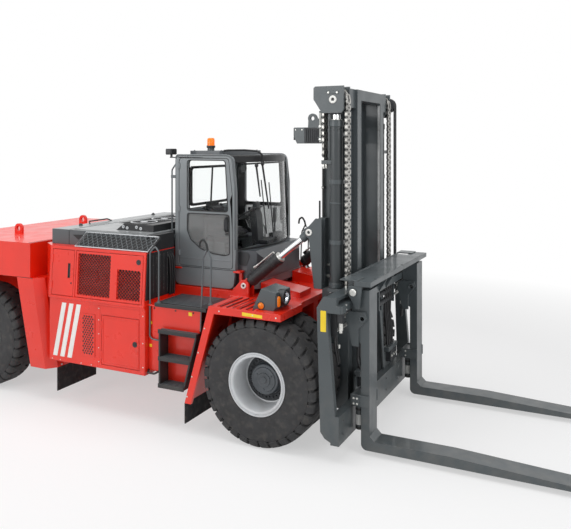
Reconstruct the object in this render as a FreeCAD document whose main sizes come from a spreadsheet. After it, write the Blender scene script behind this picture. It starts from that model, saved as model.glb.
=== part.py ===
"""Heavy electric forklift truck, built as separate pieces in millimetres.

+X is forward (the forks), +Y is the truck's left, +Z is up. The origin lies on the ground under
the middle of the whole truck, forks included. Places along the truck are given ahead of the
front axle (so most are negative), and places across it from its middle plane.
"""
import FreeCAD, Part
import math
import os
import Sketcher
from FreeCAD import Rotation, Vector

# Shares: a bend of its rail's width, and the first rib's place in its pitch; then counts
RAIL_BEND = 0.42
RIB_PHASE = 0.5
RIBS = 5
STEPS = 3
FACETS = 40

# ------------------------------------------------------------------------------------------
# Driving sizes. Each row is (name, number) and becomes one named cell of the sheet.
# ------------------------------------------------------------------------------------------
SIZES = [
    # layout
    ("wheel_base", 4550),
    ("rear_overhang", 1050),
    ("front_half_width", 1510),
    ("rear_half_width", 1420),
    ("running_gap", 0.3),
    ("door_gap", 6),
    # wheels
    ("tyre_radius", 736),
    ("tyre_width", 400),
    ("tyre_shoulder", 35),
    ("twin_gap", 30),
    ("bead_radius", 350),
    ("rim_thick", 30),
    ("dish_depth", 330),
    ("rear_dish_depth", 150),
    ("dish_plate", 30),
    ("hub_radius", 190),
    ("hub_reach", 130),
    ("hub_bore", 110),
    ("hub_length", 300),
    ("rear_hub_reach", 100),
    ("rear_hub_length", 330),
    ("rear_hub_bore", 90),
    # drive axle and steer axle
    ("axle_tube_radius", 170),
    ("axle_tube_half", 640),
    ("axle_ball_radius", 260),
    ("axle_ball_half", 180),
    ("steer_beam_half", 800),
    ("steer_beam_depth", 300),
    ("steer_beam_height", 220),
    ("king_pin_y", 930),
    ("king_pin_radius", 50),
    ("knuckle_height", 200),
    ("knuckle_radius", 80),
    ("knuckle_barrel_radius", 70),
    ("king_ear_radius", 75),
    ("fork_ear_height", 60),
    # frame
    ("frame_bottom", 560),
    ("frame_half", 700),
    ("frame_plate", 60),
    ("sill_height", 1060),
    ("spine_half", 300),
    ("spine_bottom", 1000),
    ("spine_rear", -5150),
    ("bay_rear", -3450),
    ("bay_front", -760),
    ("nose_beam_inner", 340),
    ("beam_room", 145),
    ("nose_beam_outer", "=outer_web_in - beam_room"),
    ("nose_beam_bottom", 930),
    ("nose_setback", 60),
    ("nose_beam_front", "=mast_pivot_x - nose_setback"),
    ("deck_top", 1570),
    ("deck_bottom", 1500),
    ("deck_half", 900),
    ("plinth_rear", -1820),
    ("plinth_front", -710),
    ("plinth_half", 850),
    ("plinth_top", 1622),
    ("plinth_wall", 25),
    # counterweight and rear columns
    ("body_top", 2130),
    ("weight_half", 1450),
    ("weight_front", -3560),
    ("weight_bottom", 1650),
    ("weight_slope", 260),
    ("tail_thick", 150),
    ("tail_half", 1250),
    ("tail_bottom", 480),
    ("eye_place", -4560),
    ("eye_side", 703),
    ("eye_radius", 75),
    ("eye_hole", 38),
    ("eye_thick", 40),
    ("column_top_rear", -3810),
    ("column_top_front", -3520),
    ("column_foot_rear", -3550),
    ("column_foot_front", -3280),
    ("column_foot", 440),
    ("column_width", 300),
    ("column_chamfer", 100),
    ("column_chamfer_side", 130),
    ("column_inner", "=weight_half - column_width"),
    # side cabinets
    ("cabinet_rear", -3170),
    ("cabinet_front", -1590),
    ("cabinet_inner", "=plinth_half"),
    ("cabinet_outer", 1500),
    ("cabinet_bottom", 600),
    ("cabinet_ledge", 1440),
    ("ledge_step", 20),
    ("cabinet_lean", 45),
    ("cabinet_wall", 40),
    ("corner_foot", 190),
    ("corner_head", 230),
    ("corner_side", 170),
    ("door_margin", 45),
    ("door_post", 40),
    ("plain_door_front", -2755),
    ("access_rear", -2279),
    ("access_front", -1682),
    ("access_bottom", 655),
    ("access_top", 1285),
    ("window_frame", 30),
    ("big_window_front", -2145),
    ("small_window_rear", -2034),
    ("small_window_top", 1895),
    ("mesh_thick", 6),
    ("hinge_radius", 12),
    ("hinge_length", 110),
    ("hinge_inset", 70),
    ("handle_inset", 60),
    ("handle_width", 40),
    ("handle_height", 190),
    ("handle_low", 1720),
    ("handle_depth", 30),
    # hood, cooler and guards on top
    ("hood_rear", -3300),
    ("hood_front", -1700),
    ("hood_half", 1300),
    ("hood_top", 2330),
    ("hood_wall", 25),
    ("cooler_rear", -2420),
    ("cooler_front", -1800),
    ("cooler_half", 1020),
    ("cooler_height", 90),
    ("cooler_slant", 130),
    ("guard_rear", -2710),
    ("guard_front", -1600),
    ("guard_foot", 1440),
    ("guard_top", 2285),
    ("guard_thick", 12),
    # battery and motor
    ("pack_half", 600),
    ("pack_rear", -3350),
    ("pack_front", -1900),
    ("pack_top", 2080),
    ("motor_rear", -1780),
    ("motor_front", -850),
    ("motor_top", 1540),
    # front fenders
    ("fender_outer", 1500),
    ("fender_leg", 90),
    ("fender_front", 308),
    ("fender_corner", -645),
    ("fender_foot_x", -986),
    ("fender_foot_z", 365),
    ("fender_lip", 85),
    ("fender_sheet", 15),
    ("fender_lip_thick", 40),
    ("rib_height", 8),
    ("rib_width", 40),
    # steps and platform
    ("step_rear", -1390),
    ("step_gap", 25),
    ("step_outer", 1490),
    ("step_depth", 230),
    ("step_bottom", 500),
    ("step_rise", 335),
    ("tread_thick", 40),
    ("step_side", 25),
    ("platform_top", 1520),
    ("platform_thick", 40),
    ("platform_rear", -1560),
    ("platform_front", "=plinth_front"),
    ("platform_outer", 1450),
    # handrails
    ("rail_radius", 18),
    ("rail_side", 1425),
    ("rear_rail_a", -1509),
    ("rear_rail_b", -1364),
    ("rear_rail_top", 2310),
    ("front_rail_a", -736),
    ("front_rail_b", -603),
    ("front_rail_top", 2230),
    ("grab_stand", 60),
    ("grab_low", 1720),
    ("grab_high", 3060),
    ("grab_side", 760),
    ("grab_radius", 14),
    ("grab_bend", 40),
    # mudflaps
    ("flap_thick", 14),
    ("flap_foot", 120),
    ("flap_half", 300),
    ("flap_inner", 550),
    ("flap_bar", 50),
    # headlamps
    ("pod_rear", 100),
    ("pod_front", 290),
    ("pod_inner", 1010),
    ("pod_outer", 1390),
    ("pod_top", 1750),
    ("pod_slope", 60),
    ("lens_proud", 12),
    ("lens_radius", 62),
    # cab
    ("cab_rear", -1610),
    ("cab_front", -740),
    ("cab_half", 800),
    ("cab_base", 1630),
    ("cab_floor", 1870),
    ("cab_belt_x", -700),
    ("cab_belt_z", 2110),
    ("cab_eave_x", -800),
    ("cab_eave_z", 3290),
    ("cab_top", 3390),
    ("cab_roof_front", -840),
    ("cab_roof_rear", -1560),
    ("cab_wall", 50),
    ("cab_roof", 70),
    ("door_rear", -1545),
    ("door_front_low", -755),
    ("door_front_high", -850),
    ("door_bottom", 1890),
    ("door_top", 3220),
    ("door_frame", 60),
    ("door_rail_low", 2600),
    ("door_rail_high", 2690),
    ("door_sill", 200),
    ("glass_thick", 8),
    ("glass_bulge", 190),
    ("rear_window_bottom", 2690),
    ("rear_window_top", 3180),
    ("rear_window_half", 500),
    ("screen_lift", 10),
    ("screen_half", 690),
    ("screen_top", 3230),
    ("nose_half", 700),
    ("nose_front", -400),
    ("nose_top", 2120),
    ("nose_split", 1740),
    ("nose_round", 170),
    ("nose_slope", 110),
    ("ramp_inner", 300),
    ("ramp_outer", 640),
    ("ramp_front", 150),
    ("ramp_high", 150),
    ("ramp_low", 70),
    ("console_half", 110),
    ("console_front", -800),
    ("console_rear", -870),
    ("console_top", 2560),
    # seat and controls
    ("seat_x", -1300),
    ("seat_half", 250),
    ("seat_top", 2300),
    ("seat_back_top", 2950),
    ("seat_cushion", 130),
    ("seat_rake", 20),
    ("seat_depth", 480),
    ("stem_drop", 150),
    ("steering_z", 2640),
    ("steering_radius", 190),
    ("steering_rim", 14),
    # lamps on the roof
    ("beacon_x", -1300),
    ("beacon_y", -400),
    ("beacon_radius", 56),
    ("beacon_height", 131),
    ("beacon_base", 60),
    ("work_lamp", 110),
    # mast
    ("mast_pivot_x", 330),
    ("mast_pivot_z", 690),
    ("mast_pin", 45),
    ("mast_lug", 95),
    ("lug_gap", 20),
    ("mast_clearance", 20),
    ("outer_web_out", "=front_half_width - tyre_width * 2 - twin_gap - mast_clearance"),
    ("outer_web", 35),
    ("outer_web_in", "=outer_web_out - outer_web"),
    ("outer_flange_depth", 105),
    ("outer_flange_in", "=outer_web_in - outer_flange_depth"),
    ("outer_rear", 460),
    ("outer_front", 800),
    ("outer_flange", 40),
    ("outer_bottom", 300),
    ("outer_top", 3900),
    ("pad_room", 122),
    ("inner_web_out", "=outer_web_in - pad_room"),
    ("inner_web", 40),
    ("inner_web_in", "=inner_web_out - inner_web"),
    ("inner_flange_depth", 96),
    ("inner_flange_in", "=inner_web_in - inner_flange_depth"),
    ("inner_rear", 560),
    ("inner_front", 863),
    ("inner_flange", 40),
    ("inner_bottom", 230),
    ("inner_top", 4160),
    ("beam_height", 130),
    ("cross_depth", 40),
    ("cross_height", 180),
    ("cross_middle", 2150),
    ("arm_rear", 80),
    ("arm_low", 3500),
    ("arm_high", 3700),
    ("arm_width", 70),
    ("arm_cut", 40),
    ("arm_eye_x", 330),
    ("arm_eye_z", 3810),
    ("arm_eye_radius", 60),
    ("arm_eye_hole", 26),
    ("arm_eye_thick", 30),
    ("pad_height", 260),
    ("lift_x", 700),
    ("lift_offset", 130),
    ("lift_y", "=outer_web_out + lift_offset"),
    ("lift_radius", 80),
    ("lift_rod_radius", 50),
    ("lift_bottom", 1780),
    ("lift_top", 3780),
    ("lift_stroke", 2000),
    ("sheave_radius", 135),
    ("sheave_z", 4020),
    ("sheave_half", 80),
    ("chain_half", 70),
    ("chain_thick", 30),
    ("chain_foot", 1800),
    ("anchor_drop", 480),
    ("chain_anchor", "=lift_top - anchor_drop"),
    ("chain_rear_x", 565),
    ("collar_drop", 150),
    ("rod_top", 3845),
    ("rod_head", 25),
    ("top_plate_top", 4180),
    ("tilt_plate_low", 1760),
    ("tilt_plate_high", 2600),
    ("tilt_plate_front", 540),
    ("tilt_cheek", 22),
    ("cheek_setback", 20),
    ("top_plate_rear", 450),
    ("top_plate_front", 834),
    ("top_plate_low", 3965),
    ("top_plate_step", 3860),
    ("top_plate_thick", 25),
    ("top_chamfer", 60),
    ("top_notch", 110),
    ("top_toe", 30),
    ("top_toe_rise", 40),
    ("top_nick", 20),
    # tilt cylinders
    ("tilt_offset", 140),
    ("tilt_y", "=outer_web_out + tilt_offset"),
    ("tilt_foot_x", -520),
    ("tilt_foot_z", 1710),
    ("tilt_eye_x", 373),
    ("tilt_eye_z", 2430),
    ("tilt_barrel", 605),
    ("tilt_rod_start", 400),
    ("tilt_barrel_radius", 75),
    ("tilt_rod_radius", 38),
    ("tilt_eye_radius", 75),
    ("tilt_eye_half", 30),
    ("tilt_neck", 90),
    ("tilt_pin", 28),
    ("tilt_eye_play", 13),
    ("tilt_ear_gap", 14),
    ("tilt_ear", 32),
    ("tilt_foot_back", 240),
    ("tilt_ear_height", 70),
    # carriage and forks
    ("carriage_rear", 780),
    ("carriage_rear_low", 325),
    ("carriage_foot", 830),
    ("carriage_plate_front", 954),
    ("carriage_plate_low", 530),
    ("carriage_waist", 890),
    ("carriage_waist_z", 1250),
    ("carriage_neck", 860),
    ("carriage_half", 1470),
    ("carriage_plate", 70),
    ("carriage_bottom", 260),
    ("carriage_top", 1810),
    ("head_back", 42),
    ("head_rear", 33),
    ("head_front", 971),
    ("head_drop", 120),
    ("deck_plate_inner", 620),
    ("deck_plate_drop", 10),
    ("deck_plate_thick", 30),
    ("beam_rear", 900),
    ("beam_front", 1020),
    ("upper_beam_low", 1640),
    ("upper_beam_high", 1726),
    ("lower_beam_low", 200),
    ("lower_beam_high", 520),
    ("lower_beam_front", 1000),
    ("shelf_low", 1905),
    ("shelf_high", 1960),
    ("shelf_front", 1270),
    ("shelf_inset", 270),
    ("shelf_half", "=carriage_half - shelf_inset"),
    ("shelf_end", 280),
    ("shelf_end_rear", 1077),
    ("shaft_x", 1066),
    ("shaft_z", 1835),
    ("shaft_radius", 32),
    ("shaft_lug_inner", 120),
    ("lug_inset", 35),
    ("shaft_lug_outer", "=shelf_half - lug_inset"),
    ("lug_wall", 20),
    ("outer_lug_rear", 1005),
    ("outer_lug_front", 1165),
    ("outer_lug_foot", 1095),
    ("outer_lug_foot_width", 40),
    ("outer_lug_low", 1650),
    ("hanger_back", 60),
    ("roller_plate", 50),
    ("roller_plate_rear", 660),
    ("roller_high", 1500),
    ("roller_low", 500),
    ("fork_face", 1229),
    ("fork_thick", 100),
    ("fork_width", 264),
    ("fork_inset", 480),
    ("fork_side", "=carriage_half - fork_inset"),
    ("fork_top", 1854),
    ("fork_bottom", 62),
    ("fork_heel", 110),
    ("fork_tip", 40),
    ("fork_length", 2400),
    ("fork_taper", 1500),
    ("hanger_thick", 60),
    ("cheek_thick", 28),
    ("cheek_rear", 960),
    ("cheek_front", 1210),
    ("cheek_low", 1220),
    ("cheek_high", 1610),
    ("cheek_slope", 40),
    ("cheek_neck", 1110),
    ("cheek_neck_back", 80),
    ("cheek_pin_x", 1152),
    ("cheek_pin_z", 1535),
    ("cheek_pin_radius", 22),
    ("hanger_low", 1250),
    ("clamp_low", 560),
    ("clamp_high", 660),
    ("jack_radius", 42),
    ("jack_low", 240),
]

doc = FreeCAD.newDocument("forklift")
sheet = doc.addObject("Spreadsheet::Sheet", "Sizes")
for row, (name, number) in enumerate(SIZES, start=1):
    sheet.set(f"A{row}", name)
    sheet.setAlias(f"B{row}", name)
for row, (name, number) in enumerate(SIZES, start=1):
    sheet.set(f"B{row}", str(number))
doc.recompute()


class Size:
    """A length that knows its number and the expression on the sheet that it comes from."""

    def __init__(self, number, text):
        self.number = float(number)
        self.text = text

    @staticmethod
    def of(value):
        if isinstance(value, Size):
            return value
        return Size(value, f"({float(value)})")

    def __add__(self, other):
        other = Size.of(other)
        return Size(self.number + other.number, f"({self.text} + {other.text})")

    def __sub__(self, other):
        other = Size.of(other)
        return Size(self.number - other.number, f"({self.text} - {other.text})")

    def __mul__(self, other):
        other = Size.of(other)
        return Size(self.number * other.number, f"({self.text} * {other.text})")

    def __truediv__(self, other):
        other = Size.of(other)
        return Size(self.number / other.number, f"({self.text} / {other.text})")

    def __neg__(self):
        return Size(0, "0") - self

    def __radd__(self, other):
        return Size.of(other) + self

    def __rsub__(self, other):
        return Size.of(other) - self

    def __rmul__(self, other):
        return Size.of(other) * self


class Sheet:
    """Gives each named cell of the sheet as a Size."""

    def __getattr__(self, alias):
        return Size(sheet.get(alias), f"Sizes.{alias}")


S = Sheet()
fork_reach = S.fork_face + S.fork_length
tail_reach = S.wheel_base + S.rear_overhang
axle_x = (tail_reach - fork_reach) / 2
rear_axle_x = axle_x - S.wheel_base
sub_parts = {}


def ax(place):
    """A place along the truck, given ahead of the front axle, in the part's own frame."""
    return axle_x + place


# ------------------------------------------------------------------------------------------
# Building tools
# ------------------------------------------------------------------------------------------
def bind(piece, attribute, size):
    size = Size.of(size)
    piece.setExpression(attribute, size.text)


def place(piece, x, y, z):
    bind(piece, "Placement.Base.x", x)
    bind(piece, "Placement.Base.y", y)
    bind(piece, "Placement.Base.z", z)


def box(name, x_span, y_span, z_span):
    """A block between two places along each axis."""
    block = doc.addObject("Part::Box", name)
    bind(block, "Length", x_span[1] - x_span[0])
    bind(block, "Width", y_span[1] - y_span[0])
    bind(block, "Height", z_span[1] - z_span[0])
    place(block, x_span[0], y_span[0], z_span[0])
    return block


TURNS = {
    "X": Rotation(Vector(0, 1, 0), 90),
    "Y": Rotation(Vector(1, 0, 0), -90),
    "Z": Rotation(),
}


def disc(name, axis, radius, span, first, second):
    """A round bar along an axis; first and second are its other two places, in X, Y, Z order."""
    bar = doc.addObject("Part::Cylinder", name)
    bind(bar, "Radius", radius)
    bind(bar, "Height", span[1] - span[0])
    bar.Placement.Rotation = TURNS[axis]
    if axis == "X":
        place(bar, span[0], first, second)
    elif axis == "Y":
        place(bar, first, span[0], second)
    else:
        place(bar, first, second, span[0])
    return bar


def sketch_on(body, plane, corners):
    """A closed sketch of straight sides on one of the body's own planes, bound to the sheet."""
    sketch = body.newObject("Sketcher::SketchObject", body.Name + "_sketch")
    planes = [f for f in body.Origin.OriginFeatures if f.Role == plane + "_Plane"]
    sketch.AttachmentSupport = [(planes[0], "")]
    sketch.MapMode = "FlatFace"
    corners = [(Size.of(a), Size.of(b)) for a, b in corners]
    count = len(corners)
    for index, (a, b) in enumerate(corners):
        c, d = corners[(index + 1) % count]
        start = Vector(a.number, b.number, 0)
        stop = Vector(c.number, d.number, 0)
        sketch.addGeometry(Part.LineSegment(start, stop), False)
    for index in range(count):
        following = (index + 1) % count
        sketch.addConstraint(Sketcher.Constraint("Coincident", index, 2, following, 1))
    for index, corner in enumerate(corners):
        for kind, size in zip(("DistanceX", "DistanceY"), corner):
            key = sketch.addConstraint(Sketcher.Constraint(kind, -1, 1, index, 1, size.number))
            sketch.setExpression(f"Constraints[{key}]", size.text)
    return sketch


def plate(name, plane, corners, span):
    """A body padded across a plane: XZ sketches go across Y, YZ along X and XY along Z."""
    body = doc.addObject("PartDesign::Body", name)
    sketch = sketch_on(body, plane, corners)
    pad = body.newObject("PartDesign::Pad", name + "_pad")
    pad.Profile = sketch
    bind(pad, "Length", span[1] - span[0])
    shift = {"XZ": (0, span[1], 0), "YZ": (span[0], 0, 0), "XY": (0, 0, span[0])}[plane]
    place(body, *shift)
    return body


def skinned(name, low, high):
    """A solid between two outlines of X, Y corners; each is given as (height, corners)."""
    wires = []
    for height, corners in (low, high):
        spots = [Vector(Size.of(a).number, Size.of(b).number, height.number) for a, b in corners]
        wires.append(Part.makePolygon(spots + spots[:1]))
    solid = doc.addObject("Part::Feature", name)
    solid.Shape = Part.makeLoft(wires, True, True)
    return solid


def turned(name, corners, x, y, z):
    """A body turned about a line along Y: each corner is (place across the truck, radius)."""
    body = doc.addObject("PartDesign::Body", name)
    sketch = sketch_on(body, "YZ", corners)
    spin = body.newObject("PartDesign::Revolution", name + "_turn")
    spin.Profile = sketch
    spin.ReferenceAxis = (sketch, ["H_Axis"])
    spin.Angle = 360
    place(body, x, y, z)
    return body


def cut(name, base, *tools):
    if len(tools) > 1:
        tool = fuse(name + "_tools", *tools)
    else:
        tool = tools[0]
    result = doc.addObject("Part::Cut", name)
    result.Base = base
    result.Tool = tool
    return result


def fuse(name, *pieces):
    result = doc.addObject("Part::MultiFuse", name)
    result.Shapes = list(pieces)
    result.Refine = True
    return result


def group(name, *pieces):
    """Pieces of one kind that don't touch, kept together as one sub-part."""
    result = doc.addObject("Part::Compound", name)
    result.Links = list(pieces)
    return result


def mirror(name, piece):
    """The same piece on the truck's other side."""
    result = doc.addObject("Part::Mirroring", name)
    result.Source = piece
    result.Normal = Vector(0, 1, 0)
    return result


def both(name, piece):
    return group(name, piece, mirror(name + "_mirrored", piece))


def joined_both(name, piece):
    return fuse(name, piece, mirror(name + "_mirrored", piece))


def bent_tube(name, radius, points, bend):
    """A tube through points with round bends, as one solid."""
    points = [Vector(*[Size.of(part).number for part in point]) for point in points]
    edges = []
    start = points[0]
    for before, corner, after in zip(points, points[1:], points[2:]):
        back = (before - corner).normalize()
        ahead = (after - corner).normalize()
        half = back.getAngle(ahead) / 2
        reach = bend.number / math.tan(half)
        middle = (back + ahead).normalize()
        centre = corner + middle * (bend.number / math.sin(half))
        entry = corner + back * reach
        leave = corner + ahead * reach
        edges.append(Part.makeLine(start, entry))
        edges.append(Part.Arc(entry, centre - middle * bend.number, leave).toShape())
        start = leave
    edges.append(Part.makeLine(start, points[-1]))
    path = Part.Wire(edges)
    ring = Part.Wire(Part.makeCircle(radius.number, points[0], points[1] - points[0]))
    tube = doc.addObject("Part::Feature", name)
    tube.Shape = path.makePipeShell([ring], True, False)
    return tube


def sub_part(piece, label):
    """Names a finished piece; each named piece becomes one file."""
    piece.Label = label
    sub_parts[label] = piece
    return piece


def sides(half_span):
    """The right side's span across the truck, from a span given outwards from the middle."""
    return (-half_span[1], -half_span[0])


# ------------------------------------------------------------------------------------------
# Frame, counterweight and bodywork
# ------------------------------------------------------------------------------------------
def chassis_frame():
    bay = (ax(S.bay_rear), ax(S.bay_front))
    side = box("frame_side", bay, sides((S.frame_half - S.frame_plate, S.frame_half)),
               (S.frame_bottom, S.sill_height))
    floor = box("frame_floor", bay, (-S.frame_half, S.frame_half),
                (S.frame_bottom, S.frame_bottom + S.frame_plate))
    bulkhead = box("rear_bulkhead", (ax(S.bay_rear) - S.frame_plate, ax(S.bay_rear)),
                   (-S.column_inner, S.column_inner), (S.frame_bottom, S.weight_bottom))
    spine = box("rear_spine", (ax(S.spine_rear), ax(S.bay_rear)), (-S.spine_half, S.spine_half),
                (S.spine_bottom, S.weight_bottom))
    wall = box("front_wall", (ax(S.bay_front) - S.frame_plate, ax(S.bay_front)),
               (-S.frame_half, S.frame_half), (S.frame_bottom, S.deck_bottom))
    beam = box("nose_beam", (ax(S.bay_front), ax(S.nose_beam_front)),
               sides((S.nose_beam_inner, S.nose_beam_outer)), (S.nose_beam_bottom, S.deck_bottom))
    deck = box("front_deck", (ax(S.plinth_front), ax(S.nose_beam_front)),
               (-S.deck_half, S.deck_half), (S.deck_bottom, S.deck_top))
    plinth = box("plinth_outside", (ax(S.plinth_rear), ax(S.plinth_front)),
                 (-S.plinth_half, S.plinth_half), (S.sill_height, S.plinth_top))
    hollow = box("plinth_inside",
                 (ax(S.plinth_rear) + S.plinth_wall, ax(S.bay_front) - S.frame_plate),
                 (-(S.plinth_half - S.plinth_wall), S.plinth_half - S.plinth_wall),
                 (S.frame_bottom + S.frame_plate, S.plinth_top - S.plinth_wall))
    plinth_shell = cut("plinth", plinth, hollow)
    shelf = box("side_shelf", (ax(S.plinth_rear), ax(S.plinth_front)),
                sides((S.frame_half, S.plinth_half)),
                (S.sill_height - S.frame_plate, S.sill_height + S.plinth_wall))
    ramp = plate("nose_ramp", "XZ", [
        (ax(S.nose_front), S.deck_top - S.fender_sheet),
        (ax(S.ramp_front), S.deck_top - S.fender_sheet),
        (ax(S.ramp_front), S.deck_top + S.ramp_low),
        (ax(S.nose_front), S.deck_top + S.ramp_high),
    ], sides((S.ramp_inner, S.ramp_outer)))
    frame = fuse("frame_body", floor, bulkhead, spine, wall, deck, plinth_shell,
                 joined_both("frame_sides", side), joined_both("nose_beams", beam),
                 joined_both("side_shelves", shelf), joined_both("tilt_feet", tilt_foot()),
                 joined_both("mast_feet", mast_foot()), joined_both("nose_ramps", ramp))
    return sub_part(frame, "chassis_frame")


def tilt_foot():
    """Two ears on the deck that hold a tilt cylinder's pin, with the pin between them."""
    inner = S.tilt_y - S.tilt_eye_half - S.tilt_ear_gap
    outer = S.tilt_y + S.tilt_eye_half + S.tilt_ear_gap
    pin_x = ax(S.tilt_foot_x)
    outline = [
        (pin_x - S.tilt_foot_back, S.deck_top - S.fender_sheet),
        (pin_x + S.tilt_ear_height, S.deck_top - S.fender_sheet),
        (pin_x + S.tilt_ear_height, S.tilt_foot_z + S.tilt_ear_height / 2),
        (pin_x + S.tilt_ear_height / 2, S.tilt_foot_z + S.tilt_ear_height),
        (pin_x - S.tilt_ear_height / 2, S.tilt_foot_z + S.tilt_ear_height),
    ]
    near = plate("tilt_ear_near", "XZ", outline, sides((inner - S.tilt_ear, inner)))
    far = plate("tilt_ear_far", "XZ", outline, sides((outer, outer + S.tilt_ear)))
    pin = disc("tilt_foot_pin", "Y", S.tilt_pin, sides((inner - S.tilt_ear, outer + S.tilt_ear)),
               pin_x, S.tilt_foot_z)
    return fuse("tilt_foot", near, far, pin)


def mast_foot():
    """A lug ahead of each nose beam, with the pin that the mast rocks on."""
    lug = disc("mast_foot_lug", "Y", S.mast_lug, sides((S.nose_beam_inner + S.lug_gap, S.nose_beam_outer)),
               ax(S.mast_pivot_x), S.mast_pivot_z)
    web = box("mast_foot_web", (ax(S.mast_pivot_x) - S.mast_lug, ax(S.nose_beam_front)),
              sides((S.nose_beam_inner + S.lug_gap, S.nose_beam_outer)),
              (S.mast_pivot_z, S.nose_beam_bottom))
    pin = disc("mast_pin", "Y", S.mast_pin, sides((S.nose_beam_inner, S.outer_web_in)),
               ax(S.mast_pivot_x), S.mast_pivot_z)
    return fuse("mast_foot", lug, web, pin)


def counterweight():
    tail = ax(-tail_reach)
    slab = plate("weight_slab", "XZ", [
        (tail, S.weight_bottom),
        (ax(S.weight_front), S.weight_bottom),
        (ax(S.weight_front), S.body_top),
        (tail + S.weight_slope, S.body_top),
        (tail, S.body_top - S.weight_slope * 0.7),
    ], (-S.weight_half, S.weight_half))
    back = box("weight_back", (tail, tail + S.tail_thick), (-S.tail_half, S.tail_half),
               (S.tail_bottom, S.weight_bottom))
    core = box("weight_core", (tail + S.tail_thick, ax(S.spine_rear)),
               (-S.spine_half, S.spine_half), (S.tail_bottom, S.weight_bottom))
    return sub_part(fuse("weight_body", slab, back, core), "counterweight")


def lifting_eyes():
    """Flat plates with a shackle hole, standing on the counterweight."""
    centre_z = S.body_top + S.eye_radius
    span = sides((S.eye_side - S.eye_thick / 2, S.eye_side + S.eye_thick / 2))
    foot = box("eye_foot", (ax(S.eye_place) - S.eye_radius, ax(S.eye_place) + S.eye_radius), span,
               (S.body_top, centre_z))
    ring = disc("eye_ring", "Y", S.eye_radius, span, ax(S.eye_place), centre_z)
    hole = disc("eye_hole", "Y", S.eye_hole, span, ax(S.eye_place), centre_z)
    eye = cut("eye", fuse("eye_plate", foot, ring), hole)
    return sub_part(both("eyes", eye), "lifting_eyes")


def column_outline(rear, front):
    """The post's section at one height, with its outer front edge taken off."""
    return [
        (ax(rear), -S.column_inner),
        (ax(rear), -S.weight_half),
        (ax(front), -S.weight_half),
        (ax(front) + S.column_chamfer, -(S.weight_half - S.column_chamfer_side)),
        (ax(front) + S.column_chamfer, -S.column_inner),
    ]


def rear_columns():
    """The slanted posts ahead of the steered wheels, each with a bar for its mudflap."""
    column = skinned("column",
                     (S.column_foot, column_outline(S.column_foot_rear, S.column_foot_front)),
                     (S.weight_bottom, column_outline(S.column_top_rear, S.column_top_front)))
    bar = box("flap_bar", (ax(S.column_foot_front), ax(S.column_foot_front) + S.column_chamfer),
              sides((S.flap_inner, S.column_inner + S.flap_bar)),
              (S.column_foot, S.column_foot + S.flap_bar))
    return sub_part(both("columns", fuse("column_and_bar", column, bar)), "rear_columns")


def cabinet_face(height):
    """How far out the cabinet's upper side stands at a height."""
    rise = (height - S.cabinet_ledge) / (S.body_top - S.cabinet_ledge)
    return S.cabinet_outer - S.cabinet_lean * rise


UPPER_BOTTOM = S.cabinet_ledge + S.door_margin
UPPER_TOP = S.body_top - S.door_margin
PLAIN_REAR = S.cabinet_rear + S.door_margin
MESH_REAR = S.plain_door_front + S.door_post
MESH_FRONT = S.cabinet_front - S.door_margin


def cabinet():
    """A hollow steel cabinet: a leaning upper part that overhangs a straight lower part."""
    low_face = S.cabinet_outer - S.ledge_step
    outside = plate("cabinet_outside", "YZ", [
        (-S.cabinet_inner, S.cabinet_bottom),
        (-low_face, S.cabinet_bottom),
        (-low_face, S.cabinet_ledge),
        (-S.cabinet_outer, S.cabinet_ledge),
        (-cabinet_face(S.body_top), S.body_top),
        (-S.cabinet_inner, S.body_top),
    ], (ax(S.cabinet_rear), ax(S.cabinet_front)))
    wall = S.cabinet_wall
    inside = plate("cabinet_inside", "YZ", [
        (-(S.cabinet_inner + wall), S.cabinet_bottom + wall),
        (-(low_face - wall), S.cabinet_bottom + wall),
        (-(low_face - wall), S.cabinet_ledge),
        (-(S.cabinet_outer - wall), S.cabinet_ledge),
        (-(cabinet_face(S.body_top) - wall), S.body_top - wall),
        (-(S.cabinet_inner + wall), S.body_top - wall),
    ], (ax(S.cabinet_rear) + wall, ax(S.cabinet_front) - wall))
    reach = (S.cabinet_outer - S.cabinet_lean - wall * 2, S.cabinet_outer + wall)
    gap = S.door_gap
    plain = box("plain_opening", (ax(PLAIN_REAR) - gap, ax(S.plain_door_front) + gap),
                sides(reach), (UPPER_BOTTOM - gap, UPPER_TOP + gap))
    mesh = box("mesh_opening", (ax(MESH_REAR) - gap, ax(MESH_FRONT) + gap),
               sides(reach), (UPPER_BOTTOM - gap, UPPER_TOP + gap))
    access = box("access_opening", (ax(S.access_rear) - gap, ax(S.access_front) + gap),
                 sides(reach), (S.access_bottom - gap, S.access_top + gap))
    shell = cut("cabinet_shell", outside, inside, plain, mesh, access)
    corner = skinned("cabinet_corner", cabinet_corner(S.cabinet_ledge, S.corner_foot),
                     cabinet_corner(S.body_top, S.corner_head))
    return fuse("cabinet", shell, corner, *cabinet_hinges("cabinet_hinge", S.hinge_radius))


def cabinet_corner(height, reach):
    """The section at a height of the sloping corner that closes the cabinet's rear end."""
    face = cabinet_face(height)
    rear = S.cabinet_rear - reach
    return height, [
        (ax(S.cabinet_rear), -S.cabinet_inner),
        (ax(S.cabinet_rear), -face),
        (ax(rear), -(face - S.corner_side)),
        (ax(rear), -S.cabinet_inner),
    ]


def cabinet_hinges(name, radius):
    """The pins of the cabinet's three doors, or with a larger radius the holes around them."""
    return [
        hinge_pins(name + "_plain", ax(PLAIN_REAR), cabinet_face, UPPER_BOTTOM, UPPER_TOP, radius),
        hinge_pins(name + "_mesh", ax(MESH_FRONT), cabinet_face, UPPER_BOTTOM, UPPER_TOP, radius),
        hinge_pins(name + "_access", ax(S.access_rear), lower_face, S.access_bottom, S.access_top,
                   radius),
    ]


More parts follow.
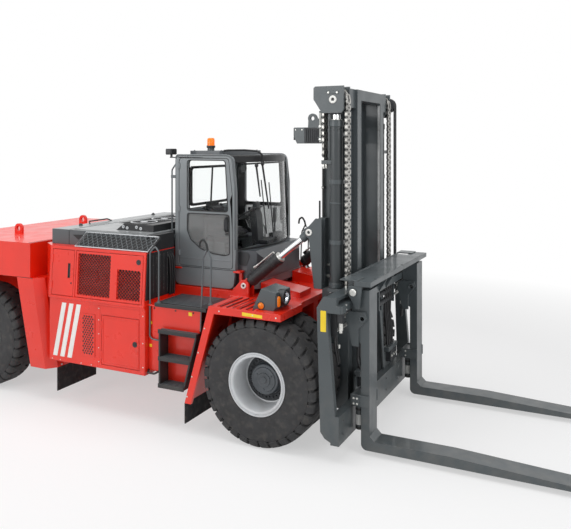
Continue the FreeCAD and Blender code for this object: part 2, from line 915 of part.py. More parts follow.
def hinge_pins(name, x, face, low, high, radius):
    """Two hinge pins along a door's outer edge; face gives how far out the door is at a height."""
    lean = math.degrees(math.atan2((face(low) - face(high)).number, (high - low).number))
    pins = []
    for place_name, start in (("low", low + S.hinge_inset),
                              ("high", high - S.hinge_inset - S.hinge_length)):
        pin = disc(f"{name}_{place_name}", "Z", radius, (Size.of(0), S.hinge_length), 0, 0)
        pin.Placement.Rotation = Rotation(Vector(1, 0, 0), -lean)
        place(pin, x, -face(start), start)
        pins.append(pin)
    return fuse(name, *pins)


def lower_face(height):
    return S.cabinet_outer - S.ledge_step


def cab_face(height):
    return S.cab_half


def leaning_panel(name, rear, front, thick, inset):
    """A panel of the upper cabinet between two places along the truck."""
    def outline(low, high):
        return [
            (-(cabinet_face(low) - inset), low),
            (-(cabinet_face(high) - inset), high),
            (-(cabinet_face(high) - inset - thick), high),
            (-(cabinet_face(low) - inset - thick), low),
        ]
    return plate(name, "YZ", outline(UPPER_BOTTOM, UPPER_TOP), (ax(rear), ax(front)))


def window_hole(name, rear, front, low, high):
    return box(name, (ax(rear), ax(front)),
               sides((S.cabinet_outer - S.cabinet_lean - S.cabinet_wall * 2,
                      S.cabinet_outer + S.cabinet_wall)), (low, high))


def mesh_door():
    """The wide upper door: a frame with two windows of steel mesh."""
    panel = leaning_panel("mesh_door_panel", MESH_REAR, MESH_FRONT, S.cabinet_wall, 0)
    low = UPPER_BOTTOM + S.window_frame
    high = UPPER_TOP - S.window_frame
    big = window_hole("big_window", MESH_REAR + S.window_frame, S.big_window_front, low, high)
    small = window_hole("small_window", S.small_window_rear, MESH_FRONT - S.window_frame,
                        low, S.small_window_top)
    mesh = leaning_panel("mesh_sheet", MESH_REAR + S.door_gap, MESH_FRONT - S.door_gap,
                         S.mesh_thick, S.cabinet_wall / 2)
    pins = cabinet_hinges("mesh_door_relief", S.hinge_radius + S.running_gap)[1]
    frame = cut("mesh_door_frame", panel, big, small)
    return cut("mesh_door", fuse("mesh_door_solid", frame, mesh), pins)


def plain_door():
    panel = leaning_panel("plain_door_panel", PLAIN_REAR, S.plain_door_front, S.cabinet_wall, 0)
    slot = box("handle_slot", (ax(S.plain_door_front) - S.handle_inset - S.handle_width,
                               ax(S.plain_door_front) - S.handle_inset),
               sides((S.cabinet_outer - S.cabinet_lean - S.handle_depth / 2,
                      S.cabinet_outer + S.cabinet_wall)),
               (S.handle_low, S.handle_low + S.handle_height))
    pins = cabinet_hinges("plain_door_relief", S.hinge_radius + S.running_gap)[0]
    return cut("plain_door", panel, slot, pins)


def access_door():
    low_face = S.cabinet_outer - S.ledge_step
    panel = box("access_panel", (ax(S.access_rear), ax(S.access_front)),
                sides((low_face - S.cabinet_wall, low_face)), (S.access_bottom, S.access_top))
    pins = cabinet_hinges("access_door_relief", S.hinge_radius + S.running_gap)[2]
    return cut("access_door", panel, pins)


def cabinet_side(side, turn):
    """One side's cabinet and its three doors; turn mirrors the right side's pieces."""
    sub_part(turn("cabinet_" + side, cabinet()), "cabinet_" + side)
    sub_part(turn("mesh_door_" + side, mesh_door()), "mesh_door_" + side)
    sub_part(turn("plain_door_" + side, plain_door()), "plain_door_" + side)
    sub_part(turn("access_door_" + side, access_door()), "access_door_" + side)


def hood():
    """The cover over the battery: a shallow lid that is open below."""
    span_x = (ax(S.hood_rear), ax(S.hood_front))
    outside = box("hood_outside", span_x, (-S.hood_half, S.hood_half), (S.body_top, S.hood_top))
    inside = box("hood_inside", (span_x[0] + S.hood_wall, span_x[1] - S.hood_wall),
                 (-(S.hood_half - S.hood_wall), S.hood_half - S.hood_wall),
                 (S.body_top, S.hood_top - S.hood_wall))
    return sub_part(cut("hood_shell", outside, inside), "hood")


def cooler():
    top = S.hood_top + S.cooler_height
    block = plate("cooler_block", "XZ", [
        (ax(S.cooler_rear), S.hood_top),
        (ax(S.cooler_front), S.hood_top),
        (ax(S.cooler_front), top),
        (ax(S.cooler_rear) + S.cooler_slant, top),
    ], (-S.cooler_half, S.cooler_half))
    return sub_part(block, "cooler")


def mesh_guards():
    """Sloping mesh screens from the cabinets' top up to the hood's edge."""
    guard = plate("guard", "YZ", [
        (-S.guard_foot, S.body_top),
        (-S.hood_half, S.guard_top),
        (-S.hood_half, S.guard_top - S.guard_thick * 1.4),
        (-(S.guard_foot - S.guard_thick * 1.4), S.body_top),
    ], (ax(S.guard_rear), ax(S.guard_front)))
    return sub_part(both("guards", guard), "mesh_guards")


def power_pack():
    """The battery and the drive motor, as plain heavy blocks inside the frame."""
    floor = S.frame_bottom + S.frame_plate
    battery = box("battery", (ax(S.pack_rear), ax(S.pack_front)), (-S.pack_half, S.pack_half),
                  (floor, S.pack_top))
    motor = box("motor", (ax(S.motor_rear), ax(S.motor_front)), (-S.pack_half, S.pack_half),
                (floor, S.motor_top))
    return sub_part(group("blocks", battery, motor), "power_pack")


def fender():
    """A folded sheet over the drive wheels with a deep lip along its outer edge."""
    foot = ax(S.fender_foot_x)
    corner = ax(S.fender_corner)
    front = ax(S.fender_front)
    lip = plate("fender_lip_plate", "XZ", [
        (foot, S.fender_foot_z),
        (corner, S.deck_top),
        (front, S.deck_top),
        (front, S.deck_top - S.fender_lip),
        (corner + S.fender_leg * 0.8, S.deck_top - S.fender_lip),
        (foot + S.fender_leg, S.fender_foot_z),
    ], sides((S.fender_outer - S.fender_lip_thick, S.fender_outer)))
    sheet_metal = plate("fender_sheet_metal", "XZ", [
        (foot, S.fender_foot_z),
        (corner, S.deck_top),
        (front, S.deck_top),
        (front, S.deck_top - S.fender_sheet),
        (corner + S.fender_sheet * 0.7, S.deck_top - S.fender_sheet),
        (foot + S.fender_sheet, S.fender_foot_z),
    ], sides((S.deck_half, S.fender_outer)))
    edge = box("fender_edge", (front - S.fender_sheet, front), sides((S.deck_half, S.fender_outer)),
               (S.deck_top - S.fender_lip, S.deck_top))
    ribs = []
    pitch = -S.fender_corner / RIBS
    for index in range(RIBS):
        start = corner + pitch * (index + RIB_PHASE)
        ribs.append(box(f"fender_rib_{index}", (start, start + S.rib_width),
                        sides((S.deck_half + S.rib_width, S.fender_outer - S.rib_width)),
                        (S.deck_top, S.deck_top + S.rib_height)))
    return fuse("fender", lip, sheet_metal, edge, *ribs)


def fender_side(side, turn):
    sub_part(turn("fender_" + side, fender()), "fender_" + side)


def step_front_at(height):
    """Where the steps end at a height: just behind the fender's sloping leg."""
    slope = (S.fender_corner - S.fender_foot_x) / (S.deck_top - S.fender_foot_z)
    return ax(S.fender_foot_x) + (height - S.fender_foot_z) * slope - S.step_gap


def steps():
    """A ladder box with three treads below a platform, on each side."""
    inner = S.step_outer - S.step_depth
    top = S.step_bottom + S.step_rise * 2
    side_height = S.platform_top - S.platform_thick
    across = sides((inner, S.step_outer - S.step_side * 2))
    rear = ax(S.step_rear)
    parts = [
        box("step_side_rear", (rear, rear + S.step_side), across, (S.step_bottom, side_height)),
        plate("step_side_front", "XZ", [
            (step_front_at(S.step_bottom) - S.step_side, S.step_bottom),
            (step_front_at(S.step_bottom), S.step_bottom),
            (step_front_at(side_height), side_height),
            (step_front_at(side_height) - S.step_side, side_height),
        ], across),
        plate("step_panel", "XZ", [
            (rear, S.step_bottom),
            (step_front_at(S.step_bottom), S.step_bottom),
            (step_front_at(side_height), side_height),
            (rear, side_height),
        ], sides((inner, inner + S.step_side))),
    ]
    for index in range(STEPS):
        height = S.step_bottom + S.step_rise * index
        parts.append(box(f"tread_{index}", (rear, step_front_at(height)),
                         sides((inner, S.step_outer)), (height, height + S.tread_thick)))
    parts.append(box("step_back", (rear, step_front_at(top)),
                     sides((S.plinth_half, inner + S.step_side)), (top, top + S.tread_thick)))
    parts.append(box("platform", (ax(S.platform_rear), ax(S.platform_front)),
                     sides((S.plinth_half, S.platform_outer)), (side_height, S.platform_top)))
    return sub_part(both("step_sets", fuse("step_set", *parts)), "steps")


def handrails():
    """Narrow loops of tube either side of the ladder, and a long grab tube behind the cab."""
    rails = []
    for name, a, b, top, foot_a, foot_b in (
            ("rear", S.rear_rail_a, S.rear_rail_b, S.rear_rail_top, S.platform_top, S.platform_top),
            ("front", S.front_rail_a, S.front_rail_b, S.front_rail_top, S.platform_top, S.deck_top)):
        rails.append(bent_tube("rail_" + name, S.rail_radius, [
            (ax(a), -S.rail_side, foot_a),
            (ax(a), -S.rail_side, top),
            (ax(b), -S.rail_side, top),
            (ax(b), -S.rail_side, foot_b),
        ], (b - a) * RAIL_BEND))
    stand = ax(S.cab_rear) - S.grab_stand
    rails.append(bent_tube("grab_tube", S.grab_radius, [
        (ax(S.cab_rear), -S.grab_side, S.grab_low),
        (stand, -S.grab_side, S.grab_low),
        (stand, -S.grab_side, S.grab_high),
        (ax(S.cab_rear), -S.grab_side, S.grab_high),
    ], S.grab_bend))
    return sub_part(both("rails", group("rail_pair", *rails)), "handrails")


def mudflaps():
    """Rubber flaps behind the drive wheels and behind the steered wheels' posts."""
    front_x = ax(S.fender_foot_x) + S.flap_thick
    front = box("flap_front", (front_x - S.flap_thick, front_x),
                sides((S.fender_outer - S.flap_half * 2, S.fender_outer)),
                (S.flap_foot, S.fender_foot_z))
    rear_x = ax(S.column_foot_front) + S.column_chamfer
    rear = box("flap_rear", (rear_x - S.flap_thick, rear_x),
               sides((S.flap_inner, S.weight_half - S.column_chamfer_side)),
               (S.flap_foot, S.column_foot))
    return sub_part(both("flaps", group("flap_pair", front, rear)), "mudflaps")


def lamp_pods():
    """Headlamp boxes on the fenders, the beacon's base and the work lamp on the cab."""
    pod = plate("pod", "XZ", [
        (ax(S.pod_rear), S.deck_top),
        (ax(S.pod_front), S.deck_top),
        (ax(S.pod_front), S.pod_top),
        (ax(S.pod_rear) + S.pod_slope, S.pod_top),
    ], sides((S.pod_inner, S.pod_outer)))
    base = disc("beacon_base", "Z", S.beacon_radius, (S.cab_top, S.cab_top + S.beacon_base),
                ax(S.beacon_x), S.beacon_y)
    lamp = box("work_lamp_box", (ax(S.cab_rear) - S.work_lamp, ax(S.cab_rear)),
               (-S.cab_half, -S.cab_half + S.work_lamp),
               (S.cab_eave_z - S.work_lamp * 1.2, S.cab_eave_z - S.work_lamp * 0.2))
    return sub_part(group("lamp_bodies", both("pods", pod), base, lamp), "lamp_pods")


def lamp_lenses():
    """Clear lenses on the front of the lamp pods."""
    middle = (S.pod_inner + S.pod_outer) / 2
    span = (ax(S.pod_front), ax(S.pod_front) + S.lens_proud)
    height = (S.deck_top + S.pod_top) / 2
    lamp = disc("head_lens", "X", S.lens_radius, span, -(middle - S.lens_radius * 1.3), height)
    return sub_part(both("lenses", lamp), "lamp_lenses")


# ------------------------------------------------------------------------------------------
# Cab
# ------------------------------------------------------------------------------------------
def bowed_slab(name, low, high, half, bulge, thick):
    """A panel between two heights, bowed forwards in plan; low and high are (x, z).

    With no thickness it is solid back to the straight line between its two edges.
    """
    def outline(x, z):
        edge = [Vector(x.number, side * half.number, z.number) for side in (-1, 1)]
        crown = Vector(x.number + bulge.number, 0, z.number)
        front = Part.Arc(edge[0], crown, edge[1]).toShape()
        if thick is None:
            return Part.Wire([front, Part.makeLine(edge[1], edge[0])])
        step = Vector(thick.number, 0, 0)
        back = Part.Arc(edge[1] - step, crown - step, edge[0] - step).toShape()
        sides_of = [Part.makeLine(edge[1], edge[1] - step), Part.makeLine(edge[0] - step, edge[0])]
        return Part.Wire([front, sides_of[0], back, sides_of[1]])

    panel = doc.addObject("Part::Feature", name)
    panel.Shape = Part.makeLoft([outline(*low), outline(*high)], True, True)
    return panel


def cab_outline(inset, floor, roof):
    """The cab's side outline, drawn in by a wall's thickness."""
    rear = ax(S.cab_rear) + inset
    return [
        (rear, floor),
        (ax(S.cab_front) - inset, floor),
        (ax(S.cab_belt_x) - inset, S.cab_belt_z),
        (ax(S.cab_eave_x) - inset, S.cab_eave_z - inset),
        (ax(S.cab_roof_front) - inset, roof),
        (ax(S.cab_roof_rear) + inset, roof),
        (rear, S.cab_eave_z - inset),
    ]


def door_outline(gap):
    """The cab door's side outline, grown by a gap for its opening."""
    return [
        (ax(S.door_rear) - gap, S.door_bottom - gap),
        (ax(S.door_front_low) + gap, S.door_bottom - gap),
        (ax(S.door_front_high) + gap, S.door_top + gap),
        (ax(S.door_rear) - gap, S.door_top + gap),
    ]


def door_front_at(height):
    """The place of the door's sloping front edge at a height."""
    share = (height - S.door_bottom) / (S.door_top - S.door_bottom)
    return ax(S.door_front_low) + (S.door_front_high - S.door_front_low) * share


def screen_plane_at(height):
    """The place of the cab's front plane, under the windscreen, at a height."""
    share = (height - S.cab_belt_z) / (S.cab_eave_z - S.cab_belt_z)
    return ax(S.cab_belt_x) + (S.cab_eave_x - S.cab_belt_x) * share


def cab_front_at(height):
    """The place of the cab's front plane, behind the nose, at a height."""
    share = (height - S.cab_base) / (S.cab_belt_z - S.cab_base)
    return ax(S.cab_front) + (S.cab_belt_x - S.cab_front) * share


def cab_shell():
    whole = plate("cab_outside", "XZ", cab_outline(Size.of(0), S.cab_base, S.cab_top),
                  (-S.cab_half, S.cab_half))
    room = plate("cab_inside", "XZ",
                 cab_outline(S.cab_wall, S.cab_floor, S.cab_top - S.cab_roof),
                 (-(S.cab_half - S.cab_wall), S.cab_half - S.cab_wall))
    doors = plate("cab_door_openings", "XZ", door_outline(S.door_gap),
                  (-(S.cab_half + S.cab_wall), S.cab_half + S.cab_wall))
    screen = box("screen_opening", (ax(S.cab_eave_x) - S.cab_wall * 2, ax(S.cab_belt_x) + S.cab_wall),
                 (-S.screen_half, S.screen_half), (S.cab_belt_z + S.cab_wall, S.screen_top))
    rear = box("rear_opening", (ax(S.cab_rear) - S.cab_wall, ax(S.cab_rear) + S.cab_wall * 2),
               (-S.rear_window_half, S.rear_window_half),
               (S.rear_window_bottom, S.rear_window_top))
    shell = cut("cab_walls", whole, room, doors, screen, rear)
    base = box("nose_plinth", (ax(S.cab_front) - S.cab_wall, ax(S.nose_front) - S.door_gap),
               (-(S.nose_half - S.door_gap), S.nose_half - S.door_gap), (S.cab_base, S.nose_split))
    skirt = box("cab_skirt", (ax(S.cab_rear) + S.cab_wall, ax(S.nose_front) - S.cab_wall),
                (-(S.nose_half - S.cab_wall), S.nose_half - S.cab_wall), (S.plinth_top, S.cab_base))
    brow = bowed_slab("cab_brow", (ax(S.cab_eave_x), S.cab_eave_z - S.cab_wall),
                      (ax(S.cab_roof_front), S.cab_top - S.door_gap),
                      S.cab_half - S.cab_wall, S.glass_bulge, None)
    pins = joined_both("cab_hinges", cab_hinge("cab_hinge", S.hinge_radius))
    return sub_part(fuse("cab_body", shell, brow, base, skirt, pins), "cab_shell")


def cab_hinge(name, radius):
    return hinge_pins(name, ax(S.door_rear), cab_face, S.door_bottom, S.door_top, radius)


def cab_glass():
    """The bowed windscreen and the rear window."""
    foot_z = S.cab_belt_z + S.screen_lift
    head_z = S.cab_eave_z - S.cab_wall
    foot = (screen_plane_at(foot_z) + S.glass_thick, foot_z)
    head = (screen_plane_at(head_z) + S.glass_thick, head_z)
    screen = bowed_slab("screen", foot, head, S.cab_half - S.cab_wall, S.glass_bulge,
                        S.glass_thick)
    rear = box("rear_pane", (ax(S.cab_rear) + S.cab_wall / 2,
                             ax(S.cab_rear) + S.cab_wall / 2 + S.glass_thick),
               (-S.rear_window_half, S.rear_window_half),
               (S.rear_window_bottom, S.rear_window_top))
    return sub_part(group("panes", screen, rear), "cab_glass")


def cab_nose():
    """The footwell's bowed housing below the windscreen, above a straight base."""
    block = plate("nose_block", "XZ", [
        (cab_front_at(S.nose_split), S.nose_split),
        (ax(S.nose_front), S.nose_split),
        (ax(S.nose_front), S.nose_top - S.nose_slope),
        (ax(S.nose_front) - S.nose_slope * 0.6, S.nose_top),
        (ax(S.cab_belt_x), S.nose_top),
        (ax(S.cab_belt_x), S.cab_belt_z),
    ], (-S.nose_half, S.nose_half))
    corners = []
    for name, side in (("right", -1), ("left", 1)):
        edge = S.nose_half * side
        inner = (S.nose_half - S.nose_round) * side
        corners.append(plate("nose_corner_" + name, "XY", [
            (ax(S.nose_front) + 1, inner),
            (ax(S.nose_front) + 1, edge + side),
            (ax(S.nose_front) - S.nose_round, edge + side),
            (ax(S.nose_front) - S.nose_round, edge),
            (ax(S.nose_front) - S.nose_round * 0.3, edge - S.nose_round * side * 0.3),
        ], (S.nose_split - 1, S.nose_top + 1)))
    rounded = cut("nose_rounded", block, *corners)
    return sub_part(rounded, "cab_nose")


def cab_door():
    """The door's frame: one leaf with an upper and a lower window."""
    leaf = plate("door_leaf", "XZ", door_outline(Size.of(0)),
                 sides((S.cab_half - S.cab_wall, S.cab_half)))
    reach = sides((S.cab_half - S.cab_wall * 2, S.cab_half + S.cab_wall))
    rear = ax(S.door_rear) + S.door_frame
    top = S.door_top - S.door_frame
    upper = plate("door_upper_window", "XZ", [
        (rear, S.door_rail_high),
        (door_front_at(S.door_rail_high) - S.door_frame, S.door_rail_high),
        (door_front_at(top) - S.door_frame, top),
        (rear, top),
    ], reach)
    sill = S.door_bottom + S.door_sill
    lower = plate("door_lower_window", "XZ", [
        (rear + S.door_sill, sill),
        (door_front_at(sill) - S.door_frame, sill),
        (door_front_at(S.door_rail_low) - S.door_frame, S.door_rail_low),
        (rear, S.door_rail_low),
        (rear, sill + S.door_sill),
    ], reach)
    pins = cab_hinge("cab_door_relief", S.hinge_radius + S.running_gap)
    return cut("door_frame_leaf", leaf, upper, lower, pins)


def cab_door_glass():
    """The door's two panes, set in the middle of the leaf."""
    middle = S.cab_half - S.cab_wall / 2
    span = sides((middle - S.glass_thick / 2, middle + S.glass_thick / 2))
    rear = ax(S.door_rear) + S.door_frame
    top = S.door_top - S.door_frame
    upper = plate("door_upper_pane", "XZ", [
        (rear, S.door_rail_high),
        (door_front_at(S.door_rail_high) - S.door_frame, S.door_rail_high),
        (door_front_at(top) - S.door_frame, top),
        (rear, top),
    ], span)
    sill = S.door_bottom + S.door_sill
    lower = plate("door_lower_pane", "XZ", [
        (rear + S.door_sill, sill),
        (door_front_at(sill) - S.door_frame, sill),
        (door_front_at(S.door_rail_low) - S.door_frame, S.door_rail_low),
        (rear, S.door_rail_low),
        (rear, sill + S.door_sill),
    ], span)
    return group("door_panes", upper, lower)


def cab_door_side(side, turn):
    sub_part(turn("cab_door_" + side, cab_door()), "cab_door_" + side)
    sub_part(turn("cab_door_glass_" + side, cab_door_glass()), "cab_door_glass_" + side)


def seat():
    """The driver's seat: a padded cushion and back on a column."""
    x = ax(S.seat_x)
    cushion = box("seat_cushion_block", (x - S.seat_depth / 2, x + S.seat_depth / 2),
                  (-S.seat_half, S.seat_half), (S.seat_top - S.seat_cushion, S.seat_top))
    back = plate("seat_back_block", "XZ", [
        (x - S.seat_depth / 2, S.seat_top - S.seat_cushion),
        (x - S.seat_depth / 2 + S.seat_cushion, S.seat_top - S.seat_cushion),
        (x - S.seat_depth / 2 + S.seat_cushion - S.seat_rake, S.seat_back_top),
        (x - S.seat_depth / 2 - S.seat_rake, S.seat_back_top),
    ], (-S.seat_half, S.seat_half))
    column = box("seat_column", (x - S.seat_cushion, x + S.seat_cushion),
                 (-S.seat_cushion, S.seat_cushion), (S.cab_floor, S.seat_top - S.seat_cushion))
    return sub_part(fuse("seat_body", cushion, back, column), "seat")


def console():
    """The steering console with its column and wheel, ahead of the seat."""
    stand = box("console_stand", (ax(S.console_rear), ax(S.console_front)),
                (-S.console_half, S.console_half), (S.cab_floor, S.console_top))
    stem = disc("steering_stem", "Z", S.steering_rim * 1.6,
                (S.steering_z - S.stem_drop, S.steering_z), ax(S.console_rear) - S.stem_drop / 2, 0)
    arm = box("steering_arm", (ax(S.console_rear) - S.stem_drop / 2 - S.steering_rim, ax(S.console_rear)),
              (-S.steering_rim * 2, S.steering_rim * 2), (S.steering_z - S.stem_drop, S.console_top))
    spoke = box("steering_spoke", (ax(S.console_rear) - S.stem_drop / 2 - S.steering_rim,
                                   ax(S.console_rear) - S.stem_drop / 2 + S.steering_rim),
                (-S.steering_radius, S.steering_radius), (S.steering_z - S.steering_rim / 2,
                                                    S.steering_z + S.steering_rim / 2))
    rim = doc.addObject("Part::Torus", "steering_rim")
    bind(rim, "Radius1", S.steering_radius)
    bind(rim, "Radius2", S.steering_rim)
    place(rim, ax(S.console_rear) - S.stem_drop / 2, 0, S.steering_z)
    return sub_part(fuse("console_body", stand, stem, arm, spoke, rim), "console")


def beacon_lens():
    foot = S.cab_top + S.beacon_base
    lens = disc("beacon_drum", "Z", S.beacon_radius * 0.93, (foot, foot + S.beacon_height),
                ax(S.beacon_x), S.beacon_y)
    return sub_part(lens, "beacon_lens")


# ------------------------------------------------------------------------------------------
# Axles and wheels
# ------------------------------------------------------------------------------------------
def drive_axle():
    tube = disc("axle_tube", "Y", S.axle_tube_radius, (-S.axle_tube_half, S.axle_tube_half),
                axle_x, S.tyre_radius)
    ball = disc("axle_ball", "Y", S.axle_ball_radius, (-S.axle_ball_half, S.axle_ball_half),
                axle_x, S.tyre_radius)
    spindle_end = S.front_half_width - S.dish_depth + S.hub_reach - S.dish_plate
    spindle = disc("axle_spindle", "Y", S.hub_bore - S.running_gap, (-spindle_end, spindle_end),
                   axle_x, S.tyre_radius)
    pad = box("axle_pad", (axle_x - S.axle_tube_radius, axle_x + S.axle_tube_radius),
              sides((S.nose_beam_inner, S.nose_beam_outer)), (S.tyre_radius, S.nose_beam_bottom))
    return sub_part(fuse("axle_body", tube, ball, spindle, joined_both("axle_pads", pad)),
                    "drive_axle")


def steer_axle():
    """The rear axle beam, hung under the spine, with an eye pair for each king pin."""
    height = S.tyre_radius
    beam = box("steer_beam", (rear_axle_x - S.steer_beam_depth / 2, rear_axle_x + S.steer_beam_depth / 2),
               (-S.steer_beam_half, S.steer_beam_half),
               (height - S.steer_beam_height / 2, height + S.steer_beam_height / 2))
    hanger = box("steer_hanger", (rear_axle_x - S.steer_beam_depth / 2,
                                  rear_axle_x + S.steer_beam_depth / 2),
                 (-S.spine_half, S.spine_half), (height, S.spine_bottom))
    cylinder = disc("steer_cylinder", "Y", S.knuckle_radius,
                    (-S.steer_beam_half / 2, S.steer_beam_half / 2),
                    rear_axle_x - S.steer_beam_depth / 2 - S.knuckle_radius / 2, height)
    ears = []
    low = height - S.knuckle_height / 2
    high = height + S.knuckle_height / 2
    for name, span in (("low", (low - S.fork_ear_height, low - S.running_gap * 3)),
                       ("high", (high + S.running_gap * 3, high + S.fork_ear_height))):
        eye = disc("king_eye_" + name, "Z", S.king_ear_radius, span, rear_axle_x, -S.king_pin_y)
        arm = box("king_arm_" + name, (rear_axle_x - S.king_ear_radius,
                                       rear_axle_x + S.king_ear_radius),
                  sides((S.steer_beam_half - S.fork_ear_height, S.king_pin_y)), span)
        bore = disc("king_bore_" + name, "Z", S.king_pin_radius + S.running_gap, span,
                    rear_axle_x, -S.king_pin_y)
        ears.append(cut("king_ear_" + name, fuse("king_ear_solid_" + name, eye, arm), bore))
    return sub_part(fuse("steer_body", beam, hanger, cylinder,
                         joined_both("king_ears_low", ears[0]),
                         joined_both("king_ears_high", ears[1])), "steer_axle")


def knuckle():
    """The steered stub axle: a king pin, its barrel and the spindle for the hub."""
    height = S.tyre_radius
    barrel = disc("knuckle_barrel", "Z", S.knuckle_barrel_radius,
                  (height - S.knuckle_height / 2, height + S.knuckle_height / 2),
                  rear_axle_x, -S.king_pin_y)
    pin = disc("king_pin", "Z", S.king_pin_radius,
               (height - S.knuckle_height / 2 - S.fork_ear_height,
                height + S.knuckle_height / 2 + S.fork_ear_height), rear_axle_x, -S.king_pin_y)
    end = S.rear_half_width - S.rear_dish_depth + S.rear_hub_reach - S.dish_plate
    spindle = disc("knuckle_spindle", "Y", S.rear_hub_bore - S.running_gap,
                   sides((S.king_pin_y, end)), rear_axle_x, height)
    return fuse("knuckle", barrel, pin, spindle)


def knuckle_side(side, turn):
    sub_part(turn("knuckle_" + side, knuckle()), "knuckle_" + side)


def tyre(name, outer_face, x):
    """One tyre: a faceted ring whose flats touch the ground, with sloping shoulders."""
    half_facet = 180 / FACETS
    flat_to_corner = 1 / math.cos(math.radians(half_facet))
    rings = []
    tread = S.tyre_radius * flat_to_corner
    wall = (S.tyre_radius - S.tyre_shoulder * 2.5) * flat_to_corner
    places = [
        (outer_face, wall),
        (outer_face - S.tyre_shoulder, tread),
        (outer_face - S.tyre_width + S.tyre_shoulder, tread),
        (outer_face - S.tyre_width, wall),
    ]
    for index, (across, radius) in enumerate(places):
        ring = doc.addObject("Part::RegularPolygon", f"{name}_ring_{index}")
        ring.Polygon = FACETS
        bind(ring, "Circumradius", radius)
        ring.Placement.Rotation = TURNS["Y"] * Rotation(Vector(0, 0, 1), half_facet)
        place(ring, x, -across, S.tyre_radius)
        rings.append(ring)
    carcass = doc.addObject("Part::Loft", name + "_carcass")
    carcass.Sections = rings
    carcass.Solid = True
    carcass.Ruled = True
    bore = disc(name + "_bore", "Y", S.bead_radius, sides((outer_face - S.tyre_width, outer_face)),
                x, S.tyre_radius)
    return cut(name, carcass, bore)


def wheel_rim(name, outer_face, width, dish, reach, length, bore, x):
    """A rim, its dished plate and the hub, turned as one piece."""
    outer = S.bead_radius
    inner = S.bead_radius - S.rim_thick
    plate_out = outer_face - dish
    plate_in = plate_out - S.dish_plate
    hub_out = plate_out + reach
    hub_in = hub_out - length
    return turned(name, [
        (-outer_face, outer),
        (-outer_face, inner),
        (-plate_out, inner),
        (-plate_out, S.hub_radius),
        (-hub_out, S.hub_radius),
        (-hub_out, S.running_gap),
        (-(hub_out - S.dish_plate + S.running_gap * 2), S.running_gap),
        (-(hub_out - S.dish_plate + S.running_gap * 2), bore),
        (-hub_in, bore),
        (-hub_in, S.hub_radius),
        (-plate_in, S.hub_radius),
        (-plate_in, inner),
        (-(outer_face - width), inner),
        (-(outer_face - width), outer),
    ], x, 0, S.tyre_radius)


def front_wheel(side, turn):
    second_face = S.front_half_width - S.tyre_width - S.twin_gap
    tyres = group("twin_" + side, tyre("outer_tyre_" + side, S.front_half_width, axle_x),
                  tyre("inner_tyre_" + side, second_face, axle_x))
    sub_part(turn("front_tyres_" + side, tyres), "front_tyres_" + side)
    rim = wheel_rim("front_rim_body_" + side, S.front_half_width,
                    S.tyre_width * 2 + S.twin_gap, S.dish_depth, S.hub_reach, S.hub_length,
                    S.hub_bore, axle_x)
    sub_part(turn("front_rim_" + side, rim), "front_rim_" + side)


def rear_wheel(side, turn):
    sub_part(turn("rear_tyre_" + side, tyre("steered_tyre_" + side, S.rear_half_width, rear_axle_x)),
             "rear_tyre_" + side)
    rim = wheel_rim("rear_rim_body_" + side, S.rear_half_width, S.tyre_width,
                    S.rear_dish_depth, S.rear_hub_reach, S.rear_hub_length, S.rear_hub_bore,
                    rear_axle_x)
    sub_part(turn("rear_rim_" + side, rim), "rear_rim_" + side)


# ------------------------------------------------------------------------------------------
# Mast, lift gear and tilt cylinders
# ------------------------------------------------------------------------------------------
def channel(name, web, flange_in, rear, front, flange, bottom, top):
    """A rolled channel upright that opens towards the middle; web is (inside, outside)."""
    return plate(name, "XY", [
        (ax(rear), -web[1]),
        (ax(front), -web[1]),
        (ax(front), -flange_in),
        (ax(front) - flange, -flange_in),
        (ax(front) - flange, -web[0]),
        (ax(rear) + flange, -web[0]),
        (ax(rear) + flange, -flange_in),
        (ax(rear), -flange_in),
    ], (bottom, top))


def outer_mast():
    """The rocking mast: two channels, cross beams, rocking lugs, tilt and lift brackets."""
    upright = channel("outer_upright", (S.outer_web_in, S.outer_web_out), S.outer_flange_in,
                      S.outer_rear, S.outer_front, S.outer_flange, S.outer_bottom, S.outer_top)
    lug_span = sides((S.nose_beam_outer + S.lug_gap, S.outer_web_in))
    lug = fuse("mast_lug_solid",
               disc("mast_lug_eye", "Y", S.mast_lug, lug_span, ax(S.mast_pivot_x), S.mast_pivot_z),
               box("mast_lug_arm", (ax(S.mast_pivot_x), ax(S.outer_rear)), lug_span,
                   (S.mast_pivot_z - S.mast_lug, S.mast_pivot_z + S.mast_lug)))
    bore = disc("mast_lug_bore", "Y", S.mast_pin + S.running_gap, lug_span,
                ax(S.mast_pivot_x), S.mast_pivot_z)
    side = fuse("outer_side", upright, cut("mast_lug", lug, bore), tilt_lug(), lift_bracket(),
                lamp_arm())
    beams = []
    for name, low in (("low", S.outer_bottom), ("middle", S.cross_middle),
                      ("high", S.outer_top - S.cross_height)):
        beams.append(box("outer_cross_" + name, (ax(S.outer_rear) - S.cross_depth, ax(S.outer_rear)),
                         (-S.outer_web_out, S.outer_web_out), (low, low + S.cross_height)))
    return sub_part(fuse("outer_mast_body", joined_both("outer_sides", side), *beams), "outer_mast")


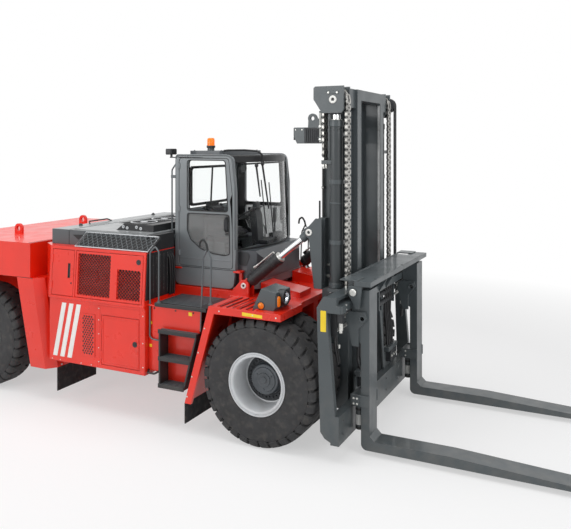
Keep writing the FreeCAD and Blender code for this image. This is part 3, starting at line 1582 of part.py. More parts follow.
def lamp_arm():
    """The arm behind the upright's top that carries a lamp, with a lifting eye on it."""
    rear = ax(S.arm_rear)
    arm = plate("lamp_arm_block", "XZ", [
        (rear + S.arm_cut, S.arm_low),
        (ax(S.outer_rear), S.arm_low),
        (ax(S.outer_rear), S.arm_high),
        (rear, S.arm_high),
        (rear, S.arm_low + S.arm_cut * 2),
    ], sides((S.outer_web_out - S.arm_width, S.outer_web_out)))
    span = sides((S.outer_web_out - S.arm_eye_thick, S.outer_web_out))
    eye_x = ax(S.arm_eye_x)
    foot = plate("arm_eye_foot", "XZ", [
        (eye_x - S.arm_eye_radius, S.arm_high),
        (ax(S.outer_rear), S.arm_high),
        (ax(S.outer_rear), S.arm_high + S.arm_eye_radius),
        (eye_x, S.arm_eye_z + S.arm_eye_radius * 0.9),
        (eye_x - S.arm_eye_radius * 0.9, S.arm_eye_z),
    ], span)
    ring = disc("arm_eye_ring", "Y", S.arm_eye_radius, span, eye_x, S.arm_eye_z)
    hole = disc("arm_eye_hole", "Y", S.arm_eye_hole, span, eye_x, S.arm_eye_z)
    return fuse("lamp_arm", arm, cut("arm_eye", fuse("arm_eye_plate", foot, ring), hole))


def tilt_lug():
    """Two cheek plates on the upright, with the pin for the tilt cylinder's rod eye."""
    inner = S.tilt_y - S.tilt_eye_half - S.tilt_ear_gap
    outer = S.tilt_y + S.tilt_eye_half + S.tilt_ear_gap
    eye_x = ax(S.tilt_eye_x)
    outline = [
        (eye_x - S.tilt_eye_radius, S.tilt_eye_z - S.tilt_eye_radius * 0.4),
        (eye_x, S.tilt_eye_z - S.tilt_eye_radius),
        (ax(S.outer_rear) - S.cheek_setback, S.tilt_plate_low),
        (ax(S.tilt_plate_front), S.tilt_plate_low),
        (ax(S.tilt_plate_front), S.tilt_plate_high),
        (ax(S.outer_rear), S.tilt_plate_high),
        (eye_x, S.tilt_eye_z + S.tilt_eye_radius),
        (eye_x - S.tilt_eye_radius, S.tilt_eye_z + S.tilt_eye_radius * 0.4),
    ]
    near = plate("tilt_cheek_outer", "XZ", outline, sides((outer, outer + S.tilt_cheek)))
    far = plate("tilt_cheek_inner", "XZ", outline, sides((inner - S.tilt_cheek, inner)))
    backing = box("tilt_backing", (ax(S.outer_rear) + S.outer_flange / 2, ax(S.tilt_plate_front)),
                  sides((S.outer_web_out, outer + S.tilt_cheek)),
                  (S.tilt_plate_low, S.tilt_plate_low + S.tilt_cheek * 2))
    filler = box("tilt_filler", (ax(S.outer_rear), ax(S.tilt_plate_front)),
                 sides((S.outer_web_out, inner)), (S.tilt_plate_low, S.tilt_plate_high))
    pin = disc("tilt_eye_pin", "Y", S.tilt_pin, sides((inner, outer)), eye_x, S.tilt_eye_z)
    return fuse("tilt_lug", near, far, backing, filler, pin)


def lift_bracket():
    """The foot and the collar that hold a lift cylinder beside the upright."""
    x_span = (ax(S.lift_x) - S.lift_radius, ax(S.lift_x) + S.lift_radius)
    span = sides((S.outer_web_out, S.lift_y + S.lift_radius))
    foot = box("lift_foot", x_span, span, (S.lift_bottom - S.tilt_cheek * 2, S.lift_bottom))
    collar = box("lift_collar", x_span, sides((S.outer_web_out, S.lift_y)),
                 (S.lift_top - S.collar_drop - S.tilt_cheek * 2, S.lift_top - S.collar_drop))
    relief = disc("lift_collar_bore", "Z", S.lift_radius,
                  (S.lift_top - S.collar_drop * 2, S.lift_top), ax(S.lift_x), -S.lift_y)
    anchor = box("chain_anchor_arm", (ax(S.chain_rear_x) - S.chain_thick, ax(S.lift_x)),
                 sides((S.outer_web_out, S.lift_y + S.chain_half)),
                 (S.chain_anchor - S.tilt_cheek * 2, S.chain_anchor))
    return fuse("lift_bracket", foot, cut("lift_collar_cut", collar, relief),
                cut("anchor_cut", anchor, disc("anchor_bore", "Z", S.lift_radius,
                                               (S.chain_anchor - S.tilt_cheek * 2, S.chain_anchor),
                                               ax(S.lift_x), -S.lift_y)))


def lift_barrels():
    """The lift cylinders' barrels, hollow for their rods."""
    barrel = disc("lift_barrel_solid", "Z", S.lift_radius, (S.lift_bottom, S.lift_top),
                  ax(S.lift_x), -S.lift_y)
    bore = disc("lift_barrel_bore", "Z", S.lift_rod_radius + S.running_gap,
                (S.lift_bottom + S.tilt_cheek, S.lift_top), ax(S.lift_x), -S.lift_y)
    return sub_part(both("lift_barrel_pair", cut("lift_barrel", barrel, bore)), "lift_barrels")


def inner_mast():
    """The rising mast: two channels, a head beam, top plates and sheave shafts."""
    upright = channel("inner_upright", (S.inner_web_in, S.inner_web_out), S.inner_flange_in,
                      S.inner_rear, S.inner_front, S.inner_flange, S.inner_bottom, S.inner_top)
    pad = box("wear_pad", (ax(S.inner_rear), ax(S.outer_front) - S.outer_flange - S.running_gap),
              sides((S.inner_web_out, S.outer_web_in - S.running_gap)),
              (S.inner_bottom + S.pad_height / 2, S.inner_bottom + S.pad_height * 1.5))
    side = fuse("inner_side", upright, pad, top_plate())
    head = box("head_beam", (ax(S.inner_rear), ax(S.inner_front)),
               (-S.inner_web_out, S.inner_web_out), (S.inner_top - S.beam_height, S.inner_top))
    foot = box("foot_beam", (ax(S.inner_rear), ax(S.inner_rear) + S.inner_flange),
               (-S.inner_flange_in, S.inner_flange_in),
               (S.inner_bottom, S.inner_bottom + S.beam_height * 2))
    return sub_part(fuse("inner_mast_body", joined_both("inner_sides", side), head, foot),
                    "inner_mast")


def top_plate():
    """The stepped cheek plates either side of the sheave, joined to the upright above it."""
    inner = S.lift_y - S.sheave_half - S.door_gap
    outer = S.lift_y + S.sheave_half + S.door_gap
    outline = [
        (ax(S.top_plate_rear), S.top_plate_low + S.top_chamfer),
        (ax(S.top_plate_rear) + S.top_notch, S.top_plate_step),
        (ax(S.top_plate_front) - S.top_toe, S.top_plate_step),
        (ax(S.top_plate_front), S.top_plate_step + S.top_toe_rise),
        (ax(S.top_plate_front), S.top_plate_top),
        (ax(S.top_plate_rear) + S.top_nick, S.top_plate_top),
        (ax(S.top_plate_rear), S.top_plate_top - S.top_nick),
    ]
    outer_cheek = plate("top_cheek_outer", "XZ", outline, sides((outer, outer + S.top_plate_thick)))
    inner_cheek = plate("top_cheek_inner", "XZ", outline, sides((inner - S.top_plate_thick, inner)))
    shaft = disc("sheave_shaft", "Y", S.tilt_pin, sides((S.inner_web_out, outer + S.top_plate_thick)),
                 ax(S.lift_x), S.sheave_z)
    link = box("head_link", (ax(S.inner_rear), ax(S.top_plate_front)),
               sides((S.inner_web_out, inner)), (S.outer_top + S.door_gap * 5, S.inner_top))
    return fuse("top_plates", outer_cheek, inner_cheek, shaft, link)


def lift_rods():
    """The lift cylinders' chromed rods, from inside the barrels up to the sheave blocks."""
    rod = disc("lift_rod", "Z", S.lift_rod_radius,
               (S.lift_top - S.lift_stroke + S.tilt_cheek, S.rod_top),
               ax(S.lift_x), -S.lift_y)
    return sub_part(both("lift_rod_pair", rod), "lift_rods")


def rod_heads():
    """Blocks on the rods' ends that carry the cheek plates, and the sheaves above them."""
    block = box("rod_head", (ax(S.lift_x) - S.lift_rod_radius, ax(S.lift_x) + S.lift_rod_radius),
                sides((S.lift_y - S.sheave_half - S.door_gap, S.lift_y + S.sheave_half + S.door_gap)),
                (S.rod_top, S.rod_top + S.rod_head))
    wheel = disc("sheave_wheel", "Y", S.sheave_radius,
                 sides((S.lift_y - S.sheave_half, S.lift_y + S.sheave_half)),
                 ax(S.lift_x), S.sheave_z)
    bore = disc("sheave_bore", "Y", S.tilt_pin,
                sides((S.lift_y - S.sheave_half, S.lift_y + S.sheave_half)),
                ax(S.lift_x), S.sheave_z)
    return sub_part(both("heads", group("head_pair", block, cut("sheave", wheel, bore))), "sheaves")


def chains():
    """Leaf chains: the front run down to the carriage, the rear run down to its anchor."""
    across = sides((S.lift_y - S.chain_half, S.lift_y + S.chain_half))
    front = box("chain_front_run", (ax(S.lift_x) + S.sheave_radius,
                                    ax(S.lift_x) + S.sheave_radius + S.chain_thick),
                across, (S.chain_foot, S.sheave_z))
    rear = box("chain_rear_run", (ax(S.chain_rear_x) - S.chain_thick, ax(S.chain_rear_x)),
               across, (S.chain_anchor, S.sheave_z))
    sub_part(both("chain_fronts", front), "chain_front")
    sub_part(both("chain_rears", rear), "chain_rear")


def along_tilt(piece, start):
    """Lays a piece built along +X on the tilt cylinder's line, a distance up from its foot."""
    rise = math.degrees(math.atan2((S.tilt_eye_z - S.tilt_foot_z).number,
                                   (S.tilt_eye_x - S.tilt_foot_x).number))
    run = math.cos(math.radians(rise))
    lift = math.sin(math.radians(rise))
    piece.Placement.Rotation = Rotation(Vector(0, 1, 0), -rise) * piece.Placement.Rotation
    place(piece, ax(S.tilt_foot_x) + start * run, -S.tilt_y, S.tilt_foot_z + start * lift)
    return piece


def tilt_barrel():
    """The cylinder's barrel with the eye that turns on the frame's pin."""
    barrel = doc.addObject("Part::Cylinder", "tilt_barrel_tube")
    bind(barrel, "Radius", S.tilt_barrel_radius)
    bind(barrel, "Height", S.tilt_barrel - S.tilt_neck)
    barrel.Placement.Rotation = TURNS["X"]
    along_tilt(barrel, S.tilt_neck)
    hollow = doc.addObject("Part::Cylinder", "tilt_barrel_hollow")
    bind(hollow, "Radius", S.tilt_rod_radius + S.running_gap * 4)
    bind(hollow, "Height", S.tilt_barrel)
    hollow.Placement.Rotation = TURNS["X"]
    along_tilt(hollow, S.tilt_eye_radius * 2)
    span = sides((S.tilt_y - S.tilt_eye_half, S.tilt_y + S.tilt_eye_half))
    eye = disc("tilt_foot_eye", "Y", S.tilt_eye_radius * 0.8, span, ax(S.tilt_foot_x), S.tilt_foot_z)
    neck = doc.addObject("Part::Box", "tilt_neck")
    bind(neck, "Length", S.tilt_neck + S.tilt_cheek)
    bind(neck, "Width", S.tilt_eye_half * 2)
    bind(neck, "Height", S.tilt_eye_radius)
    rise = math.degrees(math.atan2((S.tilt_eye_z - S.tilt_foot_z).number,
                                   (S.tilt_eye_x - S.tilt_foot_x).number))
    neck.Placement.Rotation = Rotation(Vector(0, 1, 0), -rise)
    side = math.sin(math.radians(rise)) / 2
    down = math.cos(math.radians(rise)) / 2
    place(neck, ax(S.tilt_foot_x) + S.tilt_eye_radius * side, -S.tilt_y - S.tilt_eye_half,
          S.tilt_foot_z - S.tilt_eye_radius * down)
    bore = disc("tilt_foot_bore", "Y", S.tilt_pin + S.running_gap, span,
                ax(S.tilt_foot_x), S.tilt_foot_z)
    return cut("tilt_barrel", fuse("tilt_barrel_solid", barrel, eye, neck), bore, hollow)


def tilt_rod():
    """The chromed rod and its eye, which has play on the mast's pin."""
    length = math.hypot((S.tilt_eye_z - S.tilt_foot_z).number, (S.tilt_eye_x - S.tilt_foot_x).number)
    rod = doc.addObject("Part::Cylinder", "tilt_rod_bar")
    bind(rod, "Radius", S.tilt_rod_radius)
    bind(rod, "Height", length - S.tilt_rod_start - S.tilt_eye_radius * 0.8)
    rod.Placement.Rotation = TURNS["X"]
    along_tilt(rod, S.tilt_rod_start)
    span = sides((S.tilt_y - S.tilt_eye_half, S.tilt_y + S.tilt_eye_half))
    eye = disc("tilt_rod_eye", "Y", S.tilt_eye_radius, span, ax(S.tilt_eye_x), S.tilt_eye_z)
    bore = disc("tilt_rod_bore", "Y", S.tilt_pin + S.tilt_eye_play, span,
                ax(S.tilt_eye_x), S.tilt_eye_z)
    return cut("tilt_rod", fuse("tilt_rod_solid", rod, eye), bore)


def tilt_cylinder_side(side, turn):
    sub_part(turn("tilt_barrel_" + side, tilt_barrel()), "tilt_barrel_" + side)
    sub_part(turn("tilt_rod_" + side, tilt_rod()), "tilt_rod_" + side)


# ------------------------------------------------------------------------------------------
# Carriage and forks
# ------------------------------------------------------------------------------------------
def carriage():
    """End plates, two cross beams, a shelf over the fork shaft, and the roller plates."""
    rear = ax(S.carriage_rear)
    end = plate("carriage_end", "XZ", [
        (rear, S.carriage_rear_low),
        (ax(S.carriage_foot), S.carriage_bottom),
        (ax(S.carriage_plate_front), S.lower_beam_low),
        (ax(S.carriage_plate_front), S.carriage_plate_low),
        (ax(S.carriage_waist), S.carriage_waist_z),
        (ax(S.carriage_neck), S.upper_beam_low),
        (ax(S.head_front), S.upper_beam_low),
        (ax(S.head_front), S.carriage_top),
        (rear + S.head_rear, S.carriage_top),
        (rear - S.head_back, S.carriage_top - S.head_drop),
    ], sides((S.carriage_half - S.carriage_plate, S.carriage_half)))
    deck_top = S.carriage_top - S.deck_plate_drop
    deck = box("carriage_deck", (rear + S.head_rear, ax(S.head_front)),
               sides((S.deck_plate_inner, S.carriage_half - S.carriage_plate)),
               (deck_top - S.deck_plate_thick, deck_top))
    upper = box("upper_beam", (ax(S.beam_rear), ax(S.beam_front)), (-S.carriage_half, S.carriage_half),
                (S.upper_beam_low, S.upper_beam_high))
    lower = box("lower_beam", (ax(S.beam_rear), ax(S.lower_beam_front)),
                (-S.carriage_half, S.carriage_half), (S.lower_beam_low, S.lower_beam_high))
    middle_half = S.shelf_half - S.shelf_end
    shelf = plate("shelf", "XY", [
        (ax(S.beam_rear), -middle_half),
        (ax(S.shelf_end_rear), -middle_half),
        (ax(S.shelf_end_rear), -S.shelf_half),
        (ax(S.shelf_front), -S.shelf_half),
        (ax(S.shelf_front), S.shelf_half),
        (ax(S.shelf_end_rear), S.shelf_half),
        (ax(S.shelf_end_rear), middle_half),
        (ax(S.beam_rear), middle_half),
    ], (S.shelf_low, S.shelf_high))
    riser = box("shelf_riser", (ax(S.beam_rear), ax(S.beam_rear) + S.hanger_thick),
                (-middle_half, middle_half), (S.upper_beam_high, S.shelf_low))
    plate_side = box("roller_plate", (ax(S.roller_plate_rear), ax(S.beam_rear)),
                     sides((S.inner_flange_in - S.roller_plate - S.door_gap * 2,
                            S.inner_flange_in - S.door_gap * 2)),
                     (S.carriage_bottom, S.upper_beam_high))
    rollers = []
    radius = (S.inner_front - S.inner_rear) / 2 - S.inner_flange - S.running_gap
    middle = ax((S.inner_front + S.inner_rear) / 2)
    for name, height in (("low", S.roller_low), ("high", S.roller_high)):
        rollers.append(disc("roller_" + name, "Y", radius,
                            sides((S.inner_flange_in - S.door_gap * 2,
                                   S.inner_web_in - S.running_gap * 2)), middle, height))
    lug_thick = S.hanger_thick / 2
    inner_lug = plate("shaft_lug_inner", "XZ", [
        (ax(S.beam_front), S.upper_beam_low),
        (ax(S.shaft_x) + S.shaft_radius + S.lug_wall, S.shaft_z - S.shaft_radius),
        (ax(S.shaft_x) + S.shaft_radius + S.lug_wall, S.shelf_low),
        (ax(S.beam_rear), S.shelf_low),
        (ax(S.beam_rear), S.upper_beam_low),
    ], sides((S.shaft_lug_inner, S.shaft_lug_inner + lug_thick)))
    outer_lug = plate("shaft_lug_outer", "XZ", [
        (ax(S.outer_lug_rear), S.shelf_low),
        (ax(S.outer_lug_rear), S.shaft_z - S.shaft_radius),
        (ax(S.outer_lug_foot), S.outer_lug_low),
        (ax(S.outer_lug_foot) + S.outer_lug_foot_width, S.outer_lug_low),
        (ax(S.outer_lug_front), S.shelf_low),
    ], sides((S.shaft_lug_outer, S.shaft_lug_outer + lug_thick)))
    anchor = box("chain_clevis", (ax(S.lift_x) + S.sheave_radius, ax(S.beam_rear)),
                 sides((S.lift_y - S.chain_half, S.lift_y + S.chain_half)),
                 (S.upper_beam_low, S.chain_foot))
    side = fuse("carriage_side", end, deck, plate_side, anchor, inner_lug, outer_lug, *rollers)
    hole = disc("shaft_bore", "Y", S.shaft_radius, (-S.shelf_half, S.shelf_half),
                ax(S.shaft_x), S.shaft_z)
    body = fuse("carriage_solid", joined_both("carriage_sides", side), upper, lower, shelf, riser)
    return sub_part(cut("carriage_body", body, hole), "carriage")


def fork_shaft():
    shaft = disc("fork_shaft_bar", "Y", S.shaft_radius, (-S.shelf_half, S.shelf_half),
                 ax(S.shaft_x), S.shaft_z)
    return sub_part(shaft, "fork_shaft")


def fork():
    """One fork: shank, heel and tapering blade, hung on the shaft by its hanger plate."""
    face = ax(S.fork_face)
    back = face - S.fork_thick
    inner = S.fork_side - S.fork_width / 2
    outer = S.fork_side + S.fork_width / 2
    across = sides((inner, outer))
    tip = face + S.fork_length
    blade = plate("fork_blade", "XZ", [
        (back, S.fork_bottom + S.fork_heel * 0.6),
        (back + S.fork_heel * 0.6, S.fork_bottom),
        (tip, S.fork_bottom),
        (tip, S.fork_bottom + S.fork_tip),
        (tip - S.fork_taper, S.fork_bottom + S.fork_heel),
        (face + S.fork_heel * 0.5, S.fork_bottom + S.fork_heel),
        (face, S.fork_bottom + S.fork_heel * 1.5),
        (face, S.fork_top),
        (back, S.fork_top),
    ], across)
    hanger = plate("fork_hanger", "XZ", [
        (back, S.hanger_low),
        (back, S.shaft_z + S.shaft_radius),
        (ax(S.shaft_x) - S.hanger_back, S.shaft_z + S.shaft_radius),
        (ax(S.shaft_x) - S.hanger_back, S.shaft_z - S.shaft_radius * 2),
        (ax(S.beam_front) + S.door_gap, S.shaft_z - S.shaft_radius * 3),
        (ax(S.beam_front) + S.door_gap, S.hanger_low + S.hanger_thick),
    ], across)
    hole = disc("fork_shaft_hole", "Y", S.shaft_radius + S.running_gap, across,
                ax(S.shaft_x), S.shaft_z)
    clamp = box("fork_clamp", (ax(S.lower_beam_front) + S.door_gap, back),
                across, (S.clamp_low, S.clamp_high))
    jack = disc("fork_jack", "Z", S.jack_radius, (S.jack_low, S.clamp_low),
                (ax(S.lower_beam_front) + back) / 2, -S.fork_side)
    cheek = [
        (ax(S.cheek_rear), S.cheek_pin_z - S.cheek_slope),
        (ax(S.cheek_rear), S.cheek_high - S.cheek_slope),
        (ax(S.cheek_rear) + S.cheek_slope, S.cheek_high),
        (ax(S.cheek_front) - S.cheek_slope / 2, S.cheek_high),
        (ax(S.cheek_front), S.cheek_pin_z),
        (ax(S.cheek_neck), S.cheek_pin_z - S.cheek_slope * 3),
        (ax(S.cheek_neck), S.cheek_low),
        (ax(S.cheek_neck) - S.cheek_neck_back, S.cheek_low),
    ]
    cheeks = [plate("fork_cheek_" + name, "XZ", cheek, sides(span)) for name, span in (
        ("inner", (inner - S.cheek_thick, inner)), ("outer", (outer, outer + S.cheek_thick)))]
    pin_bore = disc("fork_pin_bore", "Y", S.cheek_pin_radius,
                    sides((inner - S.cheek_thick, outer + S.cheek_thick)),
                    ax(S.cheek_pin_x), S.cheek_pin_z)
    solid = fuse("fork_solid", blade, hanger, clamp, jack, *cheeks)
    return cut("fork", solid, hole, pin_bore)


def fork_side(side, turn):
    sub_part(turn("fork_" + side, fork()), "fork_" + side)


# ------------------------------------------------------------------------------------------
# The whole truck
# ------------------------------------------------------------------------------------------
def as_built(name, piece):
    return piece


def build():
    chassis_frame()
    counterweight()
    lifting_eyes()
    rear_columns()
    hood()
    cooler()
    mesh_guards()
    power_pack()
    steps()
    handrails()
    mudflaps()
    lamp_pods()
    lamp_lenses()
    cab_shell()
    cab_glass()
    cab_nose()
    seat()
    console()
    beacon_lens()
    drive_axle()
    steer_axle()
    outer_mast()
    lift_barrels()
    inner_mast()
    lift_rods()
    rod_heads()
    chains()
    carriage()
    fork_shaft()
    for side, turn in (("right", as_built), ("left", mirror)):
        cabinet_side(side, turn)
        fender_side(side, turn)
        cab_door_side(side, turn)
        knuckle_side(side, turn)
        front_wheel(side, turn)
        rear_wheel(side, turn)
        tilt_cylinder_side(side, turn)
        fork_side(side, turn)


def check_and_write():
    doc.recompute()
    for piece in doc.Objects:
        if "Invalid" in piece.State or "Error" in piece.State:
            raise RuntimeError(f"{piece.Name} failed: {piece.State}")
    for label, piece in sub_parts.items():
        if piece.Shape.isNull() or not piece.Shape.isValid():
            raise RuntimeError(f"{label} has no valid shape")
    os.makedirs("parts", exist_ok=True)
    for label, piece in sub_parts.items():
        piece.Shape.exportStep(os.path.join("parts", label + ".step"))


build()
check_and_write()
print(f"{len(sub_parts)} sub-parts written")
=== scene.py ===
"""Heavy electric forklift truck: looks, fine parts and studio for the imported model.

Metres: +X to the forks, +Y to the truck's left, +Z up. Forms are drawn on the truck's left, with x
counted from the front axle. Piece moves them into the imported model's own frame.
"""
import math
import random
import bmesh
import bpy
from mathutils import Matrix, Vector
from mathutils.geometry import tessellate_polygon


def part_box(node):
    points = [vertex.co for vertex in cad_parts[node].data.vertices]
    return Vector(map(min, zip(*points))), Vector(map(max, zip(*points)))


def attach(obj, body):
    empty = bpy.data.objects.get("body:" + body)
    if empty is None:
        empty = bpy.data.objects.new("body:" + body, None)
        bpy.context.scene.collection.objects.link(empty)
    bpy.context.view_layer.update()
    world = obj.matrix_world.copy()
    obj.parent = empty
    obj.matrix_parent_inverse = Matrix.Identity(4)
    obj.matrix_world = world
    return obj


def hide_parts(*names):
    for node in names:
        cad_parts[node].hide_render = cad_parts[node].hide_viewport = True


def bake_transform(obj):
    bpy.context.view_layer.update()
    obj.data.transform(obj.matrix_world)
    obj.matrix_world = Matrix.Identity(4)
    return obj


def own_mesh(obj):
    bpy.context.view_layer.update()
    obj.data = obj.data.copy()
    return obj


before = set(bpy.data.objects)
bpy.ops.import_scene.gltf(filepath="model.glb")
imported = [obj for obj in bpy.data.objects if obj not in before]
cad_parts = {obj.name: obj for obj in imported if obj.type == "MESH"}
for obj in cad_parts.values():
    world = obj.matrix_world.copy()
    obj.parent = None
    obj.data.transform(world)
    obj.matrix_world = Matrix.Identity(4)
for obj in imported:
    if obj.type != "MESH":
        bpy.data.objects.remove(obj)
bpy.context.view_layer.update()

random.seed(7)
SIDES = (("right", -1), ("left", 1))
UPWARD, OUTWARD = (0, 0, 1), (0, 1, 0)
low_tyre, high_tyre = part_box("front_tyres_right")
AXLE = (low_tyre.x + high_tyre.x) / 2
WHEEL_R = high_tyre.z / 2
low_rear, high_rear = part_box("rear_tyre_right")
REAR_AXLE = (low_rear.x + high_rear.x) / 2


def X(place):
    """A place in the model from its distance ahead of the front axle."""
    return AXLE + place


# ---- Materials ----
def srgb(red, green, blue):
    """A colour from screen values 0 to 255."""
    def linear(value):
        value /= 255
        return value / 12.92 if value <= 0.04045 else ((value + 0.055) / 1.055) ** 2.4
    return (linear(red), linear(green), linear(blue), 1.0)


class Shade:
    """One node material around a Principled shader."""

    def __init__(self, name, rough=0.5, metal=0.0, **inputs):
        self.material = bpy.data.materials.new(name)
        self.material.use_nodes = True
        self.tree = self.material.node_tree
        self.bsdf = self.tree.nodes["Principled BSDF"]
        self.bsdf.inputs["Roughness"].default_value = rough
        self.bsdf.inputs["Metallic"].default_value = metal
        for key, value in inputs.items():
            self.bsdf.inputs[key.replace("_", " ")].default_value = value
        self.coords = self.tree.nodes.new("ShaderNodeTexCoord").outputs["Object"]

    def node(self, kind, inputs=None, **settings):
        node = self.tree.nodes.new("ShaderNode" + kind)
        for key, value in settings.items():
            setattr(node, key, value)
        for key, value in (inputs or {}).items():
            socket = node.inputs[key]
            if isinstance(value, bpy.types.NodeSocket):
                self.tree.links.new(value, socket)
            else:
                socket.default_value = value
        return node

    def noise(self, scale, detail=3.0, stretch=(1, 1, 1)):
        spread = self.node("Mapping", {"Vector": self.coords, "Scale": stretch})
        made = self.node("TexNoise", {"Vector": spread.outputs[0], "Scale": scale,
                                      "Detail": detail})
        return made.outputs["Fac"]

    def scaled(self, value, low, high, to_low=0.0, to_high=1.0):
        made = self.node("MapRange", {"Value": value, "From Min": low, "From Max": high,
                                      "To Min": to_low, "To Max": to_high})
        return made.outputs[0]

    def times(self, first, second, kind="MULTIPLY"):
        made = self.node("Math", operation=kind)
        for socket, value in zip(made.inputs, (first, second)):
            if isinstance(value, bpy.types.NodeSocket):
                self.tree.links.new(value, socket)
            else:
                socket.default_value = value
        return made.outputs[0]

    def blend(self, share, first, second):
        made = self.node("Mix", data_type="RGBA")
        for index, value in ((0, share), (6, first), (7, second)):
            if isinstance(value, bpy.types.NodeSocket):
                self.tree.links.new(value, made.inputs[index])
            else:
                made.inputs[index].default_value = value
        return made.outputs[2]

    def height(self):
        return self.node("SeparateXYZ", {"Vector": self.coords}).outputs["Z"]

    def edges(self, radius):
        """1 close to an outer or inner edge, 0 on the flats; also the rounded normal."""
        soft = self.node("Bevel", {"Radius": radius}, samples=4).outputs[0]
        flat = self.node("NewGeometry").outputs["Normal"]
        facing = self.node("VectorMath", {0: soft, 1: flat}, operation="DOT_PRODUCT")
        return self.scaled(facing.outputs["Value"], 0.99, 0.86), soft

    def finish(self, colour=None, rough=None, height=None, strength=0.2, depth=0.001, normal=None):
        if colour is not None:
            if isinstance(colour, bpy.types.NodeSocket):
                self.tree.links.new(colour, self.bsdf.inputs["Base Color"])
            else:
                self.bsdf.inputs["Base Color"].default_value = colour
        if rough is not None:
            self.tree.links.new(rough, self.bsdf.inputs["Roughness"])
        if height is not None:
            inputs = {"Height": height, "Strength": strength, "Distance": depth}
            if normal is not None:
                inputs["Normal"] = normal
            normal = self.node("Bump", inputs).outputs[0]
        if normal is not None:
            self.tree.links.new(normal, self.bsdf.inputs["Normal"])
        return self.material


def tone(colour, factor):
    return tuple(min(1.0, part * factor) for part in colour[:3]) + (1.0,)


DUST = srgb(150, 142, 132)


def paint(name, colour, rough=0.3, coat=0.4, dust=0.14, wear=0.35, round_to=0.008):
    """Sprayed enamel: faint mottling, orange peel, road dust low down, rubbed edges."""
    shade = Shade(name, rough=rough, Coat_Weight=coat, Coat_Roughness=0.08)
    mottle = shade.scaled(shade.noise(2.3, 4.0), 0.3, 0.7)
    body = shade.blend(mottle, tone(colour, 0.93), tone(colour, 1.05))
    edge, soft = shade.edges(round_to)
    chips = shade.scaled(shade.noise(38.0, 5.0), 0.52, 0.66)
    rubbed = shade.times(shade.times(edge, chips), wear)
    body = shade.blend(rubbed, body, tone(DUST, 0.9))
    low = shade.scaled(shade.height(), 1.1, 0.25)
    grime = shade.times(shade.times(low, shade.scaled(shade.noise(7.0, 5.0), 0.35, 0.7)), dust)
    body = shade.blend(grime, body, DUST)
    gloss = shade.scaled(shade.noise(5.0, 4.0), 0.3, 0.7, rough - 0.05, rough + 0.09)
    return shade.finish(body, gloss, shade.noise(160.0, 2.0), 0.12, 0.0006, soft)


def cast(name, colour, rough=0.62, grain=70.0):
    shade = Shade(name, rough=rough, metal=0.25)
    body = shade.blend(shade.scaled(shade.noise(6.0, 5.0), 0.35, 0.68),
                       tone(colour, 0.8), tone(colour, 1.25))
    edge, soft = shade.edges(0.006)
    body = shade.blend(shade.times(edge, 0.3), body, tone(colour, 2.2))
    gloss = shade.scaled(shade.noise(20.0), 0.3, 0.7, rough - 0.1, rough + 0.1)
    return shade.finish(body, gloss, shade.noise(grain, 4.0), 0.35, 0.002, soft)


def steel(name, colour, rough, stretch=(1, 1, 12), metal=1.0, oil=0.0):
    """Machined or drawn steel: streaks along one way, and a film of oil."""
    shade = Shade(name, rough=rough, metal=metal)
    streak = shade.noise(60.0, 3.0, stretch)
    body = shade.blend(shade.scaled(streak, 0.35, 0.65), tone(colour, 0.86), tone(colour, 1.08))
    if oil:
        film = shade.times(shade.scaled(shade.noise(9.0, 5.0), 0.4, 0.62), oil)
        body = shade.blend(film, body, (0.02, 0.017, 0.013, 1.0))
    gloss = shade.scaled(streak, 0.3, 0.7, max(0.03, rough - 0.06), rough + 0.08)
    return shade.finish(body, gloss, streak, 0.08, 0.0005)


def tyre_rubber(name, colour):
    shade = Shade(name, rough=0.78, Specular_IOR_Level=0.35)
    cloudy = shade.scaled(shade.noise(4.0, 6.0), 0.3, 0.72)
    body = shade.blend(cloudy, tone(colour, 0.82), tone(colour, 1.2))
    edge, soft = shade.edges(0.01)
    body = shade.blend(shade.times(edge, 0.35), body, tone(colour, 1.9))
    grime = shade.times(shade.scaled(shade.noise(15.0, 5.0), 0.5, 0.75), 0.22)
    body = shade.blend(grime, body, tone(DUST, 0.55))
    gloss = shade.scaled(shade.noise(12.0), 0.3, 0.7, 0.68, 0.88)
    return shade.finish(body, gloss, shade.noise(240.0, 3.0), 0.25, 0.0008, soft)


def plastic(name, colour, rough=0.5, grain=420.0, strength=0.15, wear=0.15):
    shade = Shade(name, rough=rough)
    body = shade.blend(shade.scaled(shade.noise(3.0, 3.0), 0.35, 0.65),
                       tone(colour, 0.92), tone(colour, 1.08))
    edge, soft = shade.edges(0.004)
    body = shade.blend(shade.times(edge, wear), body, tone(colour, 1.8))
    gloss = shade.scaled(shade.noise(14.0), 0.3, 0.7, rough - 0.06, rough + 0.08)
    return shade.finish(body, gloss, shade.noise(grain, 2.0), strength, 0.0005, soft)


def woven(name, colour):
    """Seat cloth: two crossing sets of threads with a soft sheen."""
    shade = Shade(name, rough=0.9, Sheen_Weight=0.35, Sheen_Roughness=0.5)
    threads = []
    for axis in ("X", "Y"):
        wave = shade.node("TexWave", {"Vector": shade.coords, "Scale": 180.0, "Distortion": 0.6,
                                      "Detail": 1.0}, bands_direction=axis)
        threads.append(wave.outputs["Fac"])
    weave = shade.times(threads[0], threads[1], "MAXIMUM")
    body = shade.blend(weave, tone(colour, 0.7), tone(colour, 1.5))
    body = shade.blend(shade.times(shade.noise(9.0, 4.0), 0.25), body, tone(colour, 2.0))
    gloss = shade.scaled(shade.noise(30.0), 0.3, 0.7, 0.82, 0.96)
    return shade.finish(body, gloss, weave, 0.5, 0.0008)


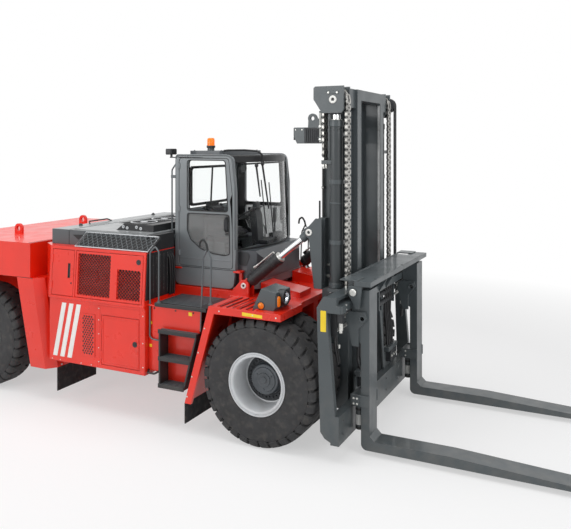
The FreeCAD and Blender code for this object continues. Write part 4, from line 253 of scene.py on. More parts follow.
def glass(name, tint, rough=0.0, see=1.0, bend=1.45):
    shade = Shade(name, rough=rough, Transmission_Weight=see, IOR=bend)
    body = shade.blend(shade.times(shade.noise(1.5, 2.0), 0.12), tint, tone(tint, 0.96))
    smear = shade.scaled(shade.noise(3.0, 5.0), 0.45, 0.8, rough, rough + 0.02)
    return shade.finish(body, smear)


RED = srgb(229, 37, 10)
SLATE = srgb(72, 79, 82)
CAB_GREY = srgb(116, 122, 125)
M = {
    "red": paint("red_enamel", RED, 0.30, 0.35, dust=0.07, wear=0.15),
    "red_cast": paint("red_casting", RED, 0.36, 0.35, wear=0.22),
    "slate": paint("slate_enamel", SLATE, 0.42, 0.2, wear=0.4),
    "slate_dark": paint("slate_dark_enamel", tone(SLATE, 0.55), 0.45, 0.15),
    "cab": paint("cab_grey_enamel", CAB_GREY, 0.35, 0.35, wear=0.15),
    # painted shade: a darker red for the shade in the grooves between the fender's ribs
    "red_painted_shade": paint("red_groove_painted_shade_enamel", srgb(112, 22, 18), 0.4, 0.2),
    "rail": paint("rail_grey_enamel", srgb(84, 90, 93), 0.35, 0.3, wear=0.3, round_to=0.003),
    "charcoal": paint("charcoal_enamel", srgb(72, 77, 82), 0.4, 0.25),
    "hood": paint("hood_enamel", srgb(78, 83, 86), 0.42, 0.2),
    # painted sheen: a lighter copy of the hood's dark grey, for the light the hood's flat top
    # catches
    "hood_top": paint("hood_top_enamel", srgb(134, 137, 138), 0.36, 0.35, dust=0.0),
    "black": paint("black_enamel", srgb(30, 31, 33), 0.5, 0.1, wear=0.5),
    "rim": paint("rim_silver_enamel", srgb(205, 208, 211), 0.33, 0.35, dust=0.3),
    "white": paint("white_enamel", srgb(236, 236, 232), 0.35, 0.3, wear=0.1),
    "yellow": plastic("yellow_film", srgb(248, 214, 40), 0.35, 300.0, 0.05),
    "cast": cast("cast_dark_iron", srgb(66, 68, 71)),
    "hub": cast("hub_grey_iron", srgb(84, 88, 92), 0.5, 120.0),
    "tyre": tyre_rubber("tyre_rubber", srgb(56, 56, 57)),
    "rubber": tyre_rubber("flap_rubber", srgb(38, 38, 40)),
    "hose": plastic("hose_rubber", srgb(26, 26, 28), 0.55, 300.0, 0.3),
    "gasket": plastic("gasket_rubber", srgb(24, 25, 27), 0.6, 260.0, 0.2),
    "plastic": plastic("moulded_black", srgb(40, 42, 45), 0.5, 300.0, 0.35),
    "plastic_grey": plastic("moulded_grey", srgb(92, 98, 102), 0.5, 300.0, 0.3),
    "chain": steel("chain_steel", (0.55, 0.54, 0.51, 1.0), 0.32, (1, 1, 1), 0.9, oil=0.45),
    "chain_dark": steel("chain_pins", (0.1, 0.1, 0.1, 1.0), 0.4, (1, 1, 1), 0.8, oil=0.5),
    "chrome": steel("chromed_rod", (0.82, 0.83, 0.84, 1.0), 0.1, (12, 12, 1)),
    "zinc": steel("zinc_fittings", (0.66, 0.66, 0.63, 1.0), 0.34, (1, 1, 1), 0.85),
    "worn_steel": steel("worn_steel", (0.42, 0.43, 0.43, 1.0), 0.38, (1, 12, 1), 0.8, oil=0.2),
    "glass": glass("cab_safety_glass", (0.985, 0.995, 0.993, 1.0), bend=1.10),
    "tint": glass("door_tinted_glass", (0.50, 0.51, 0.51, 1.0), see=0.72),
    "mirror": steel("mirror_glass", (0.9, 0.91, 0.92, 1.0), 0.03, (1, 1, 1)),
    "lens": glass("lamp_lens_glass", (0.95, 0.97, 1.0, 1.0), 0.06),
    "cloth": woven("seat_cloth", srgb(44, 45, 49)),
    "piping": plastic("seat_piping", srgb(20, 20, 22), 0.55),
}
amber = Shade("amber_lens", rough=0.18, Transmission_Weight=0.45, IOR=1.45,
              Emission_Strength=0.25)
amber.bsdf.inputs["Emission Color"].default_value = srgb(255, 120, 10)
M["amber"] = amber.finish(amber.blend(amber.scaled(amber.noise(40.0), 0.3, 0.7),
                                      srgb(248, 128, 12), srgb(255, 158, 40)),
                          height=amber.noise(90.0), strength=0.1)
lamp_red = Shade("red_lens", rough=0.2, Transmission_Weight=0.3, IOR=1.45)
M["red_lens"] = lamp_red.finish(lamp_red.blend(lamp_red.scaled(lamp_red.noise(50.0), 0.3, 0.7),
                                               srgb(190, 12, 10), srgb(225, 30, 24)))

NODE_LOOKS = {
    "chassis_frame": "red", "counterweight": "red_cast", "lifting_eyes": "red",
    "rear_columns": "red", "hood": "hood", "cooler": "black", "mesh_guards": "black",
    "power_pack": "cast", "steps": "black", "handrails": "rail", "mudflaps": "rubber",
    "lamp_pods": "plastic_grey", "lamp_lenses": "lens", "cab_shell": "cab",
    "cab_glass": "glass", "cab_nose": "charcoal", "seat": "cloth", "console": "plastic",
    "beacon_lens": "amber", "drive_axle": "cast", "steer_axle": "cast", "cabinet": "red",
    "fender": "red", "outer_mast": "slate", "lift_barrels": "slate_dark",
    "chain_rear": "chain", "inner_mast": "slate", "lift_rods": "chrome", "sheaves": "cast",
    "chain_front": "chain", "carriage": "slate", "fork_shaft": "chrome", "fork": "slate",
    "cab_door": "cab", "cab_door_glass": "glass", "mesh_door": "red", "plain_door": "red",
    "access_door": "red", "knuckle": "cast", "front_tyres": "tyre", "front_rim": "rim",
    "rear_tyre": "tyre", "rear_rim": "rim", "tilt_barrel": "black", "tilt_rod": "chrome",
}
for name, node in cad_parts.items():
    plain = name.rsplit("_", 1)[0] if name.endswith(("_right", "_left")) else name
    look = M[NODE_LOOKS[plain]]
    node.data.materials.clear()
    node.data.materials.append(look)


# ---- Mesh tools ----
def frame_along(direction):
    """A rotation that turns +Z onto a direction."""
    return Vector(direction).to_track_quat("Z", "Y").to_matrix().to_4x4()


class Piece:
    """Side -1 puts what is drawn on the left onto the right instead.
    """

    def __init__(self, name, body, look, bevel=0.0, smooth=30.0, side=1):
        self.name, self.body, self.look = name, body, look
        self.bevel, self.smooth, self.side = bevel, smooth, side
        self.bm = bmesh.new()

    def at(self, point):
        """A drawn place in the model's own frame."""
        return Vector((X(point[0]), self.side * point[1], point[2]))

    def shell(self, rings, closed=True, caps=True):
        """Skins a row of drawn rings with the same number of points."""
        return self.skin([[self.at(point) for point in ring] for ring in rings], closed, caps)

    def skin(self, rings, closed=True, caps=True):
        rows = [[self.bm.verts.new(point) for point in ring] for ring in rings]
        count = len(rows[0])
        for first, second in zip(rows, rows[1:] + (rows[:1] if closed == "loop" else [])):
            for index in range(count if closed else count - 1):
                after = (index + 1) % count
                self.bm.faces.new((first[index], first[after], second[after], second[index]))
        if caps and closed != "loop":
            self.bm.faces.new(rows[0][::-1])
            self.bm.faces.new(rows[-1])
        return self

    def box(self, low, high, turn=None):
        spans = [sorted(pair) for pair in zip(self.at(low), self.at(high))]
        corners = [Vector((x, y, z)) for z in spans[2] for x, y in (
            (spans[0][0], spans[1][0]), (spans[0][1], spans[1][0]),
            (spans[0][1], spans[1][1]), (spans[0][0], spans[1][1]))]
        if turn:
            axis, angle = turn
            spin = Matrix.Rotation(math.radians(angle), 4, axis)
            middle = (corners[0] + corners[6]) / 2
            corners = [middle + spin @ (corner - middle) for corner in corners]
        return self.skin([corners[:4], corners[4:]])

    def boxes(self, *rows):
        """Plain boxes, each from the six numbers of its two corners."""
        for row in rows:
            self.box(row[:3], row[3:])

    def prism(self, axis, outline, start, stop, holes=()):
        """A flat outline, given in the other two axes, pushed along an axis; with holes."""
        def point(pair, depth):
            a, b = pair
            return self.at({"X": (depth, a, b), "Y": (a, depth, b), "Z": (a, b, depth)}[axis])
        loops = [list(outline)] + [list(hole) for hole in holes]
        first, second = {"X": (1, 2), "Y": (0, 2), "Z": (0, 1)}[axis]
        placed = [[point(pair, start) for pair in loop] for loop in loops]
        flat = [[Vector((spot[first], spot[second], 0)) for spot in loop] for loop in placed]
        faces = tessellate_polygon(flat)
        spots = [pair for loop in loops for pair in loop]
        first = [self.bm.verts.new(point(pair, start)) for pair in spots]
        second = [self.bm.verts.new(point(pair, stop)) for pair in spots]
        for face in faces:
            self.bm.faces.new([first[index] for index in face])
            self.bm.faces.new([second[index] for index in reversed(face)])
        base = 0
        for loop in loops:
            for index in range(len(loop)):
                here, after = base + index, base + (index + 1) % len(loop)
                self.bm.faces.new((first[here], first[after], second[after], second[here]))
            base += len(loop)
        return self

    def lathe(self, centre, axis, profile, count=32, start=0.0):
        """Turns (along, radius) points about an axis; a radius of 0 closes the end."""
        turn = frame_along((axis[0], self.side * axis[1], axis[2]))
        centre = self.at(centre)
        rows = []
        for along, radius in profile:
            if radius <= 0:
                rows.append([self.bm.verts.new(centre + turn @ Vector((0, 0, along)))])
                continue
            rows.append([self.bm.verts.new(centre + turn @ Vector((
                radius * math.cos(start + math.tau * index / count),
                radius * math.sin(start + math.tau * index / count), along)))
                for index in range(count)])
        for first, second in zip(rows, rows[1:]):
            for index in range(count):
                after = (index + 1) % count
                corners = []
                for row, spots in ((first, (index, after)), (second, (after, index))):
                    corners += [row[0]] if len(row) == 1 else [row[spot] for spot in spots]
                if len(corners) > 2:
                    self.bm.faces.new(corners)
        for row, last in ((rows[0], False), (rows[-1], True)):
            if len(row) > 1 and profile[0] != profile[-1]:
                self.bm.faces.new(row if last else row[::-1])
        return self

    def ring(self, centre, axis, profile, count=32):
        """Turns a closed outline of (along, radius) points about an axis."""
        turn = frame_along((axis[0], self.side * axis[1], axis[2]))
        centre = self.at(centre)
        rows = []
        for index in range(count):
            angle = math.tau * index / count
            rows.append([centre + turn @ Vector((radius * math.cos(angle),
                                                 radius * math.sin(angle), along))
                         for along, radius in profile])
        return self.skin(rows, closed="loop", caps=False)

    def bar(self, start, stop, radius, count=16, second=None):
        start, stop = Vector(start), Vector(stop)
        length = (stop - start).length
        return self.lathe(start, stop - start,
                          [(0, radius), (length, radius if second is None else second)], count)

    def tube(self, points, radius, count=10, closed=False, bend=0.0, steps=5):
        """A round tube along points, with its corners rounded to a bend radius."""
        points = [self.at(point) for point in points]
        if bend:
            points = rounded(points, bend, steps)
        rings = []
        normal = None
        total = len(points)
        for index, point in enumerate(points):
            before = points[index - 1] if index or closed else point
            after = points[(index + 1) % total] if index < total - 1 or closed else point
            along = (after - before).normalized()
            if normal is None:
                normal = along.orthogonal().normalized()
            normal = (normal - along * normal.dot(along)).normalized()
            side = along.cross(normal)
            rings.append([point + (normal * math.cos(math.tau * turn / count)
                                   + side * math.sin(math.tau * turn / count)) * radius
                          for turn in range(count)])
        return self.skin(rings, closed="loop" if closed else True, caps=not closed)

    def bolt(self, place, direction, size=0.012, depth=None):
        """A washer and a hexagon head."""
        direction = Vector(direction).normalized()
        place = Vector(place)
        depth = depth or size * 0.75
        self.lathe(place, direction, [(-0.001, size * 1.25), (size * 0.2, size * 1.2)], 16)
        return self.lathe(place + direction * size * 0.2, direction,
                          [(0, size), (depth * 0.85, size), (depth, size * 0.86)], 6)

    def done(self, *replaced):
        bm = self.bm
        bmesh.ops.recalc_face_normals(bm, faces=bm.faces)
        mesh = bpy.data.meshes.new(self.name)
        bm.to_mesh(mesh)
        bm.free()
        mesh.materials.append(M[self.look])
        piece = bpy.data.objects.new(self.name, mesh)
        bpy.context.scene.collection.objects.link(piece)
        if self.smooth:
            mesh.shade_smooth()
            mesh.set_sharp_from_angle(angle=math.radians(self.smooth))
        if self.bevel:
            soften = piece.modifiers.new("soften", "BEVEL")
            soften.width = self.bevel
            soften.segments = 2
            soften.limit_method = "ANGLE"
            soften.angle_limit = math.radians(35)
            soften.harden_normals = True
        if self.body:
            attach(piece, self.body)
        if replaced:
            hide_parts(*replaced)
        return piece


def both(*pieces):
    """Two turns, right then left, in which the pieces are drawn on that side."""
    for _, side in SIDES:
        for piece in pieces:
            piece.side = side
        yield side


def rounded(points, bend, steps=5):
    """Points of a path with its inner corners turned into arcs."""
    path = [points[0]]
    for before, corner, after in zip(points, points[1:], points[2:]):
        back, ahead = (before - corner), (after - corner)
        angle = back.angle(ahead)
        if angle > math.radians(176):
            path.append(corner)
            continue
        reach = min(bend / math.tan(angle / 2), back.length * 0.49, ahead.length * 0.49)
        entry = corner + back.normalized() * reach
        leave = corner + ahead.normalized() * reach
        for step in range(steps + 1):
            share = step / steps
            path.append(entry.lerp(corner, share).lerp(corner.lerp(leave, share), share))
    path.append(points[-1])
    return path


def arc(centre, radius, first, last, count=8):
    """Points of an arc in two axes; angles in degrees."""
    turns = [math.radians(first + (last - first) * index / count) for index in range(count + 1)]
    return [(centre[0] + radius * math.cos(turn), centre[1] + radius * math.sin(turn))
            for turn in turns]


def round_rect(low, high, radius, count=5):
    (a, b), (c, d) = low, high
    spots = []
    for centre, first in (((c - radius, d - radius), 0), ((a + radius, d - radius), 90),
                          ((a + radius, b + radius), 180), ((c - radius, b + radius), 270)):
        spots += arc(centre, radius, first, first + 90, count)
    return spots


def band(piece, centre, axis, inner, radius, length, edge=0.003, count=40):
    """A collar with chamfered rims round a cylinder."""
    piece.ring(centre, axis, [(0, inner), (0, radius - edge), (edge, radius),
                              (length - edge, radius), (length, radius - edge),
                              (length, inner)], count)


def circle(centre, radius, count=16):
    return [(centre[0] + radius * math.cos(math.tau * index / count),
             centre[1] + radius * math.sin(math.tau * index / count)) for index in range(count)]


# ---- Camera, light and floor ----
WORLD_LIGHT = 0.42
FLOOR_FADE = (5.5, 10.5)
FLOOR_GLOW = (0.5, 1.0)
FLOOR_HALF = 60
scene = bpy.context.scene
scene.view_settings.view_transform = "Standard"
eye = bpy.data.objects.new("camera", bpy.data.cameras.new("camera"))
scene.collection.objects.link(eye)
scene.camera = eye
eye.location = (X(3.804), -8.549, 3.487)
eye.rotation_euler = (math.radians(90), 0, math.radians(25.97))
eye.data.sensor_width = 36
eye.data.lens = 44.05
eye.data.shift_y = -0.21
eye.data.clip_start = 0.1
eye.data.clip_end = 400


def seen_directly(tree):
    """1 for camera, gloss and glass rays, which get plain white; 0 for the light itself."""
    ray = tree.nodes.new("ShaderNodeLightPath")
    seen = None
    for key in ("Is Camera Ray", "Is Glossy Ray", "Is Transmission Ray"):
        if seen is None:
            seen = ray.outputs[key]
            continue
        joined = tree.nodes.new("ShaderNodeMath")
        joined.operation = "MAXIMUM"
        tree.links.new(seen, joined.inputs[0])
        tree.links.new(ray.outputs[key], joined.inputs[1])
        seen = joined.outputs[0]
    return seen


world = bpy.data.worlds.new("studio")
scene.world = world
world.use_nodes = True
tree = world.node_tree
dim = tree.nodes["Background"]
dim.inputs["Color"].default_value = (1, 1, 1, 1)
dim.inputs["Strength"].default_value = WORLD_LIGHT
bright = tree.nodes.new("ShaderNodeBackground")
bright.inputs["Color"].default_value = (1, 1, 1, 1)
bright.inputs["Strength"].default_value = 1.0
either = tree.nodes.new("ShaderNodeMixShader")
tree.links.new(seen_directly(tree), either.inputs[0])
tree.links.new(dim.outputs[0], either.inputs[1])
tree.links.new(bright.outputs[0], either.inputs[2])
tree.links.new(either.outputs[0], tree.nodes["World Output"].inputs[0])

floor_mesh = bpy.data.meshes.new("floor")
floor_mesh.from_pydata([(FLOOR_HALF * x, FLOOR_HALF * y, 0)
                        for x, y in ((-1, -1), (1, -1), (1, 1), (-1, 1))], [], [(0, 1, 2, 3)])
floor = bpy.data.objects.new("floor", floor_mesh)
scene.collection.objects.link(floor)
floor_look = bpy.data.materials.new("floor_pale")
floor_look.use_nodes = True
tree = floor_look.node_tree
matt = tree.nodes["Principled BSDF"]
matt.inputs["Base Color"].default_value = (0.86, 0.86, 0.865, 1)
matt.inputs["Roughness"].default_value = 0.9
matt.inputs["Specular IOR Level"].default_value = 0.1
glow = tree.nodes.new("ShaderNodeEmission")
glow.inputs["Color"].default_value = (1, 1, 1, 1)
glow.inputs["Strength"].default_value = 1.0
share = tree.nodes.new("ShaderNodeMath")
share.operation = "MULTIPLY"
place = tree.nodes.new("ShaderNodeNewGeometry")
far = tree.nodes.new("ShaderNodeVectorMath")
far.operation = "LENGTH"
tree.links.new(place.outputs["Position"], far.inputs[0])
fade = tree.nodes.new("ShaderNodeMapRange")
for slot, value in enumerate((*FLOOR_FADE, *FLOOR_GLOW)):
    fade.inputs[slot + 1].default_value = value
tree.links.new(far.outputs["Value"], fade.inputs[0])
tree.links.new(fade.outputs[0], share.inputs[1])
tree.links.new(seen_directly(tree), share.inputs[0])
either = tree.nodes.new("ShaderNodeMixShader")
tree.links.new(share.outputs[0], either.inputs[0])
tree.links.new(matt.outputs[0], either.inputs[1])
tree.links.new(glow.outputs[0], either.inputs[2])
tree.links.new(either.outputs[0], tree.nodes["Material Output"].inputs[0])
floor_mesh.materials.append(floor_look)


def softbox(name, place, target, size, power, size_y=None):
    lamp = bpy.data.lights.new(name, "AREA")
    lamp.shape = "RECTANGLE"
    lamp.size, lamp.size_y = size, size_y or size
    lamp.energy = power
    piece = bpy.data.objects.new(name, lamp)
    piece.location = place
    piece.rotation_euler = (Vector(target) - Vector(place)).to_track_quat("-Z", "Y").to_euler()
    scene.collection.objects.link(piece)


softbox("top_softbox", (-1.0, -1.5, 10.5), (-1.0, 0, 1.5), 11.0, 690, 8.0)
softbox("side_softbox", (-5.5, -11.0, 5.0), (-1.0, 0, 1.6), 7.0, 380, 4.0)
softbox("front_softbox", (10.5, -4.0, 5.5), (1.5, 0, 1.6), 6.0, 240, 4.0)


# ---- Wheels ----
LUGS = 32
WHEEL_BOLTS = 30
TYRE_WIDTH = 0.4
TWIN_SPACING = 0.43


def tyre_rings(piece, x, outer, width=TYRE_WIDTH):
    """One tyre: bowed walls, a ridge near the shoulder and slanting shoulder slots."""
    half = [(0.04, 0.351), (0.014, 0.366), (0.006, 0.385), (0.002, 0.43), (0.0, 0.49),
            (0.001, 0.56), (0.005, 0.615), (0.011, 0.64), (0.017, 0.648), (0.011, 0.657),
            (0.013, 0.685), (0.024, 0.709), (0.044, 0.727), (0.07, 0.7345), (0.105, 0.736),
            (0.135, 0.736), (0.15, 0.736), (0.175, 0.736)]
    profile = half + [(width - t, r) for t, r in half[::-1]]
    stations = ((0.00, 0), (0.02, 1), (0.24, 1), (0.26, 0), (0.42, 0), (0.58, 0), (0.72, 0),
                (0.86, 0))
    rows = []
    for lug in range(LUGS):
        for step, slot in stations:
            row = []
            for t, r in profile:
                near = min(t, width - t)
                if slot and r > 0.66:
                    share = min(1.0, max(0.0, (0.15 - near) / 0.02))
                    r -= 0.036 * share
                slant = 0.5 if r > 0.66 else 0.0
                turn = math.tau * (lug + step + slant * min(near, 0.15) * 4) / LUGS
                turn += 0 if t < width / 2 else math.tau * 0.5 / LUGS
                row.append(Vector((x + r * math.cos(turn), (outer - t),
                                   WHEEL_R + r * math.sin(turn))))
            rows.append(row)
    piece.shell(rows, closed="loop", caps=False)


def wheel(label, body, x, outer, side, depth, widths, hub_r, reach, tyre_node, rim_node):
    rubber = Piece(f"{label}_tyre_tread", body, "tyre", smooth=24, side=side)
    for face in widths:
        tyre_rings(rubber, x, face)
    rubber.done(tyre_node)
    centre = (x, outer, WHEEL_R)
    inward = (0, -1, 0)
    whole = TYRE_WIDTH if len(widths) == 1 else TYRE_WIDTH + TWIN_SPACING
    rim = Piece(f"{label}_rim_shell", body, "rim", smooth=28, side=side)
    rim.ring(centre, inward, [(0.002, 0.365), (0.002, 0.353), (0.01, 0.349), (0.012, 0.343),
                              (0.005, 0.338), (0.004, 0.322), (0.014, 0.311), (0.036, 0.304),
                              (0.07, 0.3), (depth - 0.03, 0.297), (depth - 0.008, 0.288),
                              (depth, 0.27), (depth, hub_r - 0.01), (depth + 0.03, hub_r - 0.01),
                              (depth + 0.03, 0.3), (whole - 0.05, 0.312), (whole - 0.004, 0.325),
                              (whole - 0.002, 0.365), (whole - 0.012, 0.365), (whole - 0.02, 0.35),
                              (0.024, 0.35), (0.013, 0.365)], 72)
    rim.done(rim_node)
    hub = Piece(f"{label}_hub", body, "hub", smooth=30, side=side)
    face = depth - 0.006
    hub.lathe(centre, inward, [(face - reach, 0.0), (face - reach, 0.036), (face - reach + 0.007,
            0.04), (face - reach + 0.007, 0.078), (face - reach + 0.016, 0.083),
                               (face - reach + 0.016, 0.14), (face - reach + 0.028, 0.146),
                               (face - reach + 0.028, hub_r - 0.02), (face - reach + 0.036,
                                       hub_r - 0.014), (face - 0.02, hub_r - 0.01), (face - 0.012,
                                               hub_r), (depth + 0.03, hub_r), (depth + 0.12,
                                                       hub_r * 0.9), (depth + 0.12, 0.0)], 48)
    out = Vector(inward) * -1
    for turn in range(3):
        angle = math.tau * turn / 3 + 0.5
        hub.bolt(Vector(centre) + Vector((0.11 * math.cos(angle), -(face - reach + 0.016),
                                          0.11 * math.sin(angle))), out, 0.011)
    hub.done()
    flange = Piece(f"{label}_bolt_ring", body, "cast", smooth=30, side=side)
    flange.ring(centre, inward, [(depth - 0.01, hub_r + 0.002), (depth - 0.01, 0.272),
                                 (depth + 0.006, 0.276), (depth + 0.006, hub_r + 0.002)], 48)
    radius = hub_r + 0.04
    for turn in range(WHEEL_BOLTS):
        angle = math.tau * turn / WHEEL_BOLTS
        spot = Vector(centre) + Vector((radius * math.cos(angle), -(depth - 0.01),
                                        radius * math.sin(angle)))
        flange.bolt(spot, out, 0.0125, 0.018)
    flange.done()
    valve = Piece(f"{label}_valve", body, "zinc", smooth=30, side=side)
    valve.tube([Vector(centre) + Vector((0.06, -(depth - 0.03), 0.283)),
                Vector(centre) + Vector((0.06, -(depth * 0.55), 0.28)),
                Vector(centre) + Vector((0.06, -(depth * 0.35), 0.262))], 0.006, 8, bend=0.03)
    valve.done()


for name, side in SIDES:
    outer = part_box("front_tyres_right")[0].y * -1
    wheel(f"front_{name}", f"front_wheel_{name}", 0.0, outer, side, 0.3,
          (outer, outer - TWIN_SPACING), 0.19, 0.115, f"front_tyres_{name}", f"front_rim_{name}")
    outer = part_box("rear_tyre_right")[0].y * -1
    wheel(f"rear_{name}", f"rear_wheel_{name}", REAR_AXLE - AXLE, outer, side, 0.15, (outer,),
          0.17, 0.08, f"rear_tyre_{name}", f"rear_rim_{name}")


# ---- Side cabinets ----
FACE_LOW, FACE_HIGH = 1.5, 1.455
Z_LOW, Z_HIGH = 1.44, 2.13


def lean(z):
    """How far out the cabinet's upper side stands at a height."""
    return FACE_LOW + (FACE_HIGH - FACE_LOW) * (z - Z_LOW) / (Z_HIGH - Z_LOW)


def on_lean(x, z, out=0.0):
    return Vector((x, lean(z) + out, z))


LEAN_N = Vector((0, 1, (FACE_LOW - FACE_HIGH) / (Z_HIGH - Z_LOW))).normalized()


def lay_on_side(piece, start):
    """Moves a piece's newest points out onto the leaning side."""
    piece.bm.verts.ensure_lookup_table()
    for vert in piece.bm.verts[start:]:
        vert.co.y += piece.side * lean(vert.co.z)


def slab(piece, xs, zs, outs, holes=()):
    """A panel laid on the leaning side: its outline in x, z, pushed between two depths."""
    start = len(piece.bm.verts)
    piece.prism("Y", [(xs[0], zs[0]), (xs[1], zs[0]), (xs[1], zs[1]), (xs[0], zs[1])], outs[0],
                outs[1], holes)
    lay_on_side(piece, start)


def mesh_sheet(piece, xs, zs, out, pitch=0.046, hole=0.0205, thick=0.004):
    """Perforated sheet: staggered round holes through one sheet of steel."""
    start = len(piece.bm.verts)
    across = max(2, round((xs[1] - xs[0]) / pitch))
    rows = max(2, round((zs[1] - zs[0]) / (pitch / 2)))
    step_x, step_z = (xs[1] - xs[0]) / across, (zs[1] - zs[0]) / rows
    outline = [(xs[0], zs[0]), (xs[1], zs[0]), (xs[1], zs[1]), (xs[0], zs[1])]
    holes = []
    for row in range(1, rows):
        for index in range(across if row % 2 else across - 1):
            x = xs[0] + step_x * (index + (0.5 if row % 2 else 1.0))
            holes.append(circle((x, zs[0] + step_z * row), hole, 6))
    piece.prism("Y", outline, out - thick, out, holes)
    lay_on_side(piece, start)


DOOR_X = (-2.715, -1.635)
DOOR_Z = (1.485, 2.085)
BIG = ((-2.685, -2.145), (1.515, 2.055))
SMALL = ((-2.034, -1.665), (1.515, 1.895))

for name, side in SIDES:
    door = Piece(f"mesh_door_frame_{name}", f"mesh_door_{name}", "red", bevel=0.004, side=side)
    holes = [round_rect((xs[0], zs[0]), (xs[1], zs[1]), 0.012, 3) for xs, zs in (BIG, SMALL)]
    slab(door, DOOR_X, DOOR_Z, (-0.026, 0.0), holes)
    for xs, zs in (BIG, SMALL):
        grow = 0.012
        slab(door, (xs[0] - grow, xs[1] + grow), (zs[0] - grow, zs[1] + grow), (-0.03, -0.024),
             [round_rect((xs[0] + 0.006, zs[0] + 0.006), (xs[1] - 0.006, zs[1] - 0.006), 0.01, 3)])
    door.done(f"mesh_door_{name}")
    sheet = Piece(f"mesh_door_grille_{name}", f"mesh_door_{name}", "red", smooth=0, side=side)
    for xs, zs in (BIG, SMALL):
        mesh_sheet(sheet, (xs[0] - 0.008, xs[1] + 0.008), (zs[0] - 0.008, zs[1] + 0.008), -0.012)
    sheet.done()
    # painted shade: black slats and a black sheet behind the grille stand for the dark interior
    # seen through its holes
    core = Piece(f"grille_painted_shade_{name}", f"mesh_door_{name}", "black", smooth=0, side=side)
    for xs, zs in (BIG, SMALL):
        for index in range(24):
            z = zs[0] + (zs[1] - zs[0]) * (index + 0.5) / 24
            slab(core, (xs[0] - 0.006, xs[1] + 0.006), (z - 0.004, z + 0.004), (-0.0395, -0.034))
        slab(core, (xs[0] - 0.008, xs[1] + 0.008), (zs[0] - 0.008, zs[1] + 0.008),
             (-0.04, -0.0385))
    core.done()
    latch = Piece(f"mesh_door_latch_{name}", f"mesh_door_{name}", "plastic", bevel=0.002,
                  side=side)
    spot = on_lean(-1.7, 2.005)
    latch.lathe(spot, LEAN_N, [(-0.004, 0.034), (0.005, 0.034), (0.008, 0.03), (0.003, 0.024),
                               (0.003, 0.01), (0.01, 0.009), (0.01, 0)], 28)
    latch.done()
    pull = Piece(f"plain_door_handle_{name}", f"plain_door_{name}", "plastic", bevel=0.002,
                 side=side)
    slab(pull, (-2.855, -2.815), (1.72, 1.91), (-0.022, -0.018))
    slab(pull, (-2.857, -2.849), (1.715, 1.915), (-0.02, 0.001))
    slab(pull, (-2.821, -2.813), (1.715, 1.915), (-0.02, 0.001))
    slab(pull, (-2.842, -2.828), (1.74, 1.89), (-0.018, -0.002))
    spot = on_lean(-2.79, 1.655)
    pull.lathe(spot, LEAN_N, [(-0.003, 0.012), (0.003, 0.012), (0.004, 0.009), (0.004, 0)], 16)
    pull.done()
    # seams, ledge, lower panel trim and rivets on the cabinet itself
    trim = Piece(f"cabinet_trim_{name}", "truck", "red", bevel=0.003, side=side)
    trim.prism("X", [(1.5, 1.44), (1.506, 1.446), (1.506, 1.47), (1.4985, 1.474)], -3.168, -1.592)
    trim.boxes(
        (-3.165, 1.478, 1.412, -1.595, 1.486, 1.438),
        (-2.345, 1.478, 0.605, -2.305, 1.4825, 1.408),
        (-1.662, 1.478, 0.605, -1.595, 1.4825, 1.408),
        (-2.3, 1.478, 1.3, -1.665, 1.4825, 1.408),
        (-3.165, 1.478, 0.602, -1.595, 1.483, 0.64))
    trim.done()
    rivets = Piece(f"cabinet_rivets_{name}", "truck", "zinc", smooth=40, side=side)
    spots = [(-2.325, z) for z in (0.68, 0.86, 1.04, 1.22, 1.37)]
    spots += [(x, 0.621) for x in (-3.12, -2.98, -2.62, -2.45)]
    spots += [(-1.62, z) for z in (0.7, 1.0, 1.34)]
    for x, z in spots:
        rivets.lathe((x, 1.482, z), OUTWARD, [(0, 0.008), (0.004, 0.006), (0.005, 0)], 12)
    rivets.done()
    vent = Piece(f"low_vent_{name}", "truck", "red", smooth=0, side=side)
    rows, columns = 17, 5
    low, high = (-2.6, 0.74), (-2.4, 1.27)
    holes = []
    for row in range(rows):
        for column in range(columns if row % 2 else columns - 1):
            x = low[0] + 0.02 + 0.04 * (column + (0 if row % 2 else 0.5))
            holes.append(circle((x, low[1] + 0.025 + row * 0.03), 0.0145, 6))
    vent.prism("Y", [(low[0] - 0.012, low[1] - 0.012), (high[0] + 0.012, low[1] - 0.012),
                     (high[0] + 0.012, high[1] + 0.012), (low[0] - 0.012, high[1] + 0.012)],
               1.4835, 1.487, holes)
    vent.done()
    dark = Piece(f"low_vent_back_{name}", "truck", "black", smooth=0, side=side)
    dark.box((low[0] - 0.008, 1.479, low[1] - 0.008), (high[0] + 0.008, 1.4832, high[1] + 0.008))
    dark.done()
    latch = Piece(f"access_latch_{name}", f"access_door_{name}", "plastic", bevel=0.002, side=side)
    latch.lathe((-1.745, 1.48, 0.97), OUTWARD, [(-0.004, 0.036), (0.005, 0.036), (0.008, 0.031),
                                                (0.003, 0.026), (0.003, 0.011), (0.011, 0.01),
                                                (0.011, 0)], 28)
    latch.box((-1.765, 1.483, 0.966), (-1.725, 1.489, 0.974))
    latch.done()
    edge = Piece(f"access_door_edge_{name}", f"access_door_{name}", "red", bevel=0.003, side=side)
    edge.prism("Y", round_rect((-2.268, 0.668), (-1.693, 1.273), 0.02, 4), 1.4795, 1.4835,
               [round_rect((-2.25, 0.686), (-1.711, 1.255), 0.014, 4)])
    edge.done()
    # plain slanting bars in white: the truck's own livery, of no maker
    film = Piece(f"livery_bars_{name}", "truck", "white", smooth=0, side=side)
    for start in (-3.11, -2.985, -2.86):
        film.prism("Y", [(start, 0.665), (start + 0.075, 0.665), (start + 0.235, 1.385),
                         (start + 0.16, 1.385)], 1.4788, 1.4812)
    film.done()


# ---- Chains and sheaves ----
LIFT_AHEAD = 0.7
LIFT = Vector((X(LIFT_AHEAD), 0.79, 0))
SHEAVE_Z, CHAIN_R, PITCH = 4.02, 0.147, 0.0381


